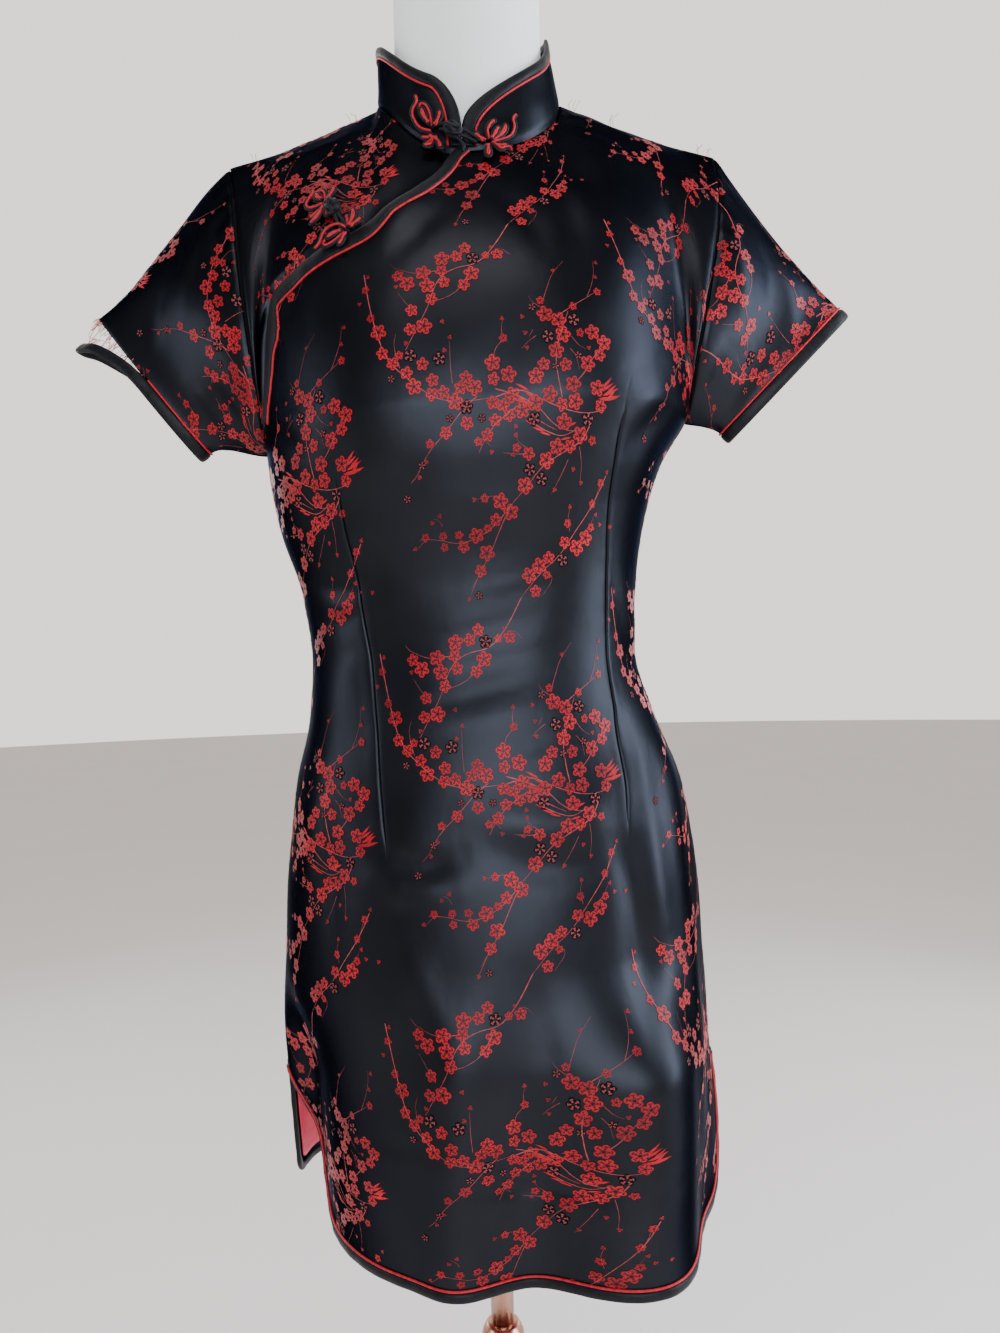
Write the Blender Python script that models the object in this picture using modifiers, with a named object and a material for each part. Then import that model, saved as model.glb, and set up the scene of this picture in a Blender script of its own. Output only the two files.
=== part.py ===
"""Sleeved mini cheongsam on a limbless dress form, as separate sewn pieces.

Frame: metres, +Z up, the dress faces -Y and the wearer's right is at -X.
The origin lies on the floor under the pole of the form.
Names with "left" and "right" mean the -X side and the +X side.
"""
import math
from collections import namedtuple
from functools import lru_cache

import bmesh
import bpy
import numpy as np

COLLECTION = "cheongsam_on_form"

# ---------------------------------------------------------------- driving sizes
WALL = 0.0015            # cloth with its backing, as one wall
GAP = 0.0003             # clearance between neighbouring pieces
ARM_GAP = 0.0012         # the same at the armholes, where the walls lean together
SHOULDER_GAP = 0.0020    # and at the shoulder seams
TRIM_WALL = 0.0022       # folded bias binding
BIND = 0.009             # width of a binding
PIPE = 0.0020            # width of the piping beside a binding
PIPE_LIFT = 0.0009       # the piping's seat above the smooth panel surface

Z_HEM = 0.594            # hem above the floor
CORNER_BACK = 0.020      # rounded hem corners at the slits
CORNER_FRONT = {-1: 0.060, 1: 0.040}
FLAT_TURN = math.radians(80)   # past this angle a corner counts as run out
WIDE_TURN = math.radians(34)   # wider steps round a corner are halved
TOP_NARROW = 0.93        # the bands narrow to this share at the top of a slit
Z_SLIT = 0.695           # top of both side slits
SLIT_END_GAP = 0.0004    # more clearance just above a slit, where the edges turn
# How far a slit's edges stand off the seam line at the hem, and the power of the
# share of the slit's height by which they open.
Opening = namedtuple("Opening", "reach power")
SLIT_OPEN_FRONT = {-1: Opening(0.034, 0.60), 1: Opening(0.023, 1.0)}
SLIT_OPEN_BACK = {-1: Opening(0.003, 1.3), 1: Opening(0.004, 1.3)}

Z_ARMPIT = {-1: 1.168, 1: 1.184}
ARM_CUT_IN = {-1: 0.018, 1: 0.002}   # how far the armhole cuts in below the tip
SHOULDER_TIP = {-1: (0.189, 0.004, 1.396), 1: (0.191, 0.004, 1.394)}
NECK_SIDE_X = 0.0715
NECK_SIDE_Y = 0.004
NECK_SIDE_Z = 1.439
NECK_FRONT_Y = -0.0564
NECK_FRONT_Z = 1.376
NECK_FRONT_POWER = {-1: 1.78, 1: 1.0}   # how the seam drops from the side to the front
NECK_BACK_Y = 0.060
NECK_BACK_Z = 1.458
NECK_SHARE = 0.40        # share of a panel's half width that ends at the neck
CLOSURE_X = -0.005       # the collar meets a little to the -X side

COLLAR_HEIGHT = 0.052
COLLAR_MEET = 0.015      # height up to which the collar fronts meet
COLLAR_ROUND = {-1: 0.025, 1: 0.070}   # length of the rounded collar fronts, as worn
COLLAR_LEAN = 0.05       # how far the collar leans in for each metre of height
COLLAR_LEAN_SIDE = 0.14  # and how much more towards the form's neck at +X
COLLAR_LOWER = 0.13      # share of its height that the collar loses at -X, where it has sagged

# Sections of the dress below the arms.  left, right, front and back are the
# reaches from the axis, side_y is where the widest points lie, and the last two
# are the exponents of the superellipses before and behind them.
Section = namedtuple("Section", "z left right front back side_y front_power back_power")
SECTIONS = [
    Section(0.594, 0.1600, 0.1750, 0.140, 0.135, 0.030, 1.85, 2.10),
    Section(0.650, 0.1625, 0.1735, 0.138, 0.133, 0.030, 1.90, 2.10),
    Section(0.720, 0.1665, 0.1690, 0.134, 0.131, 0.028, 1.95, 2.10),
    Section(0.790, 0.1620, 0.1650, 0.128, 0.131, 0.022, 2.05, 2.15),
    Section(0.860, 0.1560, 0.1595, 0.120, 0.129, 0.016, 2.10, 2.20),
    Section(0.915, 0.1480, 0.1490, 0.112, 0.117, 0.010, 2.10, 2.15),
    Section(0.965, 0.1360, 0.1285, 0.104, 0.098, 0.004, 2.10, 2.10),
    Section(1.010, 0.1325, 0.1160, 0.097, 0.085, 0.000, 2.10, 2.10),
    Section(1.055, 0.1380, 0.1185, 0.099, 0.084, 0.000, 2.15, 2.15),
    Section(1.105, 0.1520, 0.1250, 0.110, 0.088, 0.000, 2.25, 2.25),
    Section(1.145, 0.1590, 0.1370, 0.120, 0.092, 0.000, 2.35, 2.35),
    Section(1.184, 0.1615, 0.1600, 0.123, 0.094, 0.000, 2.45, 2.40),
]
SEAM_FORWARD = 0.013     # the slits lie this far before the widest points

# Large soft folds.  place is the share of the panel's half width from its middle,
# slope its change for each metre of height, low and high its ends, width its half
# width in metres and rise how far the cloth stands out.
Fold = namedtuple("Fold", "place slope low high width rise")
FRONT_FOLDS = [
    Fold(-0.14, 0.20, 0.50, 0.80, 0.022, 0.0074),
    Fold(0.09, 0.10, 0.50, 0.74, 0.035, -0.0133),
    Fold(0.37, 0.20, 0.50, 0.80, 0.048, 0.0364),
    Fold(-0.86, 0.00, 0.50, 0.78, 0.075, -0.0210),
    Fold(0.66, 0.15, 0.66, 1.00, 0.022, 0.0050),
    Fold(-0.62, 0.00, 0.86, 1.06, 0.028, 0.0035),
]
BACK_FOLDS = [
    Fold(-0.48, 0.00, 0.50, 0.78, 0.030, 0.0055),
    Fold(-0.05, 0.00, 0.50, 0.74, 0.028, -0.0045),
    Fold(0.40, 0.00, 0.50, 0.80, 0.030, 0.0060),
]
BUST_X = 0.078
BUST_Z = 1.196
BUST_SPREAD = 0.046
BUST_RISE = 0.010

# Edge of the front flap in the upper front: share of the yoke's height against
# share of the half width.
FLAP_EDGE = [(0.00, -1.000), (0.03, -0.900), (0.08, -0.805), (0.18, -0.775),
             (0.27, -0.765), (0.31, -0.720), (0.34, -0.655), (0.36, -0.570),
             (0.38, -0.475), (0.42, -0.350), (0.50, -0.253), (0.60, -0.168),
             (0.70, -0.112), (0.83, -0.062), (0.94, -0.034), (1.00, -0.012)]
FLAP_START = 0.07        # its bound part starts here, at the armpit
FLAP_WIDER = 0.45        # its band grows by this share round the bend under the frog
UNDERLAP = 0.16          # how far the underlap reaches below the flap, as a share

# Sleeve hems: top and bottom point of the flattened cuff and its half depth.
Cuff = namedtuple("Cuff", "top_x top_z bottom_x bottom_z half_depth")
CUFFS = {-1: Cuff(0.292, 1.279, 0.210, 1.172, 0.021),
         1: Cuff(0.284, 1.270, 0.190, 1.176, 0.019)}
SLEEVE_DROP = {-1: 0.90, 1: 1.55}   # slope of the sleeve top at the shoulder tip

# The torn binding on the -X sleeve hangs away from the hem over this half angle.
TORN_ANGLE = math.radians(92)
TORN_SHIFT = (-0.012, 0.0, -0.020)

# Dress form: how far its skin lies inside the cloth, down to its lower edge.
Slack = namedtuple("Slack", "z left right front back")
FORM_SLACK = [
    Slack(0.775, 0.030, 0.032, 0.036, 0.026),
    Slack(0.800, 0.016, 0.020, 0.026, 0.016),
    Slack(0.860, 0.010, 0.012, 0.018, 0.006),
    Slack(0.930, 0.014, 0.010, 0.014, 0.006),
    Slack(1.010, 0.022, 0.005, 0.010, 0.008),
    Slack(1.090, 0.022, 0.005, 0.012, 0.008),
    Slack(1.140, 0.014, 0.005, 0.0075, 0.005),
    Slack(1.184, 0.0065, 0.0050, 0.0050, 0.003),
]
FORM_INSET_BACK = 0.0022          # skin of the form below the yoke's outer side
FORM_INSET_FRONT = 0.0036
FORM_INSET_UNDERLAP = 0.0092
FORM_INSET_ARM = 0.0024
FORM_NECK_INSET = 0.0078          # inside the neck seam
FORM_DROP = 0.0050                # below the shoulder seams
ARM_PLATE_INSET = 0.0030
Z_FORM_LOW = 0.775
FORM_NECK_X = 0.0570
FORM_NECK_Y = 0.0470
FORM_NECK_MIDDLE = 0.002
# Rings of the neck column: rise (the first above the seam, the rest above the
# neck's top) and share of its width.
NECK_RINGS = [(0.020, 1.00), (-0.060, 1.00), (-0.010, 1.00), (-0.003, 0.96), (0.0, 0.86)]
Z_NECK_TOP = 1.560

POLE_RADIUS = 0.009
SOCKET_RADIUS = 0.0125
COLLET_RADIUS = 0.0165
Z_COLLET = 0.490
COLLET_HEIGHT = 0.040
BASE_RADIUS = 0.165
BASE_THICK = 0.014
HUB_RADIUS = 0.030
HUB_HEIGHT = 0.030


# ------------------------------------------------------------------ small maths
def smooth(edge0, edge1, value):
    """Smooth step from 0 to 1."""
    share = np.clip((value - edge0) / (edge1 - edge0), 0.0, 1.0)
    return share * share * (3.0 - 2.0 * share)


def through(xs, ys, x):
    """Smooth curve through the table's rows that never overshoots them."""
    xs, ys = np.asarray(xs, float), np.asarray(ys, float)
    step = np.diff(xs)
    slope = np.diff(ys) / step
    tangent = np.zeros(len(xs))
    tangent[0], tangent[-1] = slope[0], slope[-1]
    for k in range(1, len(xs) - 1):
        if slope[k - 1] * slope[k] > 0:
            before, after = step[k - 1], step[k]
            w1, w2 = 2 * after + before, after + 2 * before
            tangent[k] = (w1 + w2) / (w1 / slope[k - 1] + w2 / slope[k])
    x = float(np.clip(x, xs[0], xs[-1]))
    k = int(np.clip(np.searchsorted(xs, x) - 1, 0, len(step) - 1))
    t = (x - xs[k]) / step[k]
    return ((2 * t ** 3 - 3 * t ** 2 + 1) * ys[k] + (t ** 3 - 2 * t ** 2 + t) * step[k] * tangent[k]
            + (-2 * t ** 3 + 3 * t ** 2) * ys[k + 1] + (t ** 3 - t ** 2) * step[k] * tangent[k + 1])


def bezier(points, t):
    """Point of a cubic Bezier curve."""
    p0, p1, p2, p3 = (np.asarray(p, float) for p in points)
    s = 1.0 - t
    return s ** 3 * p0 + 3 * s * s * t * p1 + 3 * s * t * t * p2 + t ** 3 * p3


def grid_normals(grid):
    """Unit normals of a grid of points, rows by columns."""
    du = np.gradient(grid, axis=1)
    dv = np.gradient(grid, axis=0)
    normal = np.cross(du, dv)
    return normal / np.maximum(np.linalg.norm(normal, axis=2, keepdims=True), 1e-12)


# --------------------------------------------------------------- the dress body
SECTION_Z = [row.z for row in SECTIONS]


@lru_cache(maxsize=None)
def section(z):
    """The section at a height, read smoothly from the table."""
    return Section(z, *(through(SECTION_Z, [row[k] for row in SECTIONS], z) for k in range(1, 8)))


def ring_point(row, angle):
    """Point of a section; angle 0 is the front middle, negative is towards -X."""
    s, c = math.sin(angle), math.cos(angle)
    power = 2.0 / (row.front_power if c > 0 else row.back_power)
    reach_x = row.right if s > 0 else row.left
    reach_y = row.front + row.side_y if c > 0 else row.back - row.side_y
    return np.array([reach_x * math.copysign(abs(s) ** power, s),
                     row.side_y - reach_y * math.copysign(abs(c) ** power, c), row.z])


def seam_angle(row, side):
    """Angle of the side seam on a section."""
    forward = SEAM_FORWARD * smooth(1.00, 0.80, row.z)
    return side * math.acos((forward / (row.front + row.side_y)) ** (row.front_power / 2.0))


RING_STEPS = 48


@lru_cache(maxsize=None)
def half_ring(row, side, back):
    """Points from the middle of the front or back to the side seam, with their run."""
    start = side * math.pi if back else 0.0
    angles = np.linspace(start, seam_angle(row, side), RING_STEPS)
    points = np.array([ring_point(row, a) for a in angles])
    run = np.concatenate([[0.0], np.cumsum(np.linalg.norm(np.diff(points, axis=0), axis=1))])
    return points, run


def slit_open(z, side, back):
    """How far a slit's edge has moved back from the seam line."""
    opening = (SLIT_OPEN_BACK if back else SLIT_OPEN_FRONT)[side]
    share = max(0.0, (Z_SLIT - z) / (Z_SLIT - Z_HEM))
    return opening.reach * share ** opening.power


def fold_rise(folds, place, run_half, z):
    """Sum of the large folds at a place on a panel."""
    total = 0.0
    for fold in folds:
        middle = fold.place + fold.slope * (z - fold.low)
        across = (place - middle) * run_half / fold.width
        reach = smooth(fold.low - 0.05, fold.low + 0.05, z) * (1 - smooth(fold.high - 0.08, fold.high, z))
        total += fold.rise * math.exp(-across * across) * reach
    return total


def bust_rise(x, z):
    """Forward swell over the bust points of the form."""
    return sum(BUST_RISE * math.exp(-((x - side * BUST_X) ** 2 + (z - BUST_Z) ** 2)
                                    / (2 * BUST_SPREAD ** 2)) for side in (-1, 1))


def body_point(run, z, back=False):
    """Cloth surface at a signed run from the middle of the front or back."""
    side = -1 if run < 0 else 1
    row = section(z)
    points, runs = half_ring(row, side, back)
    at = min(abs(run), runs[-1])
    point = np.array([np.interp(at, runs, points[:, k]) for k in range(3)])
    depth = row.front + row.side_y
    outward = np.array([point[0] / row.right ** 2, (point[1] - row.side_y) / depth ** 2, 0.0])
    outward /= np.linalg.norm(outward)
    edge = 1.0 - smooth(0.78, 0.96, at / runs[-1]) * smooth(Z_SLIT - 0.06, Z_SLIT, z)
    rise = fold_rise(BACK_FOLDS if back else FRONT_FOLDS, side * at / runs[-1], runs[-1], z)
    point += outward * rise * edge
    if not back:
        point[1] -= bust_rise(point[0], z) * smooth(1.05, 1.10, z)
    return point


def panel_edge(z, side, back):
    """Run of a panel's side edge at a height."""
    return half_ring(section(z), side, back)[1][-1] - slit_open(z, side, back)


def hem_corner(side, back):
    return CORNER_BACK if back else CORNER_FRONT[side]


def hem_height(distance, corner, inset=0.0):
    """Height of the hem at a distance from the slit edge, with round corners."""
    radius = corner - inset
    low = Z_HEM + inset
    if distance >= radius:
        return low
    return low + radius - math.sqrt(max(0.0, radius ** 2 - (radius - distance) ** 2))


def slit_levels(foot):
    """Heights of the points of a slit's edge, from its top down to a corner."""
    inner = [foot + (level - Z_HEM) * (Z_EVEN_LOW - foot) / (Z_EVEN_LOW - Z_HEM)
             for level in SKIRT_LEVELS[1:] if level < Z_EVEN_LOW]
    return [Z_EVEN_LOW] + inner[::-1]


def corner_turns(back, side, shares):
    """Angles round a hem corner at the panel's columns, and between wide ones."""
    inset = BIND + GAP
    reach = hem_corner(side, back) - inset
    wide = panel_edge(Z_HEM + inset, side, back) - inset
    gaps = sorted((1 - abs(s)) * wide for s in shares if s * side > 0)
    turns = [math.acos(1 - gap / reach) for gap in gaps if gap < reach]
    if turns[-1] < FLAT_TURN:
        turns.append(math.pi / 2)
    full = turns[:1]
    for turn in turns[1:]:
        if turn - full[-1] > WIDE_TURN:
            full.append((turn + full[-1]) / 2)
        full.append(turn)
    return full


def hem_path(back, inset, shares):
    """Points (run, z) along one panel's slit edges and hem, from -X to +X."""
    path = []
    panel_inset = BIND + GAP
    for side in (-1, 1):
        corner = hem_corner(side, back)
        radius = corner - inset
        levels = slit_levels(Z_HEM + corner)
        insets = [inset * TOP_NARROW] + [inset] * (len(levels) - 1)
        half = [(side * (panel_edge(z, side, back) - part), z) for z, part in zip(levels, insets)]
        for turn in corner_turns(back, side, shares):
            z = Z_HEM + corner - radius * math.sin(turn)
            edge = panel_edge(z, side, back) - inset
            half.append((side * (edge - radius * (1 - math.cos(turn))), z))
        wide = panel_edge(Z_HEM + panel_inset, side, back) - panel_inset
        last = 1 - (corner - panel_inset) / wide
        inner = [abs(s) for s in shares if s * side > 0 and abs(s) < last]
        half += [(side * wide * share, Z_HEM + inset) for share in sorted(inner, reverse=True)]
        path += half + [(0.0, Z_HEM + inset)] if side < 0 else half[::-1]
    return path


# --------------------------------------------------------------------- the yoke
def armpit_z(share):
    """Height where the yoke starts, blended across the panel."""
    return Z_ARMPIT[-1] + (Z_ARMPIT[1] - Z_ARMPIT[-1]) * smooth(-1.0, 1.0, share)


def neck_point(angle):
    """Neck seam of the dress; angle 0 is the front, positive is towards +X."""
    s, c = math.sin(angle), math.cos(angle)
    if c > 0:
        y = NECK_SIDE_Y + (NECK_FRONT_Y - NECK_SIDE_Y) * c
        z = NECK_SIDE_Z + (NECK_FRONT_Z - NECK_SIDE_Z) * c ** NECK_FRONT_POWER[-1 if s < 0 else 1]
    else:
        y = NECK_SIDE_Y - (NECK_BACK_Y - NECK_SIDE_Y) * c
        z = NECK_SIDE_Z + (NECK_BACK_Z - NECK_SIDE_Z) * (-c) ** 1.5
    return np.array([NECK_SIDE_X * s + CLOSURE_X * max(c, 0.0) ** 4, y, z])


def yoke_top(share, back):
    """Upper boundary of a panel: shoulder seam, neck, shoulder seam."""
    side = -1 if share < 0 else 1
    if abs(share) < NECK_SHARE:
        angle = share / NECK_SHARE * math.pi / 2
        return neck_point(side * math.pi - angle if back else angle)
    t = (abs(share) - NECK_SHARE) / (1 - NECK_SHARE)
    tip = np.array(SHOULDER_TIP[side]) * (side, 1, 1)
    neck = neck_point(side * math.pi / 2)
    sag = np.array([0.0, 0.0, -0.003 * math.sin(math.pi * t)])
    return neck + (tip - neck) * t + sag


def yoke_point(share, v, back=False):
    """Cloth surface above the arms; v runs from the armpit level to the top."""
    side = -1 if share < 0 else 1
    forth = 1.0 if back else -1.0
    base_z = armpit_z(share)
    start = body_point(share * panel_edge(base_z, side, back), base_z, back)
    end = yoke_top(share, back)
    reach = abs(share)
    arm = smooth(0.72, 1.0, reach)
    neck = 1.0 - smooth(NECK_SHARE - 0.12, NECK_SHARE + 0.12, reach)
    inner_start = start + (0.0, forth * (0.012 if back else 0.002), 0.115)
    inner_end = end + np.array([0.0, forth * 0.050, -0.018 if back else -0.034]) * (1 - neck) \
        + np.array([0.0, forth * 0.030, -0.052 if not back else -0.030]) * neck
    arm_start = start + (side * -0.004, forth * 0.088, 0.030)
    arm_end = end + (side * -ARM_CUT_IN[side], forth * 0.062, -0.072)
    return bezier([start, inner_start + (arm_start - inner_start) * arm,
                   inner_end + (arm_end - inner_end) * arm, end], v)


def flap_edge(v):
    """Share of the half width where the flap ends, at a height of the yoke."""
    return through([row[0] for row in FLAP_EDGE], [row[1] for row in FLAP_EDGE], v)


# ------------------------------------------------------------------ collar, arms
NECK_STEPS = 144


def neck_run():
    """Angles around the neck seam and the run from the front meeting line."""
    angles = np.linspace(0.0, 2 * math.pi, NECK_STEPS)
    points = np.array([neck_point(a) for a in angles])
    run = np.concatenate([[0.0], np.cumsum(np.linalg.norm(np.diff(points, axis=0), axis=1))])
    return angles, run


NECK_ANGLES, NECK_RUNS = neck_run()
NECK_LENGTH = NECK_RUNS[-1]


def collar_point(run, height):
    """Collar surface: run goes round from the front meeting line over +X."""
    angle = np.interp(run, NECK_RUNS, NECK_ANGLES)
    point = neck_point(angle)
    lean = COLLAR_LEAN + COLLAR_LEAN_SIDE * max(0.0, math.sin(angle)) ** 2
    centre = np.array([0.0, NECK_SIDE_Y, 0.0])
    inward = centre - point
    inward[2] = 0.0
    inward /= np.linalg.norm(inward)
    height *= 1.0 - COLLAR_LOWER * max(0.0, -math.sin(angle)) ** 2
    return point + np.array([0.0, 0.0, height]) + inward * lean * height


def collar_top(run, inset=0.0):
    """Height of the collar at a run from the meeting line round over +X."""
    rise = COLLAR_HEIGHT - COLLAR_MEET
    rounded = COLLAR_ROUND[1 if run < NECK_LENGTH / 2 else -1]
    distance = min(run, NECK_LENGTH - run)
    share = min(1.0, max(0.0, (distance - inset) / (rounded - inset)))
    return COLLAR_MEET - 0.6 * inset + (rise - 0.4 * inset) * math.sqrt(1 - (1 - share) ** 2)


def armhole_point(side, angle):
    """Armhole seam; angle 0 is the shoulder tip, pi the armpit, front first."""
    back = angle > math.pi
    v = 1 - angle / math.pi if not back else angle / math.pi - 1
    return yoke_point(side * 1.0, v, back)


def cuff_frame(side):
    """Top, bottom and outward axis of a sleeve hem."""
    cuff = CUFFS[side]
    top = np.array([side * cuff.top_x, 0.0, cuff.top_z])
    bottom = np.array([side * cuff.bottom_x, 0.0, cuff.bottom_z])
    along = (bottom - top) / np.linalg.norm(bottom - top)
    axis = np.array([side * -along[2], 0.0, side * along[0]])
    return top, bottom, axis


def cuff_point(side, angle, out=0.0):
    """Sleeve hem; angle 0 is its top, front first; out moves along the axis."""
    top, bottom, axis = cuff_frame(side)
    middle, half = (top + bottom) / 2, (top - bottom) / 2
    depth = CUFFS[side].half_depth
    return middle + half * math.cos(angle) + np.array([0.0, -depth * math.sin(angle), 0.0]) + axis * out


def sleeve_point(side, angle, t):
    """Sleeve surface between the armhole and the hem."""
    start, end = armhole_point(side, angle), cuff_point(side, angle)
    axis = cuff_frame(side)[2]
    top_share = max(0.0, math.cos(angle)) ** 1.5
    leave = np.array([side * 1.0, 0.0, -0.15 - (SLEEVE_DROP[side] - 0.15) * top_share])
    leave /= np.linalg.norm(leave)
    span = np.linalg.norm(end - start)
    point = bezier([start, start + leave * span * 0.33, end - axis * span * 0.30, end], t)
    return point


# --------------------------------------------------------------- making objects
def clear_scene():
    for item in list(bpy.data.objects):
        bpy.data.objects.remove(item, do_unlink=True)
    parts = bpy.data.collections.new(COLLECTION)
    bpy.context.scene.collection.children.link(parts)
    return parts


def make_material(name, colour, roughness, metallic=0.0):
    material = bpy.data.materials.new(name)
    material.use_nodes = True
    shader = material.node_tree.nodes["Principled BSDF"]
    shader.inputs["Base Color"].default_value = (*colour, 1.0)
    shader.inputs["Roughness"].default_value = roughness
    shader.inputs["Metallic"].default_value = metallic
    return material


def add_mesh(name, points, faces, material):
    mesh = bpy.data.meshes.new(name)
    mesh.from_pydata([tuple(p) for p in points], [], faces)
    mesh.validate()
    mesh.materials.append(material)
    mesh.shade_smooth()
    item = bpy.data.objects.new(name, mesh)
    PARTS.objects.link(item)
    return item


def grid_faces(rows, cols, closed=False):
    """Quads over a grid of points, with their outer side to the viewer."""
    faces = []
    for j in range(rows - 1):
        for i in range(cols if closed else cols - 1):
            k = (i + 1) % cols
            faces.append((j * cols + i, j * cols + k, (j + 1) * cols + k, (j + 1) * cols + i))
    return faces


def cloth(name, grid, material, closed=False, thickness=WALL):
    """A grid of points given a wall towards its inner side."""
    rows, cols = grid.shape[:2]
    item = add_mesh(name, grid.reshape(-1, 3), grid_faces(rows, cols, closed), material)
    solid = item.modifiers.new("wall", "SOLIDIFY")
    solid.thickness = thickness
    solid.offset = -1.0
    return item


def moved_out(grid, distance):
    """A grid of points moved along its own normals."""
    return grid + grid_normals(grid) * distance


def strip(name, outer, inner, normals, lift, thickness, material):
    """A flat band between two lines of points, closed on all sides."""
    outer, inner, normals = np.asarray(outer), np.asarray(inner), np.asarray(normals)
    count = len(outer)
    rings = [outer + normals * lift, inner + normals * lift,
             inner + normals * (lift - thickness), outer + normals * (lift - thickness)]
    points = np.stack(rings, axis=1).reshape(-1, 3)
    faces = []
    for j in range(count - 1):
        for k in range(4):
            n = (k + 1) % 4
            faces.append((j * 4 + k, j * 4 + n, (j + 1) * 4 + n, (j + 1) * 4 + k))
    faces.append((3, 2, 1, 0))
    last = (count - 1) * 4
    faces.append((last, last + 1, last + 2, last + 3))
    item = add_mesh(name, points, faces, material)
    point_faces_out(item)
    return item


def point_faces_out(item):
    """Recalculates the normals of a closed mesh."""
    shape = bmesh.new()
    shape.from_mesh(item.data)
    bmesh.ops.recalc_face_normals(shape, faces=shape.faces)
    shape.to_mesh(item.data)
    shape.free()


# ------------------------------------------------------------------ dress pieces
PANEL_COLS = 19
CORNER_SHARE = 0.984
SKIRT_LEVELS = [0.594, 0.603, 0.622, 0.654, 0.690, 0.708, 0.755, 0.805, 0.855,
                0.905, 0.955, 1.005, 1.060, 1.115, 1.168]
Z_EVEN_LOW, Z_EVEN_HIGH = 0.690, 1.070   # the levels stay level between these
YOKE_ROWS = 13
BACK_YOKE_ROWS = 9
UNDER_COLS = 10
UNDERLAP_DEPTH = WALL + 0.0020     # the underlap sinks this far below the flap
LINING_WALL = 0.0010
Z_LINING_TOP = 0.760
STEP = 1e-4                        # for numerical slopes


def spread(count):
    """Shares from -1 to 1, closer together near the ends."""
    t = np.linspace(-1.0, 1.0, count)
    return 0.55 * t + 0.45 * np.sin(t * math.pi / 2)


def skirt_rows(back, shares, inset):
    """Grid from the hem to the armpit level, inset from the slits and the hem."""
    grid = np.zeros((len(SKIRT_LEVELS), len(shares), 3))
    for i, share in enumerate(shares):
        side = -1 if share < 0 else 1
        top = armpit_z(share)
        edge = panel_edge(Z_HEM + inset, side, back) - inset
        low = hem_height((1 - abs(share)) * edge, hem_corner(side, back), inset)
        for j, level in enumerate(SKIRT_LEVELS):
            z = level
            if level < Z_EVEN_LOW:
                z = low + (level - Z_HEM) * (Z_EVEN_LOW - low) / (Z_EVEN_LOW - Z_HEM)
            elif level > Z_EVEN_HIGH:
                share_up = (level - Z_EVEN_HIGH) / (SKIRT_LEVELS[-1] - Z_EVEN_HIGH)
                z = Z_EVEN_HIGH + share_up * (top - Z_EVEN_HIGH)
            cut = inset if z < Z_SLIT else GAP / 2 + SLIT_END_GAP * (1 - smooth(Z_SLIT, 0.755, z))
            grid[j, i] = body_point(share * (panel_edge(z, side, back) - cut), z, back)
    return grid


def yoke_slopes(share, v, back=False):
    """Surface slopes along both grid directions and the outward normal."""
    along = (yoke_point(share + STEP, v, back) - yoke_point(share - STEP, v, back)) / (2 * STEP)
    up = (yoke_point(share, v + STEP, back) - yoke_point(share, v - STEP, back)) / (2 * STEP)
    normal = np.cross(up, along) if back else np.cross(along, up)
    return along, up, normal / np.linalg.norm(normal)


def yoke_shift(share, v, offset):
    """Grid place reached by a small metric step in the surface."""
    along, up, _ = yoke_slopes(share, v)
    step = np.linalg.lstsq(np.stack([along, up], axis=1), offset, rcond=None)[0]
    return share + step[0], v + step[1]


def flap_line(inset, count):
    """Places (share, v) of a line inside the flap's edge, from the armpit to the neck."""
    fine = np.linspace(FLAP_START, 1.0, 200)
    trail = np.array([yoke_point(flap_edge(v), v) for v in fine])
    run = np.concatenate([[0.0], np.cumsum(np.linalg.norm(np.diff(trail, axis=0), axis=1))])
    line = []
    for v in np.interp(np.linspace(0.0, run[-1], count), run, fine):
        share = flap_edge(v)
        ahead, behind = min(v + 0.004, 1.0), v - 0.004
        along = yoke_point(flap_edge(ahead), ahead) - yoke_point(flap_edge(behind), behind)
        along /= np.linalg.norm(along)
        inward = np.cross(along, yoke_slopes(share, min(v, 0.99))[2])
        wider = 1 + FLAP_WIDER * smooth(0.20, 0.30, v) * (1 - smooth(0.42, 0.52, v))
        line.append(yoke_shift(share, min(v, 0.995), inward * inset * wider))
    return np.array(line)


def top_level(share, back=False):
    """Where a panel stops short of its upper seam."""
    reach = np.linalg.norm(yoke_point(share, 1.0, back) - yoke_point(share, 0.5, back)) * 2
    return 1.0 - SHOULDER_GAP / reach


def front_shares():
    """Columns of the front panel, with one more by each side for its round hem corners."""
    shares = spread(PANEL_COLS)
    return np.concatenate([shares[:1], [-CORNER_SHARE], shares[1:-1], [CORNER_SHARE], shares[-1:]])


def front_panel_grid(inset):
    shares = front_shares()
    lower = skirt_rows(False, shares, inset)
    line = flap_line(inset + GAP, YOKE_ROWS)
    upper = np.zeros((YOKE_ROWS, len(shares), 3))
    for j, right_v in enumerate(np.linspace(0.0, 1.0, YOKE_ROWS + 1)[1:]):
        left, left_v = line[j]
        for i, share in enumerate(shares):
            t = (share + 1) / 2
            place = left + (0.9985 - left) * t
            v = left_v + (right_v - left_v) * t ** 1.5
            upper[j, i] = yoke_point(place, min(v, top_level(place)))
    return np.concatenate([lower, upper])


def back_panel_grid(inset):
    shares = spread(PANEL_COLS - 2)
    lower = skirt_rows(True, shares, inset)
    upper = np.zeros((BACK_YOKE_ROWS, len(shares), 3))
    for j, v in enumerate(np.linspace(0.0, 1.0, BACK_YOKE_ROWS + 1)[1:]):
        for i, share in enumerate(shares):
            place = share * 0.9985
            upper[j, i] = yoke_point(place, min(v, top_level(place, True)), back=True)
    return np.concatenate([lower, upper])


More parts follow.
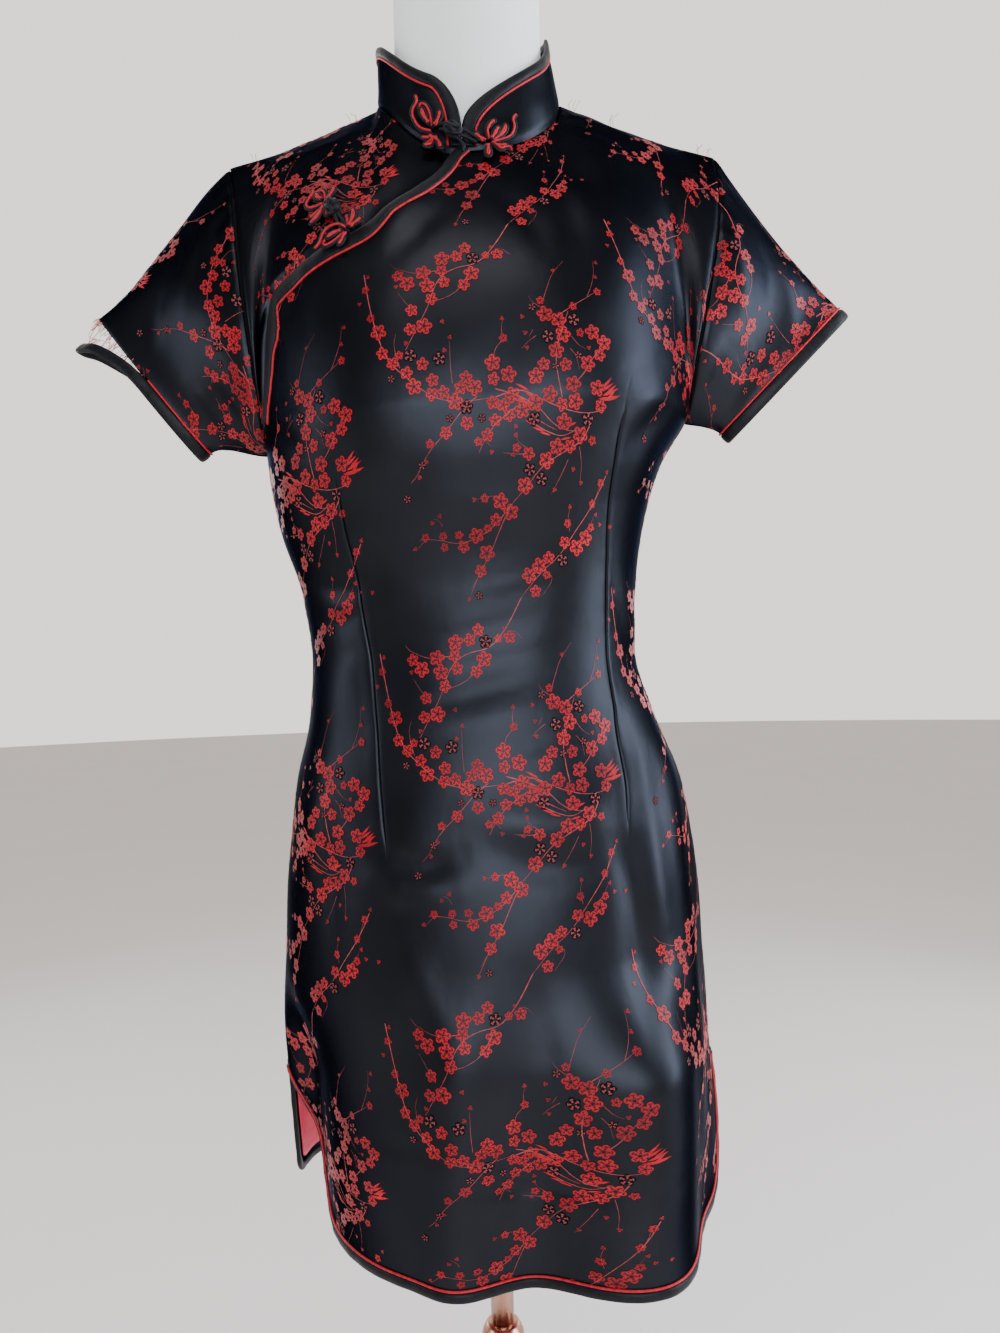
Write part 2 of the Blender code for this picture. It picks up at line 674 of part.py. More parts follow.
def under_front_grid():
    """Shoulder piece of the -X side, which runs on below the flap."""
    levels = [0.05, 0.11, 0.20, 0.28, 0.34, 0.42, 0.52, 0.64, 0.76, 0.88, 1.0]
    grid = np.zeros((len(levels), UNDER_COLS, 3))
    for j, v in enumerate(levels):
        edge = flap_edge(v)
        last = min(edge + UNDERLAP, -0.012)
        for i, t in enumerate(np.linspace(0.0, 1.0, UNDER_COLS)):
            share = -0.9985 + (last + 0.9985) * t
            depth = UNDERLAP_DEPTH * smooth(edge - 0.13, edge - 0.02, share)
            height = min(v, top_level(share))
            grid[j, i] = yoke_point(share, height) - yoke_slopes(share, min(v, 0.99))[2] * depth
    return grid


def make_lining(name, panel):
    """Lining behind a skirt panel, up to just above the slits."""
    rows = [j for j, level in enumerate(SKIRT_LEVELS) if level < Z_LINING_TOP]
    inner = moved_out(panel, -(WALL + 0.0005))[rows[0]:rows[-1] + 1, 1:-1]
    cloth(name, inner, LINING, thickness=LINING_WALL)


def skirt_strip(name, back, outer_inset, inner_inset, lift, thickness, material):
    """Band along one panel's slits and hem, with points over the panel's own."""
    shares = spread(PANEL_COLS - 2) if back else front_shares()
    outer = np.array([body_point(r, z, back) for r, z in hem_path(back, outer_inset, shares)])
    inner = np.array([body_point(r, z, back) for r, z in hem_path(back, inner_inset, shares)])
    strip(name, outer, inner, path_normals(outer, inner), lift, thickness, material)


def path_normals(outer, inner):
    """Directions square to a band, away from the axis."""
    run = np.gradient(outer, axis=0)
    normal = np.cross(run, inner - outer)
    normal /= np.linalg.norm(normal, axis=1, keepdims=True)
    middle = (outer + inner) / 2
    away = middle * (1.0, 1.0, 0.0)
    flip = np.sign(np.einsum("ij,ij->i", normal, away))
    return normal * flip[:, None]


def flap_strip(name, outer_inset, inner_inset, lift, thickness, material):
    """Band along the edge of the front flap."""
    outer_line, inner_line = flap_line(outer_inset, YOKE_ROWS), flap_line(inner_inset, YOKE_ROWS)
    outer = np.array([yoke_point(s, min(v, top_level(s))) for s, v in outer_line])
    inner = np.array([yoke_point(s, min(v, top_level(s))) for s, v in inner_line])
    normals = np.array([yoke_slopes(s, min(v, 0.99))[2] for s, v in inner_line])
    strip(name, outer, inner, normals, lift, thickness, material)


def collar_runs(inset):
    """Runs along the collar from one bound front edge to the other."""
    turns = np.linspace(0.0, math.pi / 2, 9)
    halves = []
    for side in (1, -1):
        front = GAP / 2 + inset + (COLLAR_ROUND[side] - inset) * (1 - np.cos(turns))
        back = np.linspace(front[-1], NECK_LENGTH / 2, 12)[1:]
        halves.append(np.concatenate([front, back]))
    return np.concatenate([halves[0], (NECK_LENGTH - halves[1])[-2::-1]])


def collar_edge(inset):
    """Points along the collar's free edge, from the +X front round to the -X front."""
    low = np.linspace(GAP * 2, COLLAR_MEET - 0.6 * inset, 4, endpoint=False)
    runs = collar_runs(inset)
    over = [(run, collar_top(run, GAP / 2 + inset)) for run in runs]
    path = [(runs[0], h) for h in low] + over + [(runs[-1], h) for h in low[::-1]]
    return np.array([collar_point(run, height) for run, height in path])


def make_collar():
    """Stand collar, its free edge bound and piped."""
    cut = BIND + 2 * GAP
    runs = collar_runs(cut)
    grid = np.zeros((3, len(runs), 3))
    for i, run in enumerate(runs):
        top = collar_top(run, GAP / 2 + cut)
        for j, share in enumerate(np.linspace(0.0, 1.0, 3)):
            grid[j, i] = collar_point(run, 2 * GAP + (top - 2 * GAP) * share)
    cloth("collar", grid, BROCADE)
    edge, bound = collar_edge(0.0), collar_edge(BIND)
    out = path_normals(edge, bound)
    strip("collar_binding", edge, bound, out, GAP, TRIM_WALL, SATIN)
    strip("collar_piping", collar_edge(cut), collar_edge(cut + PIPE), out, PIPE_LIFT + PIPE, PIPE, RED)


SLEEVE_COLS = 24
SLEEVE_ROWS = 6


def torn_shift(angle):
    """How far the torn binding hangs off the sleeve hem at an angle from its top."""
    off = (angle + math.pi) % (2 * math.pi) - math.pi
    share = max(0.0, 1.0 - abs(off) / TORN_ANGLE)
    return np.array(TORN_SHIFT) * smooth(0.0, 1.0, share)


def make_sleeve(side):
    """Short sleeve with its bound and piped hem."""
    name = "left" if side < 0 else "right"
    angles = np.linspace(0.0, 2 * math.pi, SLEEVE_COLS, endpoint=False)
    grid = np.zeros((SLEEVE_ROWS, SLEEVE_COLS, 3))
    for i, angle in enumerate(angles):
        first = ARM_GAP / np.linalg.norm(cuff_point(side, angle) - armhole_point(side, angle))
        for j, t in enumerate(np.linspace(0.0, 1.0, SLEEVE_ROWS)):
            grid[j, i] = sleeve_point(side, angle, first + (1.0 - first) * t)
    order = slice(None, None, 1 if side > 0 else -1)
    cloth("sleeve_" + name, grid[:, order], BROCADE, closed=True)

    band = np.zeros((2, SLEEVE_COLS, 3))
    for i, angle in enumerate(angles):
        shift = torn_shift(angle) if side < 0 else np.zeros(3)
        for j, out in enumerate((GAP, BIND)):
            band[j, i] = cuff_point(side, angle, out) + shift
    cloth("cuff_binding_" + name, moved_ring(band[:, order], GAP), SATIN, True, TRIM_WALL)

    torn = TORN_ANGLE if side < 0 else 0.03
    outer, inner, normals = [], [], []
    for angle in [torn, *angles[(angles > torn) & (angles < 2 * math.pi - torn)], 2 * math.pi - torn]:
        edge = cuff_point(side, angle)
        inside = sleeve_point(side, angle, 0.97)
        back_step = (inside - edge) / np.linalg.norm(inside - edge)
        away = edge - (cuff_point(side, 0.0) + cuff_point(side, math.pi)) / 2
        away -= back_step * np.dot(away, back_step)
        outer.append(edge + back_step * GAP)
        inner.append(edge + back_step * (GAP + PIPE))
        normals.append(away / np.linalg.norm(away))
    strip("cuff_piping_" + name, outer, inner, normals, PIPE_LIFT + GAP + PIPE, PIPE, RED)


def moved_ring(grid, distance):
    """A closed ring of points moved along its own normals."""
    wide = np.concatenate([grid[:, -1:], grid, grid[:, :1]], axis=1)
    return moved_out(wide, distance)[:, 1:-1]


# ------------------------------------------------------------------------- frogs
# Petals of a flower frog: angle from its own up direction, reach and half width
# as an angle, in degrees and metres.
Petal = namedtuple("Petal", "angle reach spread")
FLOWER = [Petal(0, 0.018, 22), Petal(-38, 0.018, 18), Petal(40, 0.018, 18), Petal(82, 0.021, 16),
          Petal(-80, 0.016, 16), Petal(142, 0.017, 15), Petal(180, 0.018, 14), Petal(-142, 0.016, 15)]
FROG_THICK = 0.0035
FROG_POINTS = 36
FROG_CORE = 0.007


def neckline_point(run, height):
    """Collar above the neck seam, chest below it."""
    if height >= 0.0:
        return collar_point(run, height)
    angle = np.interp(run % NECK_LENGTH, NECK_RUNS, NECK_ANGLES)
    angle = (angle + math.pi) % (2 * math.pi) - math.pi
    share = angle / (math.pi / 2) * NECK_SHARE
    reach = np.linalg.norm(yoke_slopes(share, 0.99)[1])
    return yoke_point(share, 1.0 + height / reach)


def flower_radius(turn):
    """Outline of a flower frog at an angle from its up direction."""
    reach = FROG_CORE
    for petal in FLOWER:
        off = abs((math.degrees(turn) - petal.angle + 180) % 360 - 180)
        reach = max(reach, petal.reach * math.cos(min(off / petal.spread, 1.0) * math.pi / 2) ** 0.5)
    return reach


def make_flower(name, place, seat, mirror=1, turn=0.0):
    """Flower of a frog, laid on the surface that place(x, y) gives."""
    layers = []
    for share in (0.0, 0.55, 1.0):
        ring = []
        for k in range(FROG_POINTS):
            angle = 2 * math.pi * k / FROG_POINTS
            reach = flower_radius(angle) * share
            ring.append((mirror * reach * math.sin(angle + turn), reach * math.cos(angle + turn)))
            if share == 0.0:
                break
        layers.append(ring)
    flat = [p for ring in layers for p in ring]
    points, faces = [], []
    for lift in (seat + FROG_THICK, seat):
        for x, y in flat:
            surface = place(x, y)
            normal = np.cross(place(x + 1e-3, y) - place(x - 1e-3, y),
                              place(x, y + 1e-3) - place(x, y - 1e-3))
            points.append(surface + normal / np.linalg.norm(normal) * lift)
    count, base = FROG_POINTS, len(flat)
    for k in range(count):
        n = (k + 1) % count
        faces += [(0, 1 + n, 1 + k), (base, base + 1 + k, base + 1 + n)]
        faces += [(1 + k, 1 + n, 1 + count + n, 1 + count + k)]
        faces += [(base + 1 + n, base + 1 + k, base + 1 + count + k, base + 1 + count + n)]
        faces += [(1 + count + k, 1 + count + n, base + 1 + count + n, base + 1 + count + k)]
    item = add_mesh(name, points, faces, SATIN)
    point_faces_out(item)


ON_CLOTH = 0.0007                       # seat of a flower on bare cloth
OVER_PIPING = PIPE_LIFT + PIPE + 2 * GAP   # and across a piped edge
ROUND_BEND = OVER_PIPING + 0.0010          # and where the piping bends under it
OVER_FLOWER = ROUND_BEND + FROG_THICK + GAP    # seat of a knot across two flowers
COLLAR_FLOWERS = {"left": (-0.0210, 0.0120, -1), "right": (0.0190, 0.0020, 1)}
PLACKET_FLOWERS = {"upper": (-0.492, 0.497, math.radians(-10), ON_CLOTH),
                   "lower": (-0.391, 0.392, math.radians(168), ROUND_BEND)}
PLACKET_FLOWER_SIZE = 0.75
KNOT = (0.0060, 0.0060, 0.0085)


def make_knot(name, centre, turn):
    bpy.ops.mesh.primitive_uv_sphere_add(segments=12, ring_count=7, radius=1.0)
    item = bpy.context.active_object
    item.name = item.data.name = name
    item.data.materials.append(SATIN)
    item.data.shade_smooth()
    item.scale = KNOT
    item.rotation_euler = (0.0, turn, 0.0)
    item.location = centre
    for held in item.users_collection:
        held.objects.unlink(item)
    PARTS.objects.link(item)
    bpy.context.view_layer.update()
    item.data.transform(item.matrix_world)
    item.matrix_world.identity()


def make_frogs():
    for name, (run, height, mirror) in COLLAR_FLOWERS.items():
        def place(x, y, run=run, height=height):
            return neckline_point((run + x) % NECK_LENGTH, height + y)
        make_flower("collar_frog_" + name, place, OVER_PIPING, mirror)
    knot = neckline_point(NECK_LENGTH - 0.006, 0.009)
    make_knot("collar_frog_knot", knot - (0.0, KNOT[1] + OVER_FLOWER, 0.0), math.radians(-50))
    for name, (share, v, turn, seat) in PLACKET_FLOWERS.items():
        along, up, _ = yoke_slopes(share, v)
        right = along / np.linalg.norm(along) * PLACKET_FLOWER_SIZE
        rise = up - right * np.dot(up, right) / PLACKET_FLOWER_SIZE ** 2
        rise *= PLACKET_FLOWER_SIZE / np.linalg.norm(rise)

        def place(x, y, s=share, v0=v, right=right, rise=rise):
            return yoke_point(*yoke_shift(s, v0, right * x + rise * y))
        make_flower("placket_frog_" + name, place, seat, 1, turn)
    share, v = -0.452, 0.457
    normal = yoke_slopes(share, v)[2]
    middle = yoke_point(share, v) + normal * (KNOT[1] + OVER_FLOWER)
    make_knot("placket_frog_knot", middle, math.radians(-35))


# -------------------------------------------------------------------- dress form
FORM_SHARES = spread(PANEL_COLS - 2) * 0.9985
FORM_HEIGHTS = [0.775, 0.782, 0.810, 0.860, 0.915, 0.965, 1.010, 1.060, 1.115, 1.150]
FORM_LEVELS = np.linspace(0.0, 1.0, BACK_YOKE_ROWS + 1)


def form_point(run_share, z, back):
    """Skin of the form below the arms: the dress section less its slack."""
    heights = [row.z for row in FORM_SLACK]
    slack = [through(heights, [row[k] for row in FORM_SLACK], z) for k in range(1, 5)]
    row = section(z)
    row = row._replace(left=row.left - slack[0], right=row.right - slack[1],
                       front=row.front - slack[2], back=row.back - slack[3])
    side = -1 if run_share < 0 else 1
    points, runs = half_ring(row, side, back)
    at = abs(run_share) * runs[-1]
    point = np.array([np.interp(at, runs, points[:, k]) for k in range(3)])
    if not back:
        point[1] -= bust_rise(point[0], z) * smooth(1.05, 1.10, z)
    return point


def form_inset(share, back):
    """Depth of the form's skin below the yoke; the underlap needs more room."""
    arm = FORM_INSET_ARM * smooth(0.60, 0.95, abs(share))
    if back:
        return FORM_INSET_BACK + arm
    under = 1 - smooth(-0.15, 0.15, share)
    return FORM_INSET_FRONT + (FORM_INSET_UNDERLAP - FORM_INSET_FRONT) * under + arm


def form_yoke(back):
    """Skin of the form under the yoke: the cloth's points moved in."""
    grid = np.zeros((len(FORM_LEVELS), len(FORM_SHARES), 3))
    for j, v in enumerate(FORM_LEVELS):
        for i, share in enumerate(FORM_SHARES):
            slope_at = float(np.clip(v, 0.02, 0.98))
            normal = yoke_slopes(share, slope_at, back)[2]
            depth = form_inset(share, back)
            if v == 1.0:
                top = yoke_top(share, back)
                flat = (top - (0.0, NECK_SIDE_Y, 0.0)) * (1.0, 1.0, 0.0)
                on_neck = 1 - smooth(NECK_SHARE, NECK_SHARE + 0.12, abs(share))
                grid[j, i] = top - flat / np.linalg.norm(flat) * FORM_NECK_INSET * on_neck
                grid[j, i, 2] -= FORM_DROP
            else:
                grid[j, i] = yoke_point(share, v, back) - normal * depth
            arm = smooth(0.80, 1.0, abs(share))
            grid[j, i, 0] -= math.copysign(ARM_PLATE_INSET * arm, share)
    return grid


def make_form():
    """Closed torso with arm plates and a neck column."""
    rows = []
    for z in FORM_HEIGHTS:
        front = [form_point(s, z, False) for s in FORM_SHARES]
        back = [form_point(s, z, True) for s in FORM_SHARES[::-1]]
        rows.append(front + [(front[-1] + back[0]) / 2] + back + [(back[-1] + front[0]) / 2])
    front_yoke, back_yoke = form_yoke(False), form_yoke(True)
    for front, back in zip(front_yoke, back_yoke[:, ::-1]):
        rows.append(list(front) + [(front[-1] + back[0]) / 2] + list(back) + [(back[-1] + front[0]) / 2])
    grid = np.array(rows)
    count, cols = grid.shape[1], len(FORM_SHARES)
    points = [tuple(p) for p in grid.reshape(-1, 3)]
    faces = grid_faces(len(rows), count, closed=True)
    inner = [i for i, s in enumerate(FORM_SHARES) if abs(s) <= NECK_SHARE]
    neck_cols = [inner[0] - 1] + inner + [inner[-1] + 1]
    loop = neck_cols + [2 * cols - i for i in neck_cols[::-1]]
    base = (len(rows) - 1) * count
    ring = [base + i for i in loop]
    for level, (rise, scale) in enumerate(NECK_RINGS):
        new = []
        for k in loop:
            x, y, z = grid[-1][k]
            turn = math.atan2(x / NECK_SIDE_X, -(y - NECK_SIDE_Y) / NECK_BACK_Y)
            height = z + rise if level == 0 else Z_NECK_TOP + rise
            new.append(len(points))
            points.append((FORM_NECK_X * scale * math.sin(turn),
                           FORM_NECK_MIDDLE - FORM_NECK_Y * scale * math.cos(turn), height))
        for k in range(len(ring)):
            n = (k + 1) % len(ring)
            faces.append((ring[k], ring[n], new[n], new[k]))
        ring = new
    points.append((0.0, FORM_NECK_MIDDLE, Z_NECK_TOP + 0.001))
    faces += [(ring[k], ring[(k + 1) % len(ring)], len(points) - 1) for k in range(len(ring))]
    points.append((0.0, 0.0, Z_FORM_LOW))
    faces += [((k + 1) % count, k, len(points) - 1) for k in range(count)]
    item = add_mesh("form_torso", points, faces, JERSEY)
    shape = bmesh.new()
    shape.from_mesh(item.data)
    bmesh.ops.remove_doubles(shape, verts=shape.verts, dist=3e-4)
    bmesh.ops.dissolve_degenerate(shape, edges=shape.edges, dist=1e-5)
    bmesh.ops.recalc_face_normals(shape, faces=shape.faces)
    shape.to_mesh(item.data)
    shape.free()


def turned(name, profile, material, steps=40):
    """Turned solid from a profile of (radius, z), top to bottom."""
    mesh = bpy.data.meshes.new(name)
    edges = [(k, k + 1) for k in range(len(profile) - 1)]
    mesh.from_pydata([(r, 0.0, z) for r, z in profile], edges, [])
    mesh.materials.append(material)
    item = bpy.data.objects.new(name, mesh)
    PARTS.objects.link(item)
    screw = item.modifiers.new("turn", "SCREW")
    screw.steps = screw.render_steps = steps
    screw.use_merge_vertices = True
    screw.merge_threshold = 1e-5
    screw.use_smooth_shade = True
    return item


def make_stand():
    low = Z_COLLET - COLLET_HEIGHT
    top = Z_FORM_LOW - GAP - 0.008
    turned("pole", [(0, top), (POLE_RADIUS, top), (POLE_RADIUS, Z_COLLET + GAP), (0, Z_COLLET + GAP)],
           COPPER, 32)
    turned("pole_flange", [(0, Z_FORM_LOW - GAP), (0.032, Z_FORM_LOW - GAP), (0.034, Z_FORM_LOW - 0.003),
                           (0.034, Z_FORM_LOW - 0.0075), (0, Z_FORM_LOW - 0.0075)], COPPER)
    turned("pole_collet", [(0, Z_COLLET), (SOCKET_RADIUS, Z_COLLET), (COLLET_RADIUS, Z_COLLET - 0.008),
                           (COLLET_RADIUS, low + 0.004), (SOCKET_RADIUS, low), (0, low)], COPPER)
    foot = BASE_THICK + HUB_HEIGHT + GAP
    turned("pole_socket", [(0, low - GAP), (SOCKET_RADIUS, low - GAP), (SOCKET_RADIUS, foot), (0, foot)],
           COPPER, 32)
    hub_foot = BASE_THICK + GAP
    turned("base_hub", [(0, foot - GAP), (0.016, foot - GAP), (HUB_RADIUS, BASE_THICK + 0.008),
                        (HUB_RADIUS, hub_foot), (0, hub_foot)], COPPER)
    turned("base_plate", [(0, BASE_THICK), (BASE_RADIUS - 0.010, BASE_THICK),
                          (BASE_RADIUS, BASE_THICK - 0.006), (BASE_RADIUS, 0.0), (0, 0.0)], COPPER, 64)


def main():
    front = front_panel_grid(BIND + GAP)
    cloth("front_panel", front, BROCADE)
    back = back_panel_grid(BIND + GAP)[:, ::-1]
    cloth("back_panel", back, BROCADE)
    cloth("under_front", under_front_grid(), BROCADE)
    make_lining("lining_front", front)
    make_lining("lining_back", back)
    seam = BIND + GAP
    for name, back_side in (("front", False), ("back", True)):
        skirt_strip("hem_binding_" + name, back_side, 0.0, BIND, GAP, TRIM_WALL, SATIN)
        skirt_strip("hem_piping_" + name, back_side, seam, seam + PIPE, PIPE_LIFT + PIPE, PIPE, RED)
    flap_strip("flap_binding", 0.0, BIND, GAP, TRIM_WALL, SATIN)
    flap_strip("flap_piping", seam, seam + PIPE, PIPE_LIFT + PIPE, PIPE, RED)
    make_collar()
    for side in (-1, 1):
        make_sleeve(side)
    make_frogs()
    make_form()
    make_stand()


if __name__ == "__main__":
    PARTS = clear_scene()
    BROCADE = make_material("brocade", (0.012, 0.013, 0.020), 0.40)
    SATIN = make_material("bias_satin", (0.010, 0.010, 0.013), 0.45)
    RED = make_material("red_piping", (0.42, 0.03, 0.04), 0.50)
    LINING = make_material("red_lining", (0.55, 0.04, 0.06), 0.45)
    JERSEY = make_material("white_jersey", (0.82, 0.83, 0.78), 0.85)
    COPPER = make_material("copper_tube", (0.45, 0.25, 0.17), 0.28, 1.0)
    main()
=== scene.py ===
"""Looks of the black plum blossom cheongsam on its limbless dress form.

The CAD solids give every place and size.  Each cloth piece is rebuilt here as a thin
shell on the same surface, with its folds, darts, bindings, pipings, frogs and woven
figures.  Metres, +Z up, the dress faces -Y; "left" is -X, the wearer's right.
"""
import math
from collections import namedtuple

import bpy
import numpy as np
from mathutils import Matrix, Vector


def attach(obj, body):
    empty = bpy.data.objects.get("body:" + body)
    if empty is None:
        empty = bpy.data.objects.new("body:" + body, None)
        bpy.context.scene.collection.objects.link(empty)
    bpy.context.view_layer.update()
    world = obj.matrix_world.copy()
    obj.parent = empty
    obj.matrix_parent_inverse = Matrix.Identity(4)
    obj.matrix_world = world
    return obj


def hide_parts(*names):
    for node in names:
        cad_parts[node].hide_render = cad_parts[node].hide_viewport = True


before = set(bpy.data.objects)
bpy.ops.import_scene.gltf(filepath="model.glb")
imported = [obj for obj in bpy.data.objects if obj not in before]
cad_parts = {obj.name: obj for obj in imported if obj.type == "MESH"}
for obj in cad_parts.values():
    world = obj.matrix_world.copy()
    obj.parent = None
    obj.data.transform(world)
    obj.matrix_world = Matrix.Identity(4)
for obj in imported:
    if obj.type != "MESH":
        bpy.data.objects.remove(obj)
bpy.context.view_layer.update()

rng = np.random.default_rng(7)

# ------------------------------------------------- the cut, as in the CAD source
GAP = 0.0003
BIND = 0.009
Z_HEM = 0.594
CORNER_BACK = 0.020
CORNER_FRONT = {-1: 0.060, 1: 0.040}
Z_SLIT = 0.695
SLIT_OPEN_FRONT = {-1: (0.034, 0.60), 1: (0.023, 1.0)}
SLIT_OPEN_BACK = {-1: (0.003, 1.3), 1: (0.004, 1.3)}
Z_ARMPIT = {-1: 1.168, 1: 1.184}
ARM_CUT_IN = {-1: 0.018, 1: 0.002}
SHOULDER_TIP = {-1: (0.189, 0.004, 1.396), 1: (0.191, 0.004, 1.394)}
NECK_SIDE = (0.0715, 0.004, 1.439)
NECK_FRONT_Y, NECK_FRONT_Z = -0.0564, 1.376
NECK_FRONT_POWER = {-1: 1.78, 1: 1.0}
NECK_BACK_Y, NECK_BACK_Z = 0.060, 1.458
NECK_SHARE = 0.40
CLOSURE_X = -0.005
COLLAR_HEIGHT = 0.052
COLLAR_MEET = 0.015
COLLAR_ROUND = {-1: 0.025, 1: 0.070}
COLLAR_LEAN = 0.05
COLLAR_LEAN_SIDE = 0.14
COLLAR_LOWER = 0.13

Section = namedtuple("Section", "z left right front back side_y front_power back_power")
SECTIONS = [
    Section(0.594, 0.1600, 0.1750, 0.140, 0.135, 0.030, 1.85, 2.10),
    Section(0.650, 0.1625, 0.1735, 0.138, 0.133, 0.030, 1.90, 2.10),
    Section(0.720, 0.1665, 0.1690, 0.134, 0.131, 0.028, 1.95, 2.10),
    Section(0.790, 0.1620, 0.1650, 0.128, 0.131, 0.022, 2.05, 2.15),
    Section(0.860, 0.1560, 0.1595, 0.120, 0.129, 0.016, 2.10, 2.20),
    Section(0.915, 0.1480, 0.1490, 0.112, 0.117, 0.010, 2.10, 2.15),
    Section(0.965, 0.1360, 0.1285, 0.104, 0.098, 0.004, 2.10, 2.10),
    Section(1.010, 0.1325, 0.1160, 0.097, 0.085, 0.000, 2.10, 2.10),
    Section(1.055, 0.1380, 0.1185, 0.099, 0.084, 0.000, 2.15, 2.15),
    Section(1.105, 0.1520, 0.1250, 0.110, 0.088, 0.000, 2.25, 2.25),
    Section(1.145, 0.1590, 0.1370, 0.120, 0.092, 0.000, 2.35, 2.35),
    Section(1.184, 0.1615, 0.1600, 0.123, 0.094, 0.000, 2.45, 2.40),
]
SEAM_FORWARD = 0.013

Fold = namedtuple("Fold", "place slope low high width rise")
FRONT_FOLDS = [
    Fold(-0.14, 0.20, 0.50, 0.80, 0.022, 0.0074),
    Fold(0.09, 0.10, 0.50, 0.74, 0.035, -0.0133),
    Fold(0.37, 0.20, 0.50, 0.80, 0.048, 0.0364),
    Fold(-0.86, 0.00, 0.50, 0.78, 0.075, -0.0210),
    Fold(0.66, 0.15, 0.66, 1.00, 0.022, 0.0050),
    Fold(-0.62, 0.00, 0.86, 1.06, 0.028, 0.0035),
]
BACK_FOLDS = [
    Fold(-0.48, 0.00, 0.50, 0.78, 0.030, 0.0055),
    Fold(-0.05, 0.00, 0.50, 0.74, 0.028, -0.0045),
    Fold(0.40, 0.00, 0.50, 0.80, 0.030, 0.0060),
]
BUST_X, BUST_Z, BUST_SPREAD, BUST_RISE = 0.078, 1.196, 0.046, 0.010
BUST_FADE = (1.05, 1.10)   # heights between which the bust's rise comes in

FLAP_EDGE = [(0.00, -1.000), (0.03, -0.900), (0.08, -0.805), (0.18, -0.775),
             (0.27, -0.765), (0.31, -0.720), (0.34, -0.655), (0.36, -0.570),
             (0.38, -0.475), (0.42, -0.350), (0.50, -0.253), (0.60, -0.168),
             (0.70, -0.112), (0.83, -0.062), (0.94, -0.034), (1.00, -0.012)]
FLAP_START = 0.07
FLAP_WIDER = 0.45
UNDERLAP = 0.16

Cuff = namedtuple("Cuff", "top_x top_z bottom_x bottom_z half_depth")
CUFFS = {-1: Cuff(0.292, 1.279, 0.210, 1.172, 0.021),
         1: Cuff(0.284, 1.270, 0.190, 1.176, 0.019)}
SLEEVE_DROP = {-1: 0.90, 1: 1.55}
TORN_ANGLE = math.radians(92)
TORN_SHIFT = (-0.012, 0.0, -0.020)


# ------------------------------------------------------------------ small maths
def smooth(edge0, edge1, value):
    share = np.clip((value - edge0) / (edge1 - edge0), 0.0, 1.0)
    return share * share * (3.0 - 2.0 * share)


def through(xs, ys, x):
    """Smooth curve through the table's rows that never overshoots them."""
    xs, ys = np.asarray(xs, float), np.asarray(ys, float)
    step = np.diff(xs)
    slope = np.diff(ys) / step
    tangent = np.zeros(len(xs))
    tangent[0], tangent[-1] = slope[0], slope[-1]
    for k in range(1, len(xs) - 1):
        if slope[k - 1] * slope[k] > 0:
            before, after = step[k - 1], step[k]
            w1, w2 = 2 * after + before, after + 2 * before
            tangent[k] = (w1 + w2) / (w1 / slope[k - 1] + w2 / slope[k])
    x = np.clip(x, xs[0], xs[-1])
    k = np.clip(np.searchsorted(xs, x) - 1, 0, len(step) - 1)
    t = (x - xs[k]) / step[k]
    return ((2 * t ** 3 - 3 * t ** 2 + 1) * ys[k] + (t ** 3 - 2 * t ** 2 + t) * step[k] * tangent[k]
            + (-2 * t ** 3 + 3 * t ** 2) * ys[k + 1] + (t ** 3 - t ** 2) * step[k] * tangent[k + 1])


def follow(table, x):
    """Smooth curve through a table of (x, y) rows."""
    return through([row[0] for row in table], [row[1] for row in table], x)


def row_at(rows, z):
    """A table's row at a height between its rows; each row starts with its height."""
    heights, *columns = zip(*rows)
    return rows[0]._make([z] + [float(through(heights, column, z)) for column in columns])


def pick(table, row, col):
    """Values of a table of rows by columns at fractional places."""
    row = np.clip(row, 0, table.shape[0] - 1.000001)
    col = np.clip(col, 0, table.shape[1] - 1.000001)
    j, i = row.astype(int), col.astype(int)
    a, b = row - j, col - i
    if table.ndim == 3:
        a, b = a[..., None], b[..., None]
    low = table[j, i] * (1 - b) + table[j, i + 1] * b
    high = table[j + 1, i] * (1 - b) + table[j + 1, i + 1] * b
    return low * (1 - a) + high * a


def unit(vectors):
    return vectors / np.maximum(np.linalg.norm(vectors, axis=-1, keepdims=True), 1e-12)


def grid_normals(grid):
    return unit(np.cross(np.gradient(grid, axis=1), np.gradient(grid, axis=0)))


def run_along(points):
    """Length along a line of points, from its start."""
    steps = np.linalg.norm(np.diff(points, axis=0), axis=-1)
    return np.concatenate([np.zeros((1, *steps.shape[1:])), np.cumsum(steps, axis=0)])


def at_runs(points, run, at):
    """Places on a line of points at some runs along it."""
    return np.stack([np.interp(at, run, points[:, k]) for k in range(points.shape[1])], axis=1)


def resampled(points, count):
    """A line of points spread evenly along itself."""
    run = run_along(points)
    return at_runs(points, run, np.linspace(0.0, run[-1], count))


def signed(angle):
    """The same angle between -pi and pi."""
    return (angle + math.pi) % (2 * math.pi) - math.pi


def rounded(points, passes=2):
    """Chaikin's corner cutting, ends kept."""
    points = np.asarray(points, float)
    for _ in range(passes):
        near = points[:-1] * 0.75 + points[1:] * 0.25
        far = points[:-1] * 0.25 + points[1:] * 0.75
        middle = np.stack([near, far], axis=1).reshape(-1, points.shape[1])
        points = np.concatenate([points[:1], middle, points[-1:]])
    return points


# ------------------------------------------------------------- the dress surface
RING_STEPS = 140
HALF_COLS = 120
TABLE_Z = np.linspace(0.580, 1.190, 154)


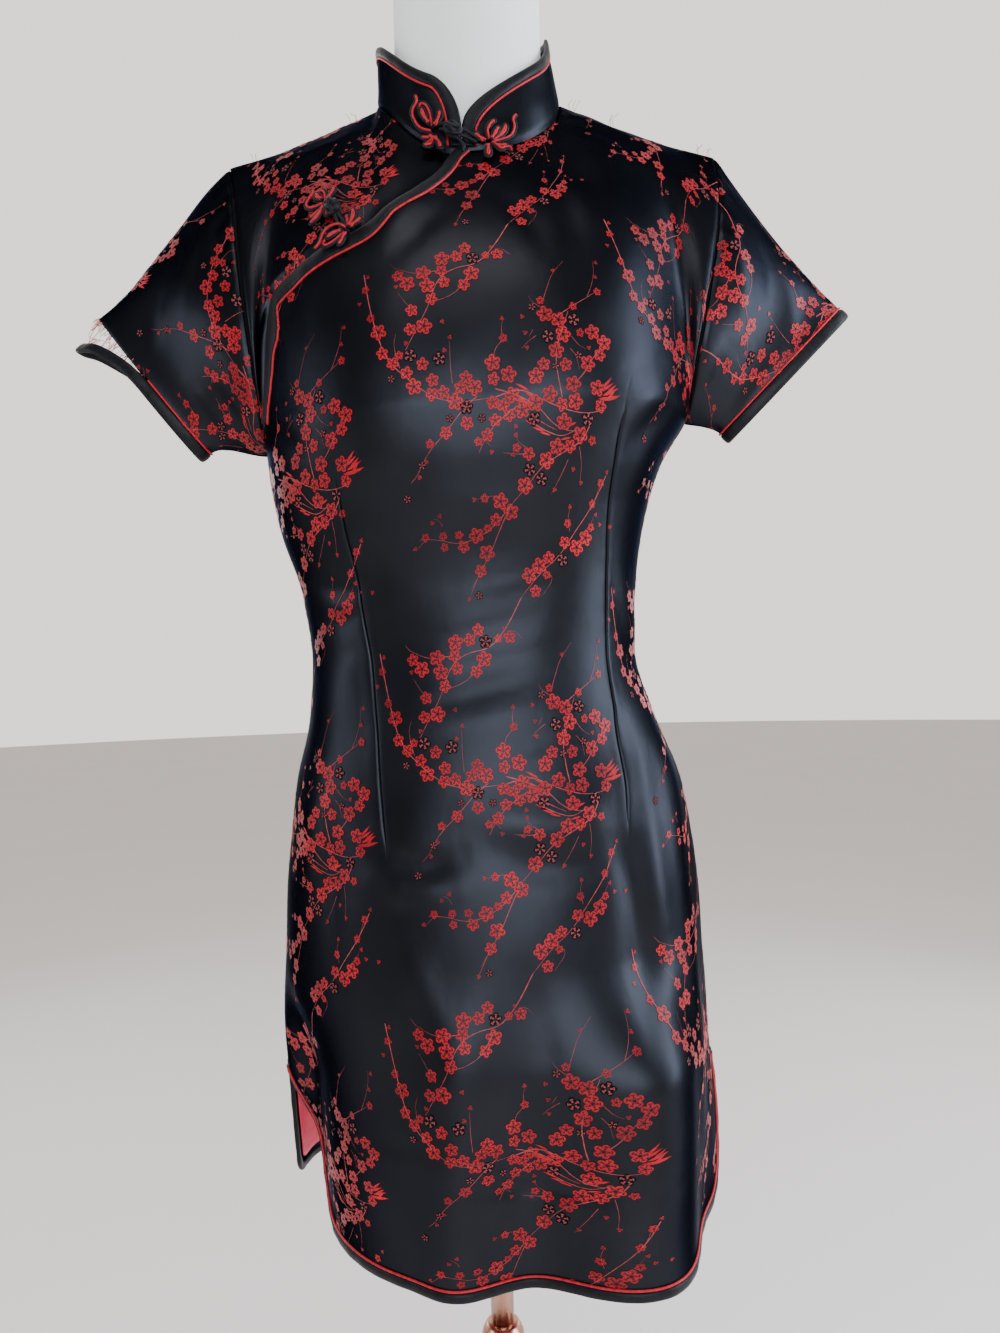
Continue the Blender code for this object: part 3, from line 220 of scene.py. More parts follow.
def half_ring(row, side, back, steps=RING_STEPS):
    """Points on a section from the middle of the front or back to the side seam, and their run."""
    forward = SEAM_FORWARD * smooth(1.00, 0.80, row.z)
    seam = side * math.acos((forward / (row.front + row.side_y)) ** (row.front_power / 2.0))
    angles = np.linspace(side * math.pi if back else 0.0, seam, steps)
    s, c = np.sin(angles), np.cos(angles)
    power = 2.0 / np.where(c > 0, row.front_power, row.back_power)
    reach_x = row.right if side > 0 else row.left
    reach_y = np.where(c > 0, row.front + row.side_y, row.back - row.side_y)
    x = reach_x * side * np.abs(s) ** power
    y = row.side_y - reach_y * np.sign(c) * np.abs(c) ** power
    points = np.stack([x, y, np.full_like(x, row.z)], axis=1)
    return points, run_along(points)


def slit_open(z, side, back):
    """How far the slit's edge stands away from the side seam's line."""
    share = np.maximum(0.0, (Z_SLIT - z) / (Z_SLIT - Z_HEM))
    reach, power = (SLIT_OPEN_BACK if back else SLIT_OPEN_FRONT)[side]
    return reach * share ** power


def fold_rise(folds, place, half, z):
    """Lift of the long folds at a share of the half width."""
    total = 0.0
    for fold in folds:
        across = (place - fold.place - fold.slope * (z - fold.low)) * half / fold.width
        reach = smooth(fold.low - 0.05, fold.low + 0.05, z) * (1 - smooth(fold.high - 0.08, fold.high, z))
        total = total + fold.rise * np.exp(-across * across) * reach
    return total


def bust_rise(x, z):
    return sum(BUST_RISE * np.exp(-((x - side * BUST_X) ** 2 + (z - BUST_Z) ** 2)
                                  / (2 * BUST_SPREAD ** 2)) for side in (-1, 1))


def body_half(z, side, back):
    """Cloth from the middle to one side seam at a level, evenly spread, and its length."""
    row = row_at(SECTIONS, z)
    ring, runs = half_ring(row, side, back)
    at = np.linspace(0.0, runs[-1], HALF_COLS + 1)
    points = at_runs(ring, runs, at)
    outward = np.stack([points[:, 0] / row.right ** 2,
                        (points[:, 1] - row.side_y) / (row.front + row.side_y) ** 2,
                        np.zeros(len(at))], axis=1)
    share = at / runs[-1]
    edge = 1.0 - smooth(0.78, 0.96, share) * smooth(Z_SLIT - 0.06, Z_SLIT, z)
    rise = fold_rise(BACK_FOLDS if back else FRONT_FOLDS, side * share, runs[-1], z)
    points += unit(outward) * (rise * edge)[:, None]
    if not back:
        points[:, 1] -= bust_rise(points[:, 0], z) * smooth(*BUST_FADE, z)
    return points, runs[-1]


def armpit_z(share):
    return Z_ARMPIT[-1] + (Z_ARMPIT[1] - Z_ARMPIT[-1]) * smooth(-1.0, 1.0, share)


def neck_point(angle):
    """Neck seam of the dress; angle 0 is the front, positive is towards +X."""
    s, c = np.sin(angle), np.cos(angle)
    ahead = np.maximum(c, 0.0)
    behind = np.maximum(-c, 0.0)
    x = NECK_SIDE[0] * s + CLOSURE_X * ahead ** 4
    y = NECK_SIDE[1] + (NECK_FRONT_Y - NECK_SIDE[1]) * ahead + (NECK_BACK_Y - NECK_SIDE[1]) * behind
    power = np.where(s < 0, NECK_FRONT_POWER[-1], NECK_FRONT_POWER[1])
    z = (NECK_SIDE[2] + (NECK_FRONT_Z - NECK_SIDE[2]) * ahead ** power
         + (NECK_BACK_Z - NECK_SIDE[2]) * behind ** 1.5)
    return np.stack([x, y, z], axis=-1)


def yoke_top(share, back):
    """Upper boundary of a panel: shoulder seam, neck, shoulder seam."""
    side = np.where(share < 0, -1, 1)
    angle = np.clip(share / NECK_SHARE, -1, 1) * math.pi / 2
    neck = neck_point(side * math.pi - angle if back else angle)
    t = np.clip((np.abs(share) - NECK_SHARE) / (1 - NECK_SHARE), 0, 1)[:, None]
    tip = np.array([np.array(SHOULDER_TIP[k]) * (k, 1, 1) for k in side])
    corner = neck_point(side * math.pi / 2)
    sag = np.array([0.0, 0.0, -0.003]) * np.sin(math.pi * t)
    return np.where(np.abs(share)[:, None] < NECK_SHARE, neck, corner + (tip - corner) * t + sag)


def eased(rows, reach):
    """Rows of points blurred along the line, their ends kept."""
    wide = np.concatenate([2 * rows[:1] - rows[reach:0:-1], rows, 2 * rows[-1:] - rows[-2:-reach - 2:-1]])
    weights = np.hanning(2 * reach + 3)[1:-1]
    weights /= weights.sum()
    return np.stack([np.convolve(wide[:, k], weights, "valid") for k in range(3)], axis=1)


def surface_normal(along, rise, back):
    """Outward normal from slopes towards +X and upwards."""
    return unit(np.cross(rise, along) if back else np.cross(along, rise))


class Skin:
    """The front or the back of the dress: its places in space and on the flat cloth."""

    def __init__(self, back):
        self.back = back
        halves = [[body_half(z, side, back) for side in (-1, 1)] for z in TABLE_Z]
        self.body_table = np.array([np.concatenate([l[0][::-1], r[0][1:]]) for l, r in halves])
        self.half = np.array([[l[1], r[1]] for l, r in halves])
        self.level_run = run_along(self.body_table[:, HALF_COLS])
        shares = np.linspace(-1, 1, 2 * HALF_COLS + 1)
        self.controls = self.yoke_controls(shares)
        self.v_levels = np.linspace(0, 1, 91)
        table = self.yoke(*np.meshgrid(shares, self.v_levels))
        across = run_along(table.transpose(1, 0, 2)).T
        self.across_table = across - across[:, HALF_COLS:HALF_COLS + 1]
        self.up_table = run_along(table) + np.interp(armpit_z(shares), TABLE_Z, self.level_run)

    def half_length(self, z, side):
        """Run from the middle to the side seam; side is an array of -1 and 1."""
        left = np.interp(z, TABLE_Z, self.half[:, 0])
        right = np.interp(z, TABLE_Z, self.half[:, 1])
        return np.where(side < 0, left, right)

    def edge_length(self, z, side):
        """The same less the opening of the slit."""
        opened = np.where(side < 0, slit_open(z, -1, self.back), slit_open(z, 1, self.back))
        return self.half_length(z, side) - opened

    def body(self, run, z):
        """Cloth below the arms at a signed run from the middle, and its flat place."""
        side = np.where(run < 0, -1, 1)
        share = run / self.half_length(z, side)
        row = (z - TABLE_Z[0]) / (TABLE_Z[1] - TABLE_Z[0])
        point = pick(self.body_table, row, (share + 1) * HALF_COLS)
        return point, np.stack([run, np.interp(z, TABLE_Z, self.level_run)], axis=-1)

    def yoke_controls(self, share):
        forth = 1.0 if self.back else -1.0
        side = np.where(share < 0, -1.0, 1.0)
        z = armpit_z(share)
        start = self.body(share * self.half_length(z, side), z)[0]
        end = yoke_top(share, self.back)
        soft_end = eased(end, 20)
        reach = np.abs(share)
        arm = smooth(0.72, 1.0, reach)[:, None]
        neck = 1.0 - smooth(NECK_SHARE - 0.12, NECK_SHARE + 0.12, reach)[:, None]
        zero, one = np.zeros_like(side), np.ones_like(side)
        cut_in = np.where(side < 0, ARM_CUT_IN[-1], ARM_CUT_IN[1])
        inner_start = start + (0.0, forth * (0.012 if self.back else 0.002), 0.115)
        inner_end = soft_end + np.array([0.0, forth * 0.050, -0.018 if self.back else -0.034]) * (1 - neck) \
            + np.array([0.0, forth * 0.030, -0.030 if self.back else -0.052]) * neck
        arm_start = start + np.stack([side * -0.004, zero + forth * 0.088, zero + 0.030], axis=1)
        arm_end = end + np.stack([side * -cut_in, zero + forth * 0.062, one * -0.072], axis=1)
        return np.stack([start, inner_start + (arm_start - inner_start) * arm,
                         inner_end + (arm_end - inner_end) * arm, end])

    def yoke(self, share, v):
        """Cloth above the arms; v runs from the armpit level to the top."""
        col = (np.asarray(share) + 1) * HALF_COLS
        zero = np.zeros_like(col)
        p = [pick(control[None].repeat(2, axis=0), zero, col) for control in self.controls]
        v = np.asarray(v)[..., None]
        s = 1.0 - v
        return s ** 3 * p[0] + 3 * s * s * v * p[1] + 3 * s * v * v * p[2] + v ** 3 * p[3]

    def yoke_flat(self, share, v):
        row, col = v * (len(self.v_levels) - 1), (share + 1) * HALF_COLS
        return np.stack([pick(self.across_table, row, col), pick(self.up_table, row, col)], axis=-1)

    def yoke_slopes(self, share, v, step=2e-3):
        """Slopes along share and v, and the outward normal."""
        low, high = np.clip(share - step, -1, 1), np.clip(share + step, -1, 1)
        along = (self.yoke(high, v) - self.yoke(low, v)) / (high - low)[..., None]
        down, up = np.clip(v - step, 0, 1), np.clip(v + step, 0, 1)
        rise = (self.yoke(share, up) - self.yoke(share, down)) / (up - down)[..., None]
        return along, rise, surface_normal(along, rise, self.back)

    def body_normal(self, run, z):
        step = 1.5e-3
        along = self.body(run + step, z)[0] - self.body(run - step, z)[0]
        rise = self.body(run, z + step)[0] - self.body(run, z - step)[0]
        return surface_normal(along, rise, self.back)

    def yoke_shift(self, share, v, offset):
        """Places (share, v) reached from others by small steps in the surface."""
        along, rise, _ = self.yoke_slopes(share, v)
        aa, bb, ab = (along ** 2).sum(-1), (rise ** 2).sum(-1), (along * rise).sum(-1)
        oa, ob = (offset * along).sum(-1), (offset * rise).sum(-1)
        det = aa * bb - ab * ab
        return share + (oa * bb - ob * ab) / det, np.clip(v + (ob * aa - oa * ab) / det, 0, 1)


front_skin, back_skin = Skin(False), Skin(True)

# ------------------------------------------------------------------ making meshes
def add_piece(name, points, quads=(), tris=(), materials=(), uvs=None, indices=None):
    """A smooth mesh from arrays; uvs maps a layer's name to one value a vertex."""
    quads = np.asarray(quads, dtype=np.int64).reshape(-1, 4)
    tris = np.asarray(tris, dtype=np.int64).reshape(-1, 3)
    corners = np.concatenate([quads.ravel(), tris.ravel()])
    sizes = np.concatenate([np.full(len(quads), 4), np.full(len(tris), 3)])
    starts = np.concatenate([[0], np.cumsum(sizes)[:-1]])
    mesh = bpy.data.meshes.new(name)
    mesh.vertices.add(len(points))
    mesh.vertices.foreach_set("co", np.asarray(points, dtype=np.float32).ravel())
    mesh.loops.add(len(corners))
    mesh.loops.foreach_set("vertex_index", corners.astype(np.int32))
    mesh.polygons.add(len(sizes))
    mesh.polygons.foreach_set("loop_start", starts.astype(np.int32))
    if indices is not None:
        mesh.polygons.foreach_set("material_index", np.asarray(indices, dtype=np.int32))
    mesh.update(calc_edges=True)
    mesh.validate()
    for layer, values in (uvs or {}).items():
        at = np.asarray(values, dtype=np.float32)[corners]
        mesh.uv_layers.new(name=layer).data.foreach_set("uv", at.ravel())
    for material in materials:
        mesh.materials.append(material)
    mesh.shade_smooth()
    item = bpy.data.objects.new(name, mesh)
    bpy.context.scene.collection.objects.link(item)
    return item


def grid_quads(rows, cols, closed=False):
    j, i = np.meshgrid(np.arange(rows - 1), np.arange(cols if closed else cols - 1), indexing="ij")
    k = (i + 1) % cols
    corners = j * cols + i, j * cols + k, (j + 1) * cols + k, (j + 1) * cols + i
    return np.stack(corners, axis=-1).reshape(-1, 4)


def tube_quads(count, sides, closed):
    """Faces between rings along a line; a closed line's last ring meets its first."""
    quads = grid_quads(count, sides, closed=True)
    if not closed:
        return quads
    first = np.arange(sides)
    last = (count - 1) * sides + first
    return np.concatenate([quads, np.stack([last, np.roll(last, -1), np.roll(first, -1), first], axis=1)])


def fan(middle, rim):
    """Triangles from one vertex to a closed rim of vertices."""
    return np.stack([np.full(len(rim), middle), rim, np.roll(rim, -1)], axis=1)


Sheet = namedtuple("Sheet", "outer normals flat")   # a grid's outer side and its flat cloth


def shell(name, sheet, wall, material, closed=False):
    """Closed thin cloth: a grid on its outer side, the same moved in, and its rims."""
    rows, cols = sheet.outer.shape[:2]
    count = rows * cols
    face = grid_quads(rows, cols, closed)
    index = np.arange(count).reshape(rows, cols)
    if closed:
        loops = [np.append(line, line[0]) for line in (index[0], index[-1, ::-1])]
    else:
        loops = [np.concatenate([index[0], index[1:, -1], index[-1, -2::-1], index[-2::-1, 0]])]
    rims = [np.stack([line[1:], line[:-1], line[:-1] + count, line[1:] + count], axis=1) for line in loops]
    quads = np.concatenate([face, face[:, ::-1] + count, *rims])
    inner = sheet.outer - sheet.normals * wall
    points = np.concatenate([sheet.outer.reshape(-1, 3), inner.reshape(-1, 3)])
    flat = np.tile(sheet.flat.reshape(-1, 2), (2, 1))
    return add_piece(name, points, quads, (), [material], {"flat": flat})


def carried_normals(points, along, closed):
    """Normals carried along a line without twist; a closed line's small misfit is spread out."""
    count = len(points)
    normals = np.zeros_like(points)
    first = np.cross(along[0], (0.31, 0.52, 0.79))
    normals[0] = first / np.linalg.norm(first)
    for k in range(1, count):
        step = normals[k - 1] - along[k] * np.dot(along[k], normals[k - 1])
        normals[k] = step / np.linalg.norm(step)
    if not closed:
        return normals
    side = np.cross(along[0], normals[0])
    end = normals[-1] - along[0] * np.dot(along[0], normals[-1])
    twist = math.atan2(np.dot(end, side), np.dot(end, normals[0]))
    turn = -twist * np.arange(count) / count
    return normals * np.cos(turn)[:, None] + np.cross(along, normals) * np.sin(turn)[:, None]


TUBE_GIRTH = 0.006   # width of a tube's cloth in its flat layer


def tube(points, radius, sides=8, closed=False, normals=None):
    """Points and quads of a tube round a line; radius may vary along it."""
    points = np.asarray(points, float)
    count = len(points)
    if closed:
        wide = np.concatenate([points[-2:], points, points[:2]])
        along = unit(np.gradient(wide, axis=0))[2:-2]
    else:
        along = unit(np.gradient(points, axis=0))
    if normals is None:
        normals = carried_normals(points, along, closed)
    across = unit(np.cross(normals, along))
    up = unit(np.cross(along, across))
    angles = np.linspace(0, 2 * math.pi, sides, endpoint=False)
    radius = np.broadcast_to(np.asarray(radius, float), (count,))[:, None, None]
    ring = (across[:, None] * np.cos(angles)[:, None] + up[:, None] * np.sin(angles)[:, None]) * radius
    rings = points[:, None] + ring
    run = run_along(points)
    flat = np.stack(np.broadcast_arrays(angles / (2 * math.pi) * TUBE_GIRTH, run[:, None]), axis=-1)
    return rings.reshape(-1, 3), tube_quads(count, sides, closed), flat.reshape(-1, 2)


class Heap:
    """Gathers small meshes into one piece; kind is a part's place in the list of materials."""

    def __init__(self):
        self.points, self.quads, self.tris, self.flat, self.kind_q, self.kind_t = [], [], [], [], [], []
        self.count = 0

    def add(self, points, quads=(), tris=(), flat=None, kind=0):
        quads = np.asarray(quads, dtype=np.int64).reshape(-1, 4)
        tris = np.asarray(tris, dtype=np.int64).reshape(-1, 3)
        self.points.append(points)
        self.flat.append(np.zeros((len(points), 2)) if flat is None else flat)
        self.quads.append(quads + self.count)
        self.tris.append(tris + self.count)
        self.kind_q.append(np.full(len(quads), kind))
        self.kind_t.append(np.full(len(tris), kind))
        self.count += len(points)

    def tube(self, points, radius, sides=8, closed=False, normals=None, kind=0):
        rings, quads, flat = tube(points, radius, sides, closed, normals)
        self.add(rings, quads, (), flat, kind)
        if not closed:
            for ring, end in ((rings[:sides][::-1], points[0]), (rings[-sides:], points[-1])):
                self.add(np.concatenate([ring, [end]]), (), fan(sides, np.arange(sides)), None, kind)

    def make(self, name, *materials):
        points, quads, tris = (np.concatenate(part) for part in (self.points, self.quads, self.tris))
        return add_piece(name, points, quads, tris, materials, {"flat": np.concatenate(self.flat)},
                         np.concatenate(self.kind_q + self.kind_t))


# Rounded cross section of a folded bias binding: share of its width, height in metres.
BAND = [(1.00, 0.0003), (0.985, 0.0011), (0.90, 0.0017), (0.60, 0.0020), (0.30, 0.0019), (0.10, 0.0014),
        (0.00, 0.0002), (0.06, -0.0010), (0.30, -0.0016), (0.70, -0.0017), (0.97, -0.0014), (1.00, -0.0006)]


def band(name, edge, inner, normals, material, closed=False):
    """Folded binding between a free edge and the line where it is stitched down."""
    across = inner - edge
    share = np.array([p[0] for p in BAND])[None, :, None]
    lift = np.array([p[1] for p in BAND])[None, :, None]
    run = run_along(edge)
    ripple = 1.0 + 0.06 * np.sin(run / 0.0043) + 0.05 * np.sin(run / 0.0027 + 1.0)
    rings = edge[:, None] + across[:, None] * share + normals[:, None] * lift * ripple[:, None, None]
    count, sides = len(edge), len(BAND)
    tris = []
    for start, order in () if closed else ((0, -1), ((count - 1) * sides, 1)):
        ring = (start + np.arange(sides))[::order]
        tris += [(ring[0], ring[k], ring[k + 1]) for k in range(1, sides - 1)]
    flat = np.stack(np.broadcast_arrays(share[..., 0] * BIND, run[:, None]), axis=-1)
    return add_piece(name, rings.reshape(-1, 3), tube_quads(count, sides, closed), tris, [material],
                     {"flat": flat.reshape(-1, 2)})


PIPE_RADIUS = 0.00085


def corded(name, line, normals, closed=False):
    """Red corded piping along a line."""
    points, quads, flat = tube(line, PIPE_RADIUS, 8, closed, normals)
    return add_piece(name, points, quads, (), [RED_SATIN], {"flat": flat})


# ---------------------------------------------------------------------- materials
# A petal in the motif layer, in radii of its blossom: its middle and half its
# length away from the blossom's centre, and half its width.
PETAL_MIDDLE, PETAL_HALF, PETAL_WIDTH = 0.56, 0.42, 0.375
class Paint:
    """A Principled material built from short calls."""

    def __init__(self, name, **settings):
        self.material = bpy.data.materials.new(name)
        self.material.use_nodes = True
        self.tree = self.material.node_tree
        self.shader = self.tree.nodes["Principled BSDF"]
        for socket, value in settings.items():
            self.shader.inputs[socket.replace("_", " ")].default_value = value

    def node(self, kind, inputs=(), **values):
        node = self.tree.nodes.new(kind)
        for key, value in values.items():
            setattr(node, key, value)
        for key, value in dict(inputs).items():
            if isinstance(value, bpy.types.NodeSocket):
                self.tree.links.new(value, node.inputs[key])
            else:
                node.inputs[key].default_value = value
        return node

    def flat(self, layer="flat"):
        return self.node("ShaderNodeUVMap", uv_map=layer).outputs[0]

    def place(self):
        return self.node("ShaderNodeTexCoord").outputs["Object"]

    def stretched(self, vector, scale):
        return self.node("ShaderNodeVectorMath", {0: vector, 1: scale}, operation="MULTIPLY").outputs[0]

    def noise(self, vector, scale, detail=2.0):
        inputs = {"Vector": vector, "Scale": scale, "Detail": detail}
        return self.node("ShaderNodeTexNoise", inputs).outputs["Fac"]

    def wave(self, vector, scale, direction="X", distortion=0.0):
        return self.node("ShaderNodeTexWave", {"Vector": vector, "Scale": scale, "Distortion": distortion},
                         bands_direction=direction).outputs["Fac"]

    def maths(self, operation, a, b=0.0):
        return self.node("ShaderNodeMath", {0: a, 1: b}, operation=operation).outputs[0]

    def weighed(self, *parts):
        """Sum of factors, each with its weight."""
        terms = [self.maths("MULTIPLY", factor, weight) for factor, weight in parts]
        total = terms[0]
        for term in terms[1:]:
            total = self.maths("ADD", total, term)
        return total

    def product(self, a, b):
        return self.maths("MULTIPLY", a, b)

    def ramp(self, factor, *stops):
        """Colour between two stops, each a position and a colour."""
        node = self.node("ShaderNodeValToRGB", {"Fac": factor})
        for element, (position, colour) in zip(node.color_ramp.elements, stops):
            element.position, element.color = position, (*colour, 1.0)
        return node.outputs[0]

    def mixed(self, factor, a, b):
        node = self.node("ShaderNodeMix", data_type="RGBA")
        for key, value in ((0, factor), (6, a), (7, b)):
            if isinstance(value, bpy.types.NodeSocket):
                self.tree.links.new(value, node.inputs[key])
            else:
                node.inputs[key].default_value = value if key == 0 else (*value, 1.0)
        return node.outputs[2]

    def span(self, value, low, high, to_low=0.0, to_high=1.0):
        return self.node("ShaderNodeMapRange", {0: value, 1: low, 2: high, 3: to_low, 4: to_high}).outputs[0]

    def bump(self, height, distance, strength=1.0, normal=None):
        inputs = {"Height": height, "Distance": distance, "Strength": strength}
        if normal is not None:
            inputs["Normal"] = normal
        return self.node("ShaderNodeBump", inputs).outputs[0]

    def wire(self, **sockets):
        for socket, value in sockets.items():
            self.tree.links.new(value, self.shader.inputs[socket.replace("_", " ")])
        return self.material


def brocade_paint():
    """Black satin ground: fine floats, a little uneven, with a blue-grey sheen."""
    paint = Paint("brocade_ground", Metallic=1.0, Specular_Tint=(0.22, 0.24, 0.30, 1.0))
    flat = paint.flat()
    cloudy = paint.noise(flat, 14.0, 3.0)
    floats = paint.noise(paint.stretched(flat, (5200.0, 700.0, 1.0)), 1.0, 1.0)
    colour = paint.ramp(cloudy, (0.25, (0.0170, 0.0180, 0.0215)), (0.75, (0.0230, 0.0240, 0.0290)))
    rough = paint.maths("ADD", paint.span(cloudy, 0.2, 0.8, 0.36, 0.42),
                        paint.span(floats, 0.3, 0.7, -0.04, 0.04))
    soft = paint.noise(paint.stretched(flat, (70.0, 45.0, 1.0)), 1.0, 2.0)
    normal = paint.bump(soft, 0.0007, 0.35)
    normal = paint.bump(floats, 0.00006, 0.35, normal)
    return paint.wire(Base_Color=colour, Roughness=rough, Normal=normal)


def float_paint(name, deep, light, mark, rough, gloss=0.18):
    """Woven figure: streaked weft floats, with stamens from the motif layer."""
    paint = Paint(name, Sheen_Weight=0.03, Sheen_Roughness=0.4, Sheen_Tint=(*light, 1.0),
                  Specular_IOR_Level=gloss)
    flat = paint.flat()
    streak = paint.noise(paint.stretched(flat, (500.0, 4200.0, 1.0)), 1.0, 1.0)
    patch = paint.noise(flat, 55.0, 2.0)
    field = paint.noise(flat, 11.0, 1.0)
    tone = paint.weighed((streak, 0.35), (patch, 0.30), (field, 0.35))
    colour = paint.ramp(tone, (0.36, deep), (0.64, light))
    split = paint.node("ShaderNodeSeparateXYZ", {0: paint.flat("motif")})
    across, reach = split.outputs[0], split.outputs[1]
    stem = paint.product(paint.span(reach, 0.22, 0.28), paint.span(reach, 0.52, 0.58, 1.0, 0.0))
    line = paint.product(paint.span(across, 0.07, 0.13, 1.0, 0.0), stem)
    head = paint.product(paint.span(reach, 0.57, 0.62), paint.span(reach, 0.72, 0.77, 1.0, 0.0))
    dot = paint.product(paint.span(across, 0.15, 0.24, 1.0, 0.0), head)
    colour = paint.mixed(paint.maths("MAXIMUM", line, dot), colour, mark)
    ahead = paint.maths("DIVIDE", paint.maths("SUBTRACT", reach, PETAL_MIDDLE), PETAL_HALF)
    aside = paint.maths("DIVIDE", across, PETAL_WIDTH)
    rim = paint.maths("ADD", paint.product(ahead, ahead), paint.product(aside, aside))
    colour = paint.mixed(paint.span(rim, 0.62, 0.92, 0.0, 0.80), colour, tuple(part * 0.16 for part in deep))
    normal = paint.bump(streak, 0.00012, 0.5)
    return paint.wire(Base_Color=colour, Normal=normal,
                      Roughness=paint.span(streak, 0.3, 0.7, rough - 0.05, rough + 0.07))


def satin_paint(name, deep, light, rough, sheen, pucker=0.0003):
    """Bias satin and corded piping: fine diagonal floats with small puckers."""
    paint = Paint(name, Sheen_Weight=0.03, Sheen_Roughness=0.4, Sheen_Tint=(*sheen, 1.0),
                  Specular_IOR_Level=0.14)
    flat = paint.flat()
    turned = paint.node("ShaderNodeVectorRotate", {0: flat, 3: math.radians(45)}).outputs[0]
    floats = paint.noise(paint.stretched(turned, (600.0, 4500.0, 1.0)), 1.0, 1.0)
    puckers = paint.noise(paint.stretched(flat, (60.0, 300.0, 1.0)), 1.0, 2.0)
    tone = paint.product(paint.maths("ADD", floats, puckers), 0.5)
    colour = paint.ramp(tone, (0.35, deep), (0.65, light))
    normal = paint.bump(puckers, pucker, 0.5)
    normal = paint.bump(floats, 0.00006, 0.4, normal)
    return paint.wire(Base_Color=colour, Normal=normal,
                      Roughness=paint.span(puckers, 0.3, 0.7, rough - 0.05, rough + 0.06))


def jersey_paint():
    """Fine off-white knit over the form: rows of small loops."""
    paint = Paint("form_jersey", Roughness=0.88, Sheen_Weight=0.25, Sheen_Roughness=0.5,
                  Sheen_Tint=(0.95, 0.95, 0.90, 1.0))
    place = paint.place()
    wales = paint.wave(place, 190.0, "X", 0.8)
    rows = paint.wave(place, 260.0, "Z", 0.6)
    knit = paint.weighed((wales, 0.6), (rows, 0.4))
    tone = paint.weighed((paint.noise(place, 9.0, 3.0), 0.8), (knit, 0.2))
    colour = paint.ramp(tone, (0.25, (0.800, 0.815, 0.775)), (0.75, (0.880, 0.895, 0.860)))
    return paint.wire(Base_Color=colour, Normal=paint.bump(knit, 0.0002, 0.35))


def copper_paint():
    """Rose-brown lacquered tube with fine draw marks and a few dull patches."""
    paint = Paint("pole_copper", Metallic=1.0)
    place = paint.place()
    drawn = paint.noise(paint.stretched(place, (900.0, 900.0, 8.0)), 1.0, 2.0)
    patch = paint.noise(place, 35.0, 3.0)
    colour = paint.ramp(patch, (0.30, (0.400, 0.215, 0.150)), (0.70, (0.520, 0.300, 0.215)))
    normal = paint.bump(drawn, 0.00008, 0.4)
    rough = paint.maths("ADD", paint.span(patch, 0.3, 0.7, 0.22, 0.36),
                        paint.span(drawn, 0.3, 0.7, -0.03, 0.03))
    return paint.wire(Base_Color=colour, Normal=normal, Roughness=rough)


def seam_shade_paint():
    """Black sewing thread and cloth edges down in the seams, painted near-black and matte as the shade in
    their grooves and gaps.
    """
    paint = Paint("seam_shade_thread", Roughness=0.85, Specular_IOR_Level=0.08)
    fuzz = paint.noise(paint.flat(), 900.0, 1.0)
    colour = paint.ramp(fuzz, (0.3, (0.0012, 0.0012, 0.0016)), (0.7, (0.0040, 0.0040, 0.0050)))
    return paint.wire(Base_Color=colour)


# Woven figures: deep and light colour, stamens, roughness, gloss.
GROUND = brocade_paint()
FLOAT_RED = float_paint("brocade_red", (0.150, 0.002, 0.006), (0.560, 0.010, 0.020),
                        (0.012, 0.006, 0.008), 0.42)
FLOAT_DARK = float_paint("brocade_shadow", (0.0016, 0.0018, 0.0018), (0.0045, 0.0050, 0.0050),
                         (0.240, 0.050, 0.055), 0.70, 0.06)
FLOAT_STEM = float_paint("brocade_stem", (0.180, 0.020, 0.024), (0.420, 0.070, 0.072),
                         (0.05, 0.01, 0.01), 0.50)
# Satins: deep and light colour, roughness, sheen, height of the puckers.
CORD_SATIN = satin_paint("cord_satin", (0.0040, 0.0040, 0.0050), (0.0120, 0.0120, 0.0150), 0.40,
                         (0.40, 0.42, 0.50), 0.0002)
# Painted shade: near-black matte thread and cloth edges for the dark lines and gaps of the seams and darts.
SEAM_SHADE = seam_shade_paint()
BLACK_SATIN = satin_paint("bias_satin", (0.0035, 0.0035, 0.0045), (0.0080, 0.0080, 0.0105), 0.44,
                          (0.50, 0.55, 0.70))
RED_SATIN = satin_paint("piping_satin", (0.280, 0.008, 0.016), (0.500, 0.026, 0.038), 0.42,
                        (0.90, 0.45, 0.42), 0.0002)
DARK_RED = satin_paint("frog_fill", (0.110, 0.004, 0.008), (0.260, 0.012, 0.020), 0.50,
                       (0.70, 0.20, 0.20), 0.0002)
LINING = satin_paint("lining_taffeta", (0.560, 0.030, 0.070), (0.740, 0.060, 0.120), 0.40,
                     (0.95, 0.50, 0.60), 0.0005)
THREAD_PINK = satin_paint("loose_thread", (0.560, 0.090, 0.090), (0.760, 0.220, 0.200), 0.70,
                          (0.95, 0.60, 0.55), 0.0001)
JERSEY = jersey_paint()
COPPER = copper_paint()
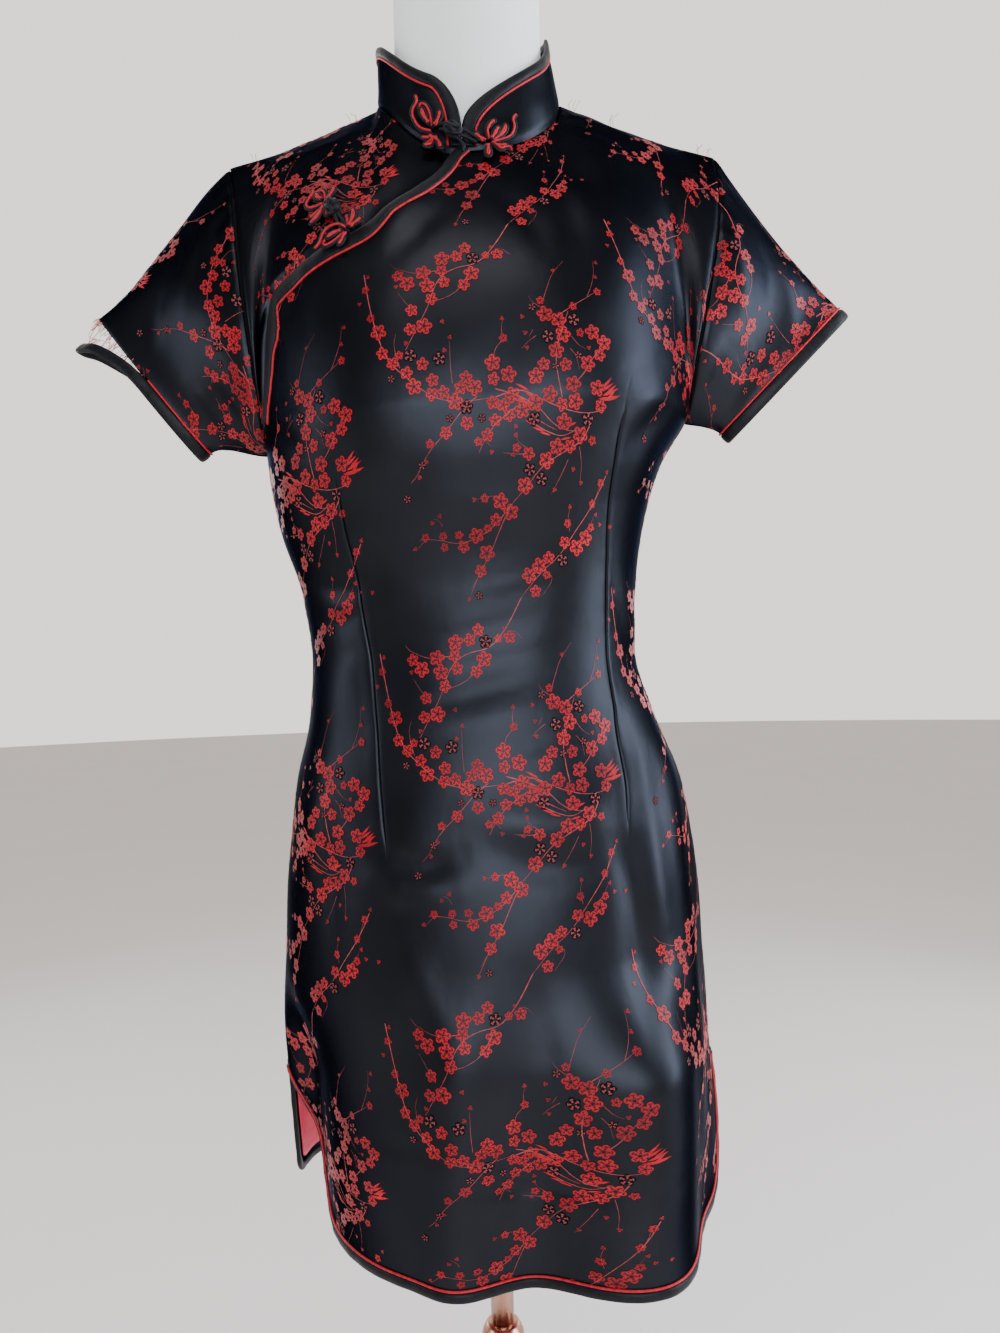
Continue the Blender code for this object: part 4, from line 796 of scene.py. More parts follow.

# -------------------------------------------------------- the woven plum blossom
# One repeat, charted in millimetres from the tip of its leaf cluster.
REPEAT = (0.175, 0.241)
COLUMN_DROP = 0.040
LARGE = [(-16, -2), (-31, -10), (-33, 0), (-23, -12), (-39, -22), (-48, -6), (-67, -15), (-73, -6), (-75, 6),
         (-57, 5), (-50, 44), (-41, 40), (-38, 31), (-43, 21), (-85, 14), (-28, -29), (-44, -37), (-51, -45),
         (-66, -60), (-83, -69), (-76, -76), (-22, -92), (-57, -110), (-57, -119), (-93, -102), (-92, -110),
         (-99, -90), (-116, -157), (-129, -167), (-126, -176), (-97, -168), (-129, -203), (-10, 27),
         (-22, 13), (-61, -3), (-28, -18), (-45, -14), (-58, -11), (-32, 9), (-36, 47), (-46, 34), (-18, 33),
         (-92, 12), (-97, -1), (-111, -9), (-137, 1), (-160, 36), (-124, -162), (-133, -172), (-121, -171),
         (-110, -161), (-94, -175), (-128, -197), (-140, -174), (-52, -112), (-64, -116), (-29, -98),
         (-90, -74), (-72, -66), (-46, -41), (-31, -33), (-88, -106)]
MEDIUM = [(-13, -12), (-10, -18), (-40, -12), (-51, -14), (-75, -18), (-85, -21), (-90, -29), (-92, -6),
          (-86, -10), (-50, 3), (-39, 5), (-37, 12), (-85, 4), (-103, 5), (-118, -3), (-126, -4), (-125, 4),
          (-133, 6), (-131, 14), (-142, 9), (-151, 15), (-13, 19), (-27, -35), (-35, -36), (-39, -42),
          (-63, -41), (-86, -81), (-77, -84), (-34, -92), (-34, -99), (-50, -105), (-63, -123), (-106, -156),
          (-117, -166), (-115, -174), (-90, -169), (-102, -176), (-79, -155), (-124, -185), (-125, -192),
          (-137, -192), (-134, -198), (-139, -167), (-103, -22), (-117, -27), (-108, -97), (-157, 22),
          (-162, 31), (-19, -7), (-35, -17), (-44, -22), (-63, -10), (-69, -1), (-80, 0), (-79, -12),
          (-52, 12), (-45, 27), (-15, 24), (-27, 9), (-34, 24), (-107, -1), (-122, -9), (-147, 4), (-154, 10),
          (-163, 40), (-112, -22), (-121, -31), (-58, -46), (-57, -38), (-70, -58), (-80, -66), (-79, -79),
          (-91, -80), (-103, -93), (-113, -92), (-38, -95), (-45, -101), (-60, -126), (-97, -113),
          (-113, -151), (-100, -150), (-131, -189), (-119, -190), (-138, -205), (-146, -168)]
SMALL = [(-78, 29), (-27, 32), (-52, 53), (-111, 1), (-146, 20), (-19, -32), (-71, -37), (-28, -92),
         (-17, -70), (-10, -57), (-17, -85), (-36, -83), (-52, -116), (-93, -67), (-92, -86), (-111, -90),
         (-121, -97), (-122, -90), (-134, -91), (-101, -117), (-128, -34), (-4, 29), (-30, 49), (-165, 46),
         (-169, 66), (-87, -156), (-96, -33), (-12, 61)]
DARK = [(-59, -20), (-22, -20), (-48, 29), (-53, 18), (-31, 40), (-62, -50), (-55, -56), (-106, -87),
        (-113, -99), (-32, -87), (-40, -106), (-56, -128), (-95, -157), (-89, -159), (-136, -178), (-120, 17),
        (-93, 5), (-103, -12), (-139, 20), (-100, -106)]
DARK_SMALL = [(-44, 11), (-29, 18), (-58, 49), (-15, 61), (-79, -150), (-139, -201), (-93, -19), (-114, -19),
              (-134, -46), (-145, -66), (-99, -128), (-36, -18), (-152, 6)]
BUDS = [(-64, 41, 120), (-71, -26, 100), (-72, -31, 60), (-78, 40, 90), (-43, 73, 50), (-12, 70, 80),
        (-10, 81, 80), (-140, -97, 200), (-99, -69, 130), (-128, -83, 120), (-124, -79, 70), (-6, -51, 60),
        (-14, -78, 60), (-34, -74, 100), (-105, -129, 250), (-72, -41, 190), (-32, -48, 260), (-45, -61, 240),
        (-26, -56, 260), (-87, -38, 250), (-130, -43, 240), (-135, -52, 240), (-168, 74, 90), (-172, 56, 150),
        (-113, 29, 75), (-116, 21, 110), (-146, -176, 160), (-141, -212, 250), (-118, -199, 300),
        (-62, 31, 140),
        (-61, 22, 160), (-22, 22, 40), (-25, 9, 60), (-84, -150, 20), (-1, -84, 20), (-11, -83, 10)]
TWIGS = [  # points, then the width at the thick end
    ([(-171, 78), (-167, 58), (-162, 38), (-155, 18), (-140, 4), (-122, -8), (-104, -9), (-84, -7)], 1.3),
    ([(-84, -7), (-68, -2), (-54, -9), (-38, -15), (-24, -17), (-10, -14)], 1.5),
    ([(-84, -2), (-70, -6), (-56, -13), (-46, -24), (-34, -28), (-24, -25)], 1.3),
    ([(-58, -24), (-50, -28), (-40, -31), (-30, -26)], 1.1),
    ([(-61, -18), (-53, -23), (-44, -27)], 0.9),
    ([(-40, -8), (-43, 6), (-44, 20), (-38, 36), (-34, 46)], 1.2),
    ([(-42, 42), (-32, 49), (-20, 56), (-11, 62)], 0.8), ([(-20, 56), (-15, 66), (-12, 76), (-12, 84)], 0.5),
    ([(-50, 54), (-47, 62), (-43, 72), (-34, 82)], 0.5), ([(-52, 48), (-58, 52), (-60, 56)], 0.5),
    ([(-56, 30), (-62, 26), (-66, 22)], 0.5), ([(-58, 34), (-61, 29)], 0.4),
    ([(-30, 2), (-24, 8), (-16, 20), (-8, 30)], 0.9), ([(-34, 22), (-30, 18), (-28, 9)], 0.5),
    ([(-33, 30), (-28, 24), (-23, 22)], 0.5), ([(-78, 29), (-79, 36), (-77, 42)], 0.5),
    ([(-79, 27), (-84, 22), (-85, 12)], 0.6),
    ([(-96, -6), (-106, -14), (-118, -28), (-129, -38), (-137, -52), (-142, -57)], 0.8),
    ([(-72, -14), (-84, -22), (-92, -32), (-96, -40)], 0.9), ([(-92, -32), (-88, -36)], 0.4),
    ([(-20, -22), (-26, -33), (-40, -40), (-54, -48), (-64, -60), (-76, -72)], 1.1),
    ([(-76, -72), (-86, -84), (-98, -92), (-112, -96), (-126, -92), (-138, -92)], 0.9),
    ([(-76, -72), (-84, -88), (-90, -102), (-98, -114), (-106, -131)], 0.9),
    ([(-100, -118), (-104, -124)], 0.4),
    ([(-64, -41), (-72, -41), (-80, -40)], 0.7), ([(-63, -38), (-70, -34), (-72, -28)], 0.4),
    ([(-28, -36), (-26, -46), (-27, -58)], 0.5), ([(-36, -44), (-40, -52), (-48, -65)], 0.5),
    ([(-84, -66), (-92, -66), (-98, -68)], 0.4), ([(-122, -84), (-124, -80), (-128, -79)], 0.4),
    ([(-6, -52), (-12, -64), (-20, -76), (-30, -88), (-42, -104), (-56, -114), (-70, -130)], 1.0),
    ([(-18, -74), (-14, -68), (-10, -54)], 0.5), ([(-26, -90), (-18, -84), (-15, -78)], 0.5),
    ([(-34, -88), (-36, -80), (-34, -73)], 0.5), ([(-52, -114), (-46, -118), (-56, -130)], 0.4),
    ([(-70, -130), (-80, -148), (-92, -162), (-108, -164), (-120, -172), (-126, -190), (-134, -204),
      (-142, -218)], 1.1),
    ([(-96, -164), (-104, -178), (-112, -184), (-126, -188)], 0.7),
    ([(-120, -166), (-134, -168), (-148, -162)], 0.7),
    ([(-148, -162), (-152, -158)], 0.4), ([(-80, -152), (-76, -150), (-70, -156)], 0.5),
    ([(-134, -196), (-142, -186), (-146, -180)], 0.5), ([(-134, -92), (-140, -98)], 0.4),
    ([(-112, 2), (-113, 14), (-113, 28)], 0.5), ([(-146, 12), (-150, 26), (-148, 34)], 0.5),
]
LEAVES = [  # foot x, y, length, direction in degrees
    (-14, -4, 12, 30), (-12, -6, 13, 22), (-11, -8, 13, 12), (-13, -2, 11, 42), (-10, -9, 10, 40),
    (-15, -8, 14, 4), (-9, -4, 9, 34), (-64, -10, 11, 158), (-60, -12, 12, 165), (-57, -9, 9, 150),
    (-56, -25, 10, 155), (-52, -28, 9, 160), (-48, -30, 8, 165), (-46, -2, 9, 200), (-30, -22, 10, 200),
    (-62, -4, 10, 150), (-24, -24, 8, 215), (-34, -31, 8, 190),
]
PETAL_STEPS = 8
BUD_WIDTH = 0.24       # half width of a bud's petals, in their length
PLAIN = (0.20, 0.56)   # motif place without stamens or rim
CLOSEST = 0.80         # least distance of two blossoms, in the sum of their radii
TWIG_WIDTH = 0.60      # drawn width of a twig, in its charted width
LEAF = [(0, 0), (0.25, -0.07), (0.6, -0.075), (1, 0.03), (0.6, 0.075), (0.25, 0.07)]
# Blossoms of one repeat: chart, radius in millimetres, kind, corners of a petal.
BLOSSOMS = [(LARGE, 5.7, 0, PETAL_STEPS), (MEDIUM, 4.5, 0, PETAL_STEPS), (SMALL, 3.1, 0, 6),
            (DARK, 4.8, 1, PETAL_STEPS), (DARK_SMALL, 3.0, 1, 6)]


class Figure:
    """Flat polygons of one repeat: points, triangles, kind, motif place, owner."""

    def __init__(self):
        self.points, self.tris, self.kind, self.motif, self.owner = [], [], [], [], []
        self.count = self.owners = 0

    def add(self, points, tris, kind, motif=None):
        points = np.asarray(points, float)
        self.points.append(points)
        self.tris.append(np.asarray(tris) + self.count)
        self.kind.append(np.full(len(tris), kind))
        self.motif.append(np.tile(PLAIN, (len(points), 1)) if motif is None else np.asarray(motif))
        self.owner.append(np.full(len(points), self.owners))
        self.count += len(points)

    def fan(self, middle, rim, kind, motif=None):
        self.add(np.concatenate([[middle], rim]), fan(0, 1 + np.arange(len(rim))), kind, motif)

    def petal(self, centre, direction, reach, kind, steps=PETAL_STEPS, width=PETAL_WIDTH):
        """One petal of a blossom of a given radius."""
        turn = np.linspace(0, 2 * math.pi, steps, endpoint=False)
        swell = 1.0 + 0.16 * np.cos(turn)
        ahead, aside = PETAL_MIDDLE + PETAL_HALF * np.cos(turn), width * np.sin(turn) * swell
        out = np.array([math.cos(direction), math.sin(direction)])
        side = np.array([-out[1], out[0]])
        rim = centre + (ahead[:, None] * out + aside[:, None] * side) * reach
        motif = np.concatenate([[(0.0, PETAL_MIDDLE)], np.stack([np.abs(aside), ahead], axis=1)])
        self.fan(centre + out * PETAL_MIDDLE * reach, rim, kind, motif)

    def blossom(self, x, y, reach, kind, steps=PETAL_STEPS):
        turn = rng.uniform(0, 2 * math.pi)
        centre = np.array([x, y], float) + rng.uniform(-0.4, 0.4, 2)
        for k in range(5):
            self.petal(centre, turn + k * 2 * math.pi / 5, reach * rng.uniform(0.94, 1.04), kind, steps)
        self.owners += 1

    def bud(self, x, y, degrees, kind):
        centre, turn = np.array([x, y], float), math.radians(degrees)
        for off, reach in ((-0.7, 2.1), (0.7, 2.1), (0.0, 3.2)):
            self.petal(centre, turn + off, reach, kind, 6, BUD_WIDTH)
        self.owners += 1

    def twig(self, points, width, kind):
        line = resampled(rounded(points), max(4, int(run_along(np.asarray(points, float))[-1] / 2.2)))
        knots = 1.0 + 0.25 * np.sin(np.arange(len(line)) * 2.1 + points[0][0])
        half = np.linspace(width, width * 0.35, len(line)) * 0.5 * knots
        along = unit(np.gradient(line, axis=0))
        side = np.stack([-along[:, 1], along[:, 0]], axis=1) * half[:, None]
        n = len(line)
        k = np.arange(n - 1)
        tris = np.concatenate([np.stack([k, k + n, k + 1], axis=1),
                               np.stack([k + n, k + n + 1, k + 1], axis=1)])
        self.add(np.concatenate([line + side, line - side]), tris, kind)
        self.owners += 1

    def leaf(self, x, y, length, degrees, kind):
        out = np.array([math.cos(math.radians(degrees)), math.sin(math.radians(degrees))])
        side = np.array([-out[1], out[0]])
        foot = np.array([x, y], float)
        rim = np.array([foot + out * length * a + side * length * b for a, b in LEAF])
        self.fan(foot + out * length * 0.45, rim, kind)
        self.owners += 1

    def arrays(self):
        return (np.concatenate(self.points) / 1000, np.concatenate(self.tris), np.concatenate(self.kind),
                np.concatenate(self.motif), np.concatenate(self.owner))


def make_repeat():
    """All motifs of one repeat; a blossom too close to those before it is left out."""
    figure = Figure()
    for points, width in TWIGS:
        figure.twig(points, width * TWIG_WIDTH, 2)
    for leaf in LEAVES:
        figure.leaf(*leaf, 0)
    placed = []
    for chart, reach, kind, steps in BLOSSOMS:
        for x, y in chart:
            if all(math.hypot(x - a, y - b) > CLOSEST * (reach + other) for a, b, other in placed):
                placed.append((x, y, reach))
                figure.blossom(x, y, reach, kind, steps)
    for x, y, degrees in BUDS:
        figure.bud(x, y, degrees, 0)
    return figure.arrays()


FIGURE = make_repeat()


def places_on(flat, target, start):
    """Rows and columns of a grid whose flat place is the target; and how far off they end."""
    rows, cols = flat.shape[:2]
    by_row, by_col = np.gradient(flat, axis=0), np.gradient(flat, axis=1)
    row, col = start
    for _ in range(9):
        miss = target - pick(flat, row, col)
        a, b = pick(by_row, row, col), pick(by_col, row, col)
        det = a[:, 0] * b[:, 1] - a[:, 1] * b[:, 0]
        det = np.where(np.abs(det) < 1e-14, 1e-14, det)
        row = np.clip(row + np.clip((miss[:, 0] * b[:, 1] - miss[:, 1] * b[:, 0]) / det, -9, 9), 0, rows - 1)
        col = np.clip(col + np.clip((a[:, 0] * miss[:, 1] - a[:, 1] * miss[:, 0]) / det, -9, 9), 0, cols - 1)
    return row, col, np.linalg.norm(target - pick(flat, row, col), axis=1)


def nearest(flat, target, stride=5):
    """Rough rows and columns nearest to a few targets."""
    rows, cols = (np.arange(0, size, stride) for size in flat.shape[:2])
    j, i = np.meshgrid(rows, cols, indexing="ij")
    known = flat[j, i].reshape(-1, 2)
    far = ((target[:, None] - known[None]) ** 2).sum(-1)
    best = far.argmin(axis=1)
    return j.ravel()[best].astype(float), i.ravel()[best].astype(float), np.sqrt(far.min(axis=1))


LIFT = 0.00028     # the figure's height over the cloth
FIT = 0.0005       # how well a point must find its place on the cloth
REACH = 0.030      # a motif farther than this from the cloth is left out
MARGIN = 0.012     # motifs centred this far off the cloth may still touch it


def woven_cloth(flat, origin, lean, warp):
    """Flat cloth seen from a figure's origin, its height warped and the figure leant."""
    cos, sin = math.cos(lean), math.sin(lean)
    cloth = flat - np.asarray(origin)
    if warp is not None:
        tall = np.interp(cloth[..., 1], [row[0] for row in warp], [row[1] for row in warp])
        cloth = np.stack([cloth[..., 0], tall], axis=-1)
    return np.stack([cloth[..., 0] * cos + cloth[..., 1] * sin,
                     cloth[..., 1] * cos - cloth[..., 0] * sin], axis=-1)


def repeats_over(low, high):
    """Offsets of the repeats that can touch a stretch of cloth; each column drops a little."""
    for a in range(math.floor(low[0] / REPEAT[0]) - 1, math.ceil(high[0] / REPEAT[0]) + 2):
        drop = a * COLUMN_DROP
        first, last = math.floor((low[1] - drop) / REPEAT[1]) - 1, math.ceil((high[1] - drop) / REPEAT[1]) + 2
        for b in range(first, last):
            yield np.array([a * REPEAT[0], drop + b * REPEAT[1]])


def weave(name, sheet, origin, lean=0.0, warp=None):
    """Lays the repeat over a sheet from an origin on its flat cloth.

    warp stretches the height along the cloth; lean turns the figure."""
    points, tris, kind, motif, owner = FIGURE
    cloth = woven_cloth(sheet.flat, origin, lean, warp)
    low, high = cloth.reshape(-1, 2).min(axis=0), cloth.reshape(-1, 2).max(axis=0)
    owners = owner.max() + 1
    share = np.bincount(owner, minlength=owners)
    middle = np.stack([np.bincount(owner, points[:, k], owners) / share for k in (0, 1)], axis=1)
    gathered = []
    count = 0
    for offset in repeats_over(low, high):
        centres = middle + offset
        inside = np.all((centres > low - MARGIN) & (centres < high + MARGIN), axis=1)
        if not inside.any():
            continue
        row, col, far = nearest(cloth, centres)
        keep_point = (inside & (far < REACH))[owner]
        if not keep_point.any():
            continue
        keep_tri = keep_point[tris].all(axis=1)
        start = row[owner[keep_point]], col[owner[keep_point]]
        r, c, miss = places_on(cloth, points[keep_point] + offset, start)
        faces = (np.cumsum(keep_point) - 1)[tris[keep_tri]]
        ok = (miss < FIT)[faces].any(axis=1)
        where = pick(sheet.outer, r, c) + unit(pick(sheet.normals, r, c)) * LIFT
        gathered.append((where, faces[ok] + count, kind[keep_tri][ok], motif[keep_point],
                         pick(sheet.flat, r, c)))
        count += len(where)
    where, faces, kinds, motifs, flats = (np.concatenate(part) for part in zip(*gathered))
    used = np.unique(faces)
    renumber = np.zeros(len(where), int)
    renumber[used] = np.arange(len(used))
    return add_piece(name, where[used], (), renumber[faces], [FLOAT_RED, FLOAT_DARK, FLOAT_STEM],
                     {"flat": flats[used], "motif": motifs[used]}, kinds)


# -------------------------------------------------------- creases of the worn cloth
# Rows in millimetres: width, rise and the points (x, z) that the crease runs
# through, seen from the front.
FRONT_CREASES = [
    # drags from the left dart to the side seam, and across the waist
    (5.5, -1, (-118, 1064), (-104, 1058), (-90, 1056)),
    (6, 0.9, (-122, 1052), (-106, 1046), (-90, 1047)),
    (5, -0.9, (-116, 1036), (-100, 1034), (-86, 1038)),
    (5.5, -0.8, (-120, 1014), (-104, 1010), (-88, 1014)),
    (5, 0.4, (-80, 998), (-30, 1004), (30, 1016), (75, 1030)),
    (4.5, -0.4, (-70, 1018), (-20, 1022), (40, 1036)),
    (4, -0.4, (-60, 972), (0, 980), (55, 996)),
    (6, 0.4, (-70, 958), (-20, 962), (60, 978)),
    (3.5, 0.4, (-10, 1052), (30, 1058), (70, 1070)),
    (3.5, -0.4, (20, 940), (50, 948), (80, 964)),
    (8, -1.2, (96, 1050), (106, 1024), (112, 998)),
    (7.5, 1.4, (100, 1078), (108, 1040), (118, 1004), (120, 970)),
    (6.5, -1, (112, 1066), (120, 1030), (124, 990)),
    # slack below the darts and on the hips
    (8.5, -2.4, (-72, 876), (-56, 868), (-34, 868), (-18, 874)),
    (11, 1.8, (-78, 856), (-50, 850), (-20, 854)),
    (14, 2.4, (-10, 906), (30, 892), (66, 894), (94, 912)),
    (12, -2, (4, 876), (40, 862), (80, 868), (108, 890)),
    (9, 1.8, (104, 966), (110, 920), (116, 870), (120, 820)),
    (12, 2.6, (110, 880), (118, 830), (124, 780), (126, 740)),
    (10, -2.2, (86, 900), (98, 850), (104, 800), (106, 750)),
    (8, -1.6, (142, 900), (146, 850), (146, 800)),
    (9, 1.6, (-118, 930), (-128, 880), (-130, 830)),
    (8, -1.4, (-104, 900), (-110, 850), (-108, 800)),
    (12, 1.6, (-60, 820), (-40, 780), (-30, 740)),
    (11, -1.4, (20, 800), (34, 760), (36, 720)),
    # across the lower skirt, where it was folded away
    (4.5, -1.1, (-30, 664), (10, 658), (60, 657), (120, 662)),
    (5.5, 0.9, (-20, 672), (40, 667), (100, 668)),
    (6, -0.8, (-100, 690), (-70, 684), (-40, 686)),
    # chest, neck and armpits
    (11, 1.6, (-30, 1334), (-46, 1312), (-64, 1290)),
    (10, -1.4, (-18, 1322), (-36, 1296), (-54, 1276)),
    (8, -1.2, (20, 1330), (40, 1306), (50, 1280)),
    (12, 1.6, (60, 1352), (80, 1320), (90, 1280)),
    (7, 1.4, (140, 1196), (120, 1180), (104, 1166)),
    (6, -1.2, (138, 1180), (122, 1166), (108, 1152)),
    (7, 1.1, (132, 1164), (120, 1148), (110, 1130)),
    (6, -1, (140, 1214), (122, 1204), (104, 1196)),
    (7, 1.2, (-148, 1190), (-130, 1176), (-112, 1168)),
    (6, -1.1, (-146, 1172), (-130, 1158), (-116, 1148)),
    (6, -1, (-100, 1136), (-90, 1142), (-78, 1150)),
    (11, 1.2, (-60, 1120), (-10, 1108), (50, 1112)),
    (12, -1, (-40, 1090), (10, 1080), (60, 1090)),
    (7, 1.5, (150, 1300), (152, 1264), (148, 1230)),
    (7.5, 1.4, (-142, 1286), (-138, 1250), (-132, 1222)),
    (7, -1, (-128, 1300), (-126, 1262), (-120, 1236)),
    # below the right shoulder seam
    (6, 1.6, (66, 1424), (100, 1413), (136, 1399)),
    (6, -0.9, (72, 1410), (104, 1400), (130, 1388)),
    (7, 0.9, (-80, 1408), (-112, 1396), (-142, 1382)),
]
BACK_CREASES = [
    (9, 1.4, (-110, 1040), (-60, 1020), (0, 1014), (50, 1022)),
    (8, -1.5, (-90, 1020), (-40, 1002), (20, 998)),
    (8.5, 1.2, (110, 1046), (70, 1030), (20, 1028)),
    (7, -1.2, (104, 1004), (70, 992), (30, 990)),
    (10, 1.5, (-100, 974), (-60, 962), (-10, 966)),
    (12, -1.4, (90, 950), (50, 940), (0, 946)),
    (13, 2.2, (60, 900), (66, 840), (62, 770)),
    (11, -1.8, (34, 860), (36, 790), (30, 730)),
    (12, 1.9, (-74, 880), (-80, 800), (-76, 740)),
    (10, -1.6, (-104, 860), (-110, 800), (-108, 750)),
    (11, 1.5, (-20, 830), (-14, 770), (-18, 720)),
    (11, 1.7, (116, 880), (124, 820), (124, 760)),
    (5, -1, (-90, 668), (-40, 662), (20, 664), (80, 670)),
    (10, 1.4, (-130, 1180), (-90, 1200), (-50, 1230)),
    (9, -1.2, (-130, 1204), (-96, 1226), (-64, 1256)),
    (10, 1.4, (132, 1190), (94, 1212), (56, 1240)),
    (9, -1.2, (128, 1216), (100, 1236), (70, 1262)),
    (8, 1.2, (-148, 1300), (-144, 1262), (-138, 1230)),
    (8, 1.2, (148, 1308), (146, 1270), (140, 1236)),
    (11, 1, (-50, 1400), (0, 1392), (50, 1402)),
    (10, -0.9, (-60, 1372), (0, 1364), (56, 1374)),
    (10, -1.2, (-30, 1130), (0, 1100), (4, 1060)),
]


def crease_rise(creases, points):
    """How far creases lift the cloth at points."""
    x, z = points[..., 0], points[..., 2]
    total = np.zeros(x.shape)
    for width, rise, *path in creases:
        line = rounded(np.array(path, float) / 1000)
        run = run_along(line)
        best = np.full(x.shape, 1e9)
        place = np.zeros(x.shape)
        for k in range(len(line) - 1):
            step = line[k + 1] - line[k]
            size = step @ step
            t = np.clip(((x - line[k][0]) * step[0] + (z - line[k][1]) * step[1]) / size, 0, 1)
            far = (x - line[k][0] - t * step[0]) ** 2 + (z - line[k][1] - t * step[1]) ** 2
            nearer = far < best
            best = np.where(nearer, far, best)
            place = np.where(nearer, (run[k] + t * math.sqrt(size)) / run[-1], place)
        taper = 0.35 + 0.65 * smooth(0.0, 0.35, place) * (1 - smooth(0.62, 1.0, place))
        total += rise / 1000 * taper * np.exp(-best / (width / 1000) ** 2)
    return total


def relief(points, back=False):
    """Lift of the body cloth: its creases and a faint unevenness."""
    x, z = points[..., 0], points[..., 2]
    uneven = np.sin(x * 61 + z * 23 + 1.3) * np.sin(z * 47 - x * 18) + 0.7 * np.sin(x * 97 - z * 71 + 0.4)
    return crease_rise(BACK_CREASES if back else FRONT_CREASES, points) + 0.00028 * uneven


# --------------------------------------------------------------- body of the dress
CLOTH = 0.0012
BODY_COLS = 168
EDGE_FINE = (0.0006, 0.0014)
DART_FINE = (0.0005, 0.0013)
PANEL_INSET = 0.0040
SLIT_FADE = (Z_SLIT - 0.006, Z_SLIT + 0.001)
HEM_EASE, ARM_EASE = 0.690, 1.070   # between these heights a panel's rows are level
DARTS = {-1: [(0.590, -0.330), (0.860, -0.312), (0.900, -0.339), (0.950, -0.384), (1.000, -0.432),
              (1.045, -0.462), (1.090, -0.458), (1.130, -0.450), (1.185, -0.450)],
         1: [(0.590, 0.440), (0.860, 0.466), (0.900, 0.478), (0.945, 0.506), (0.975, 0.543),
             (1.010, 0.575), (1.040, 0.566), (1.072, 0.545), (1.100, 0.518), (1.140, 0.488), (1.185, 0.455)]}
DART_REACH = {-1: (0.868, 0.895, 1.112, 1.140), 1: (0.880, 0.905, 1.150, 1.178)}


def panel_columns(darts):
    """Shares of the half width and fine offsets for a panel's columns."""
    rows = [(c, 0.0) for c in np.linspace(-1, 1, BODY_COLS + 1)]
    rows += [(-1.0, o) for o in EDGE_FINE] + [(1.0, -o) for o in EDGE_FINE]
    if darts:
        rows += [(side * 0.5, s * o) for side in (-1, 1) for s in (-1, 1) for o in DART_FINE]
    rows.sort()
    return np.array(rows).T


def dart_share(c, z):
    """Moves the columns at half of each side onto the darts."""
    left, right = follow(DARTS[-1], z), follow(DARTS[1], z)
    outer_l = -1 + (c + 1) * 2 * (left + 1)
    inner = left + (c + 0.5) * (right - left)
    outer_r = right + (c - 0.5) * 2 * (1 - right)
    return np.where(c < -0.5, outer_l, np.where(c > 0.5, outer_r, inner))


def dart_groove(c, offset, z):
    """Depth of the stitched darts, with a little slack beside them."""
    depth = 0.0
    for side in (-1, 1):
        low, low_in, high_in, high = DART_REACH[side]
        reach = smooth(low, low_in, z) * (1 - smooth(high_in, high, z))
        on = np.abs(c - side * 0.5) < 1e-6
        depth = depth - 0.0011 * on * reach * (1 - smooth(0.0, 0.0014, np.abs(offset)))
        ripple = 0.6 + 0.4 * np.sin(z * 410 + side)
        depth = depth + 0.0003 * reach * ripple * np.exp(-((np.abs(c - side * 0.5) - 0.022) / 0.016) ** 2)
    return depth


def hem_corner(side, back):
    """Radius of a panel's rounded hem corner."""
    return CORNER_BACK if back else np.where(np.asarray(side) < 0, CORNER_FRONT[-1], CORNER_FRONT[1])


def hem_height(distance, corner, inset=0.0):
    """Height of the hem's edge at a distance from the slit's edge."""
    radius = corner - inset
    inside = np.maximum(0.0, radius ** 2 - np.maximum(0.0, radius - distance) ** 2)
    return Z_HEM + inset + radius - np.sqrt(inside)


def seam_dip(outer, normals, left, right, top, left_rows, right_rows, depth=0.0010, width=0.0016):
    """Rolls a grid's seamed edges inwards, with small uneven puckers."""
    across, up = run_along(outer.transpose(1, 0, 2)).T, run_along(outer)
    dip = np.zeros(across.shape)
    pucker = 1 + 0.35 * np.sin(up / 0.0041) + 0.25 * np.sin(up / 0.0067 + 1.0)
    for wanted, rows, far in ((left, left_rows, across), (right, right_rows, across[:, -1:] - across)):
        if wanted:
            dip += np.exp(-(far / width) ** 2) * rows[:, None]
            dip += 0.22 * (pucker - 1) * np.exp(-((far - 0.006) / 0.0055) ** 2) * rows[:, None]
    if top:
        far = up[-1:] - up
        dip += np.exp(-(far / width) ** 2)
        dip += 0.18 * np.sin(across / 0.0052) * np.exp(-((far - 0.006) / 0.0050) ** 2)
    return outer - normals * (dip * depth)[..., None]


def body_grid(skin, levels, darts):
    """Base places of a panel from the hem to the armpit level, and its flat cloth."""
    c, offset = panel_columns(darts)
    side = np.where(c < 0, -1, 1)
    top = armpit_z(c)
    edge = skin.edge_length(np.full_like(c, Z_HEM + PANEL_INSET), side) - PANEL_INSET
    low = hem_height((1 - np.abs(c)) * edge, hem_corner(side, skin.back), PANEL_INSET)
    level = levels[:, None]
    z = np.where(level < HEM_EASE, low + (level - Z_HEM) * (HEM_EASE - low) / (HEM_EASE - Z_HEM), level)
    eased_up = ARM_EASE + (level - ARM_EASE) * (top - ARM_EASE) / (levels[-1] - ARM_EASE)
    z = np.where(level > ARM_EASE, eased_up, z)
    wide_c = np.broadcast_to(c, z.shape)
    share = dart_share(wide_c, z) if darts else wide_c
    cut = GAP / 2 + PANEL_INSET * (1 - smooth(*SLIT_FADE, z))
    run = share * (skin.edge_length(z, np.broadcast_to(side, z.shape)) - cut) + offset
    point, flat = skin.body(run, z)
    return point, flat, z


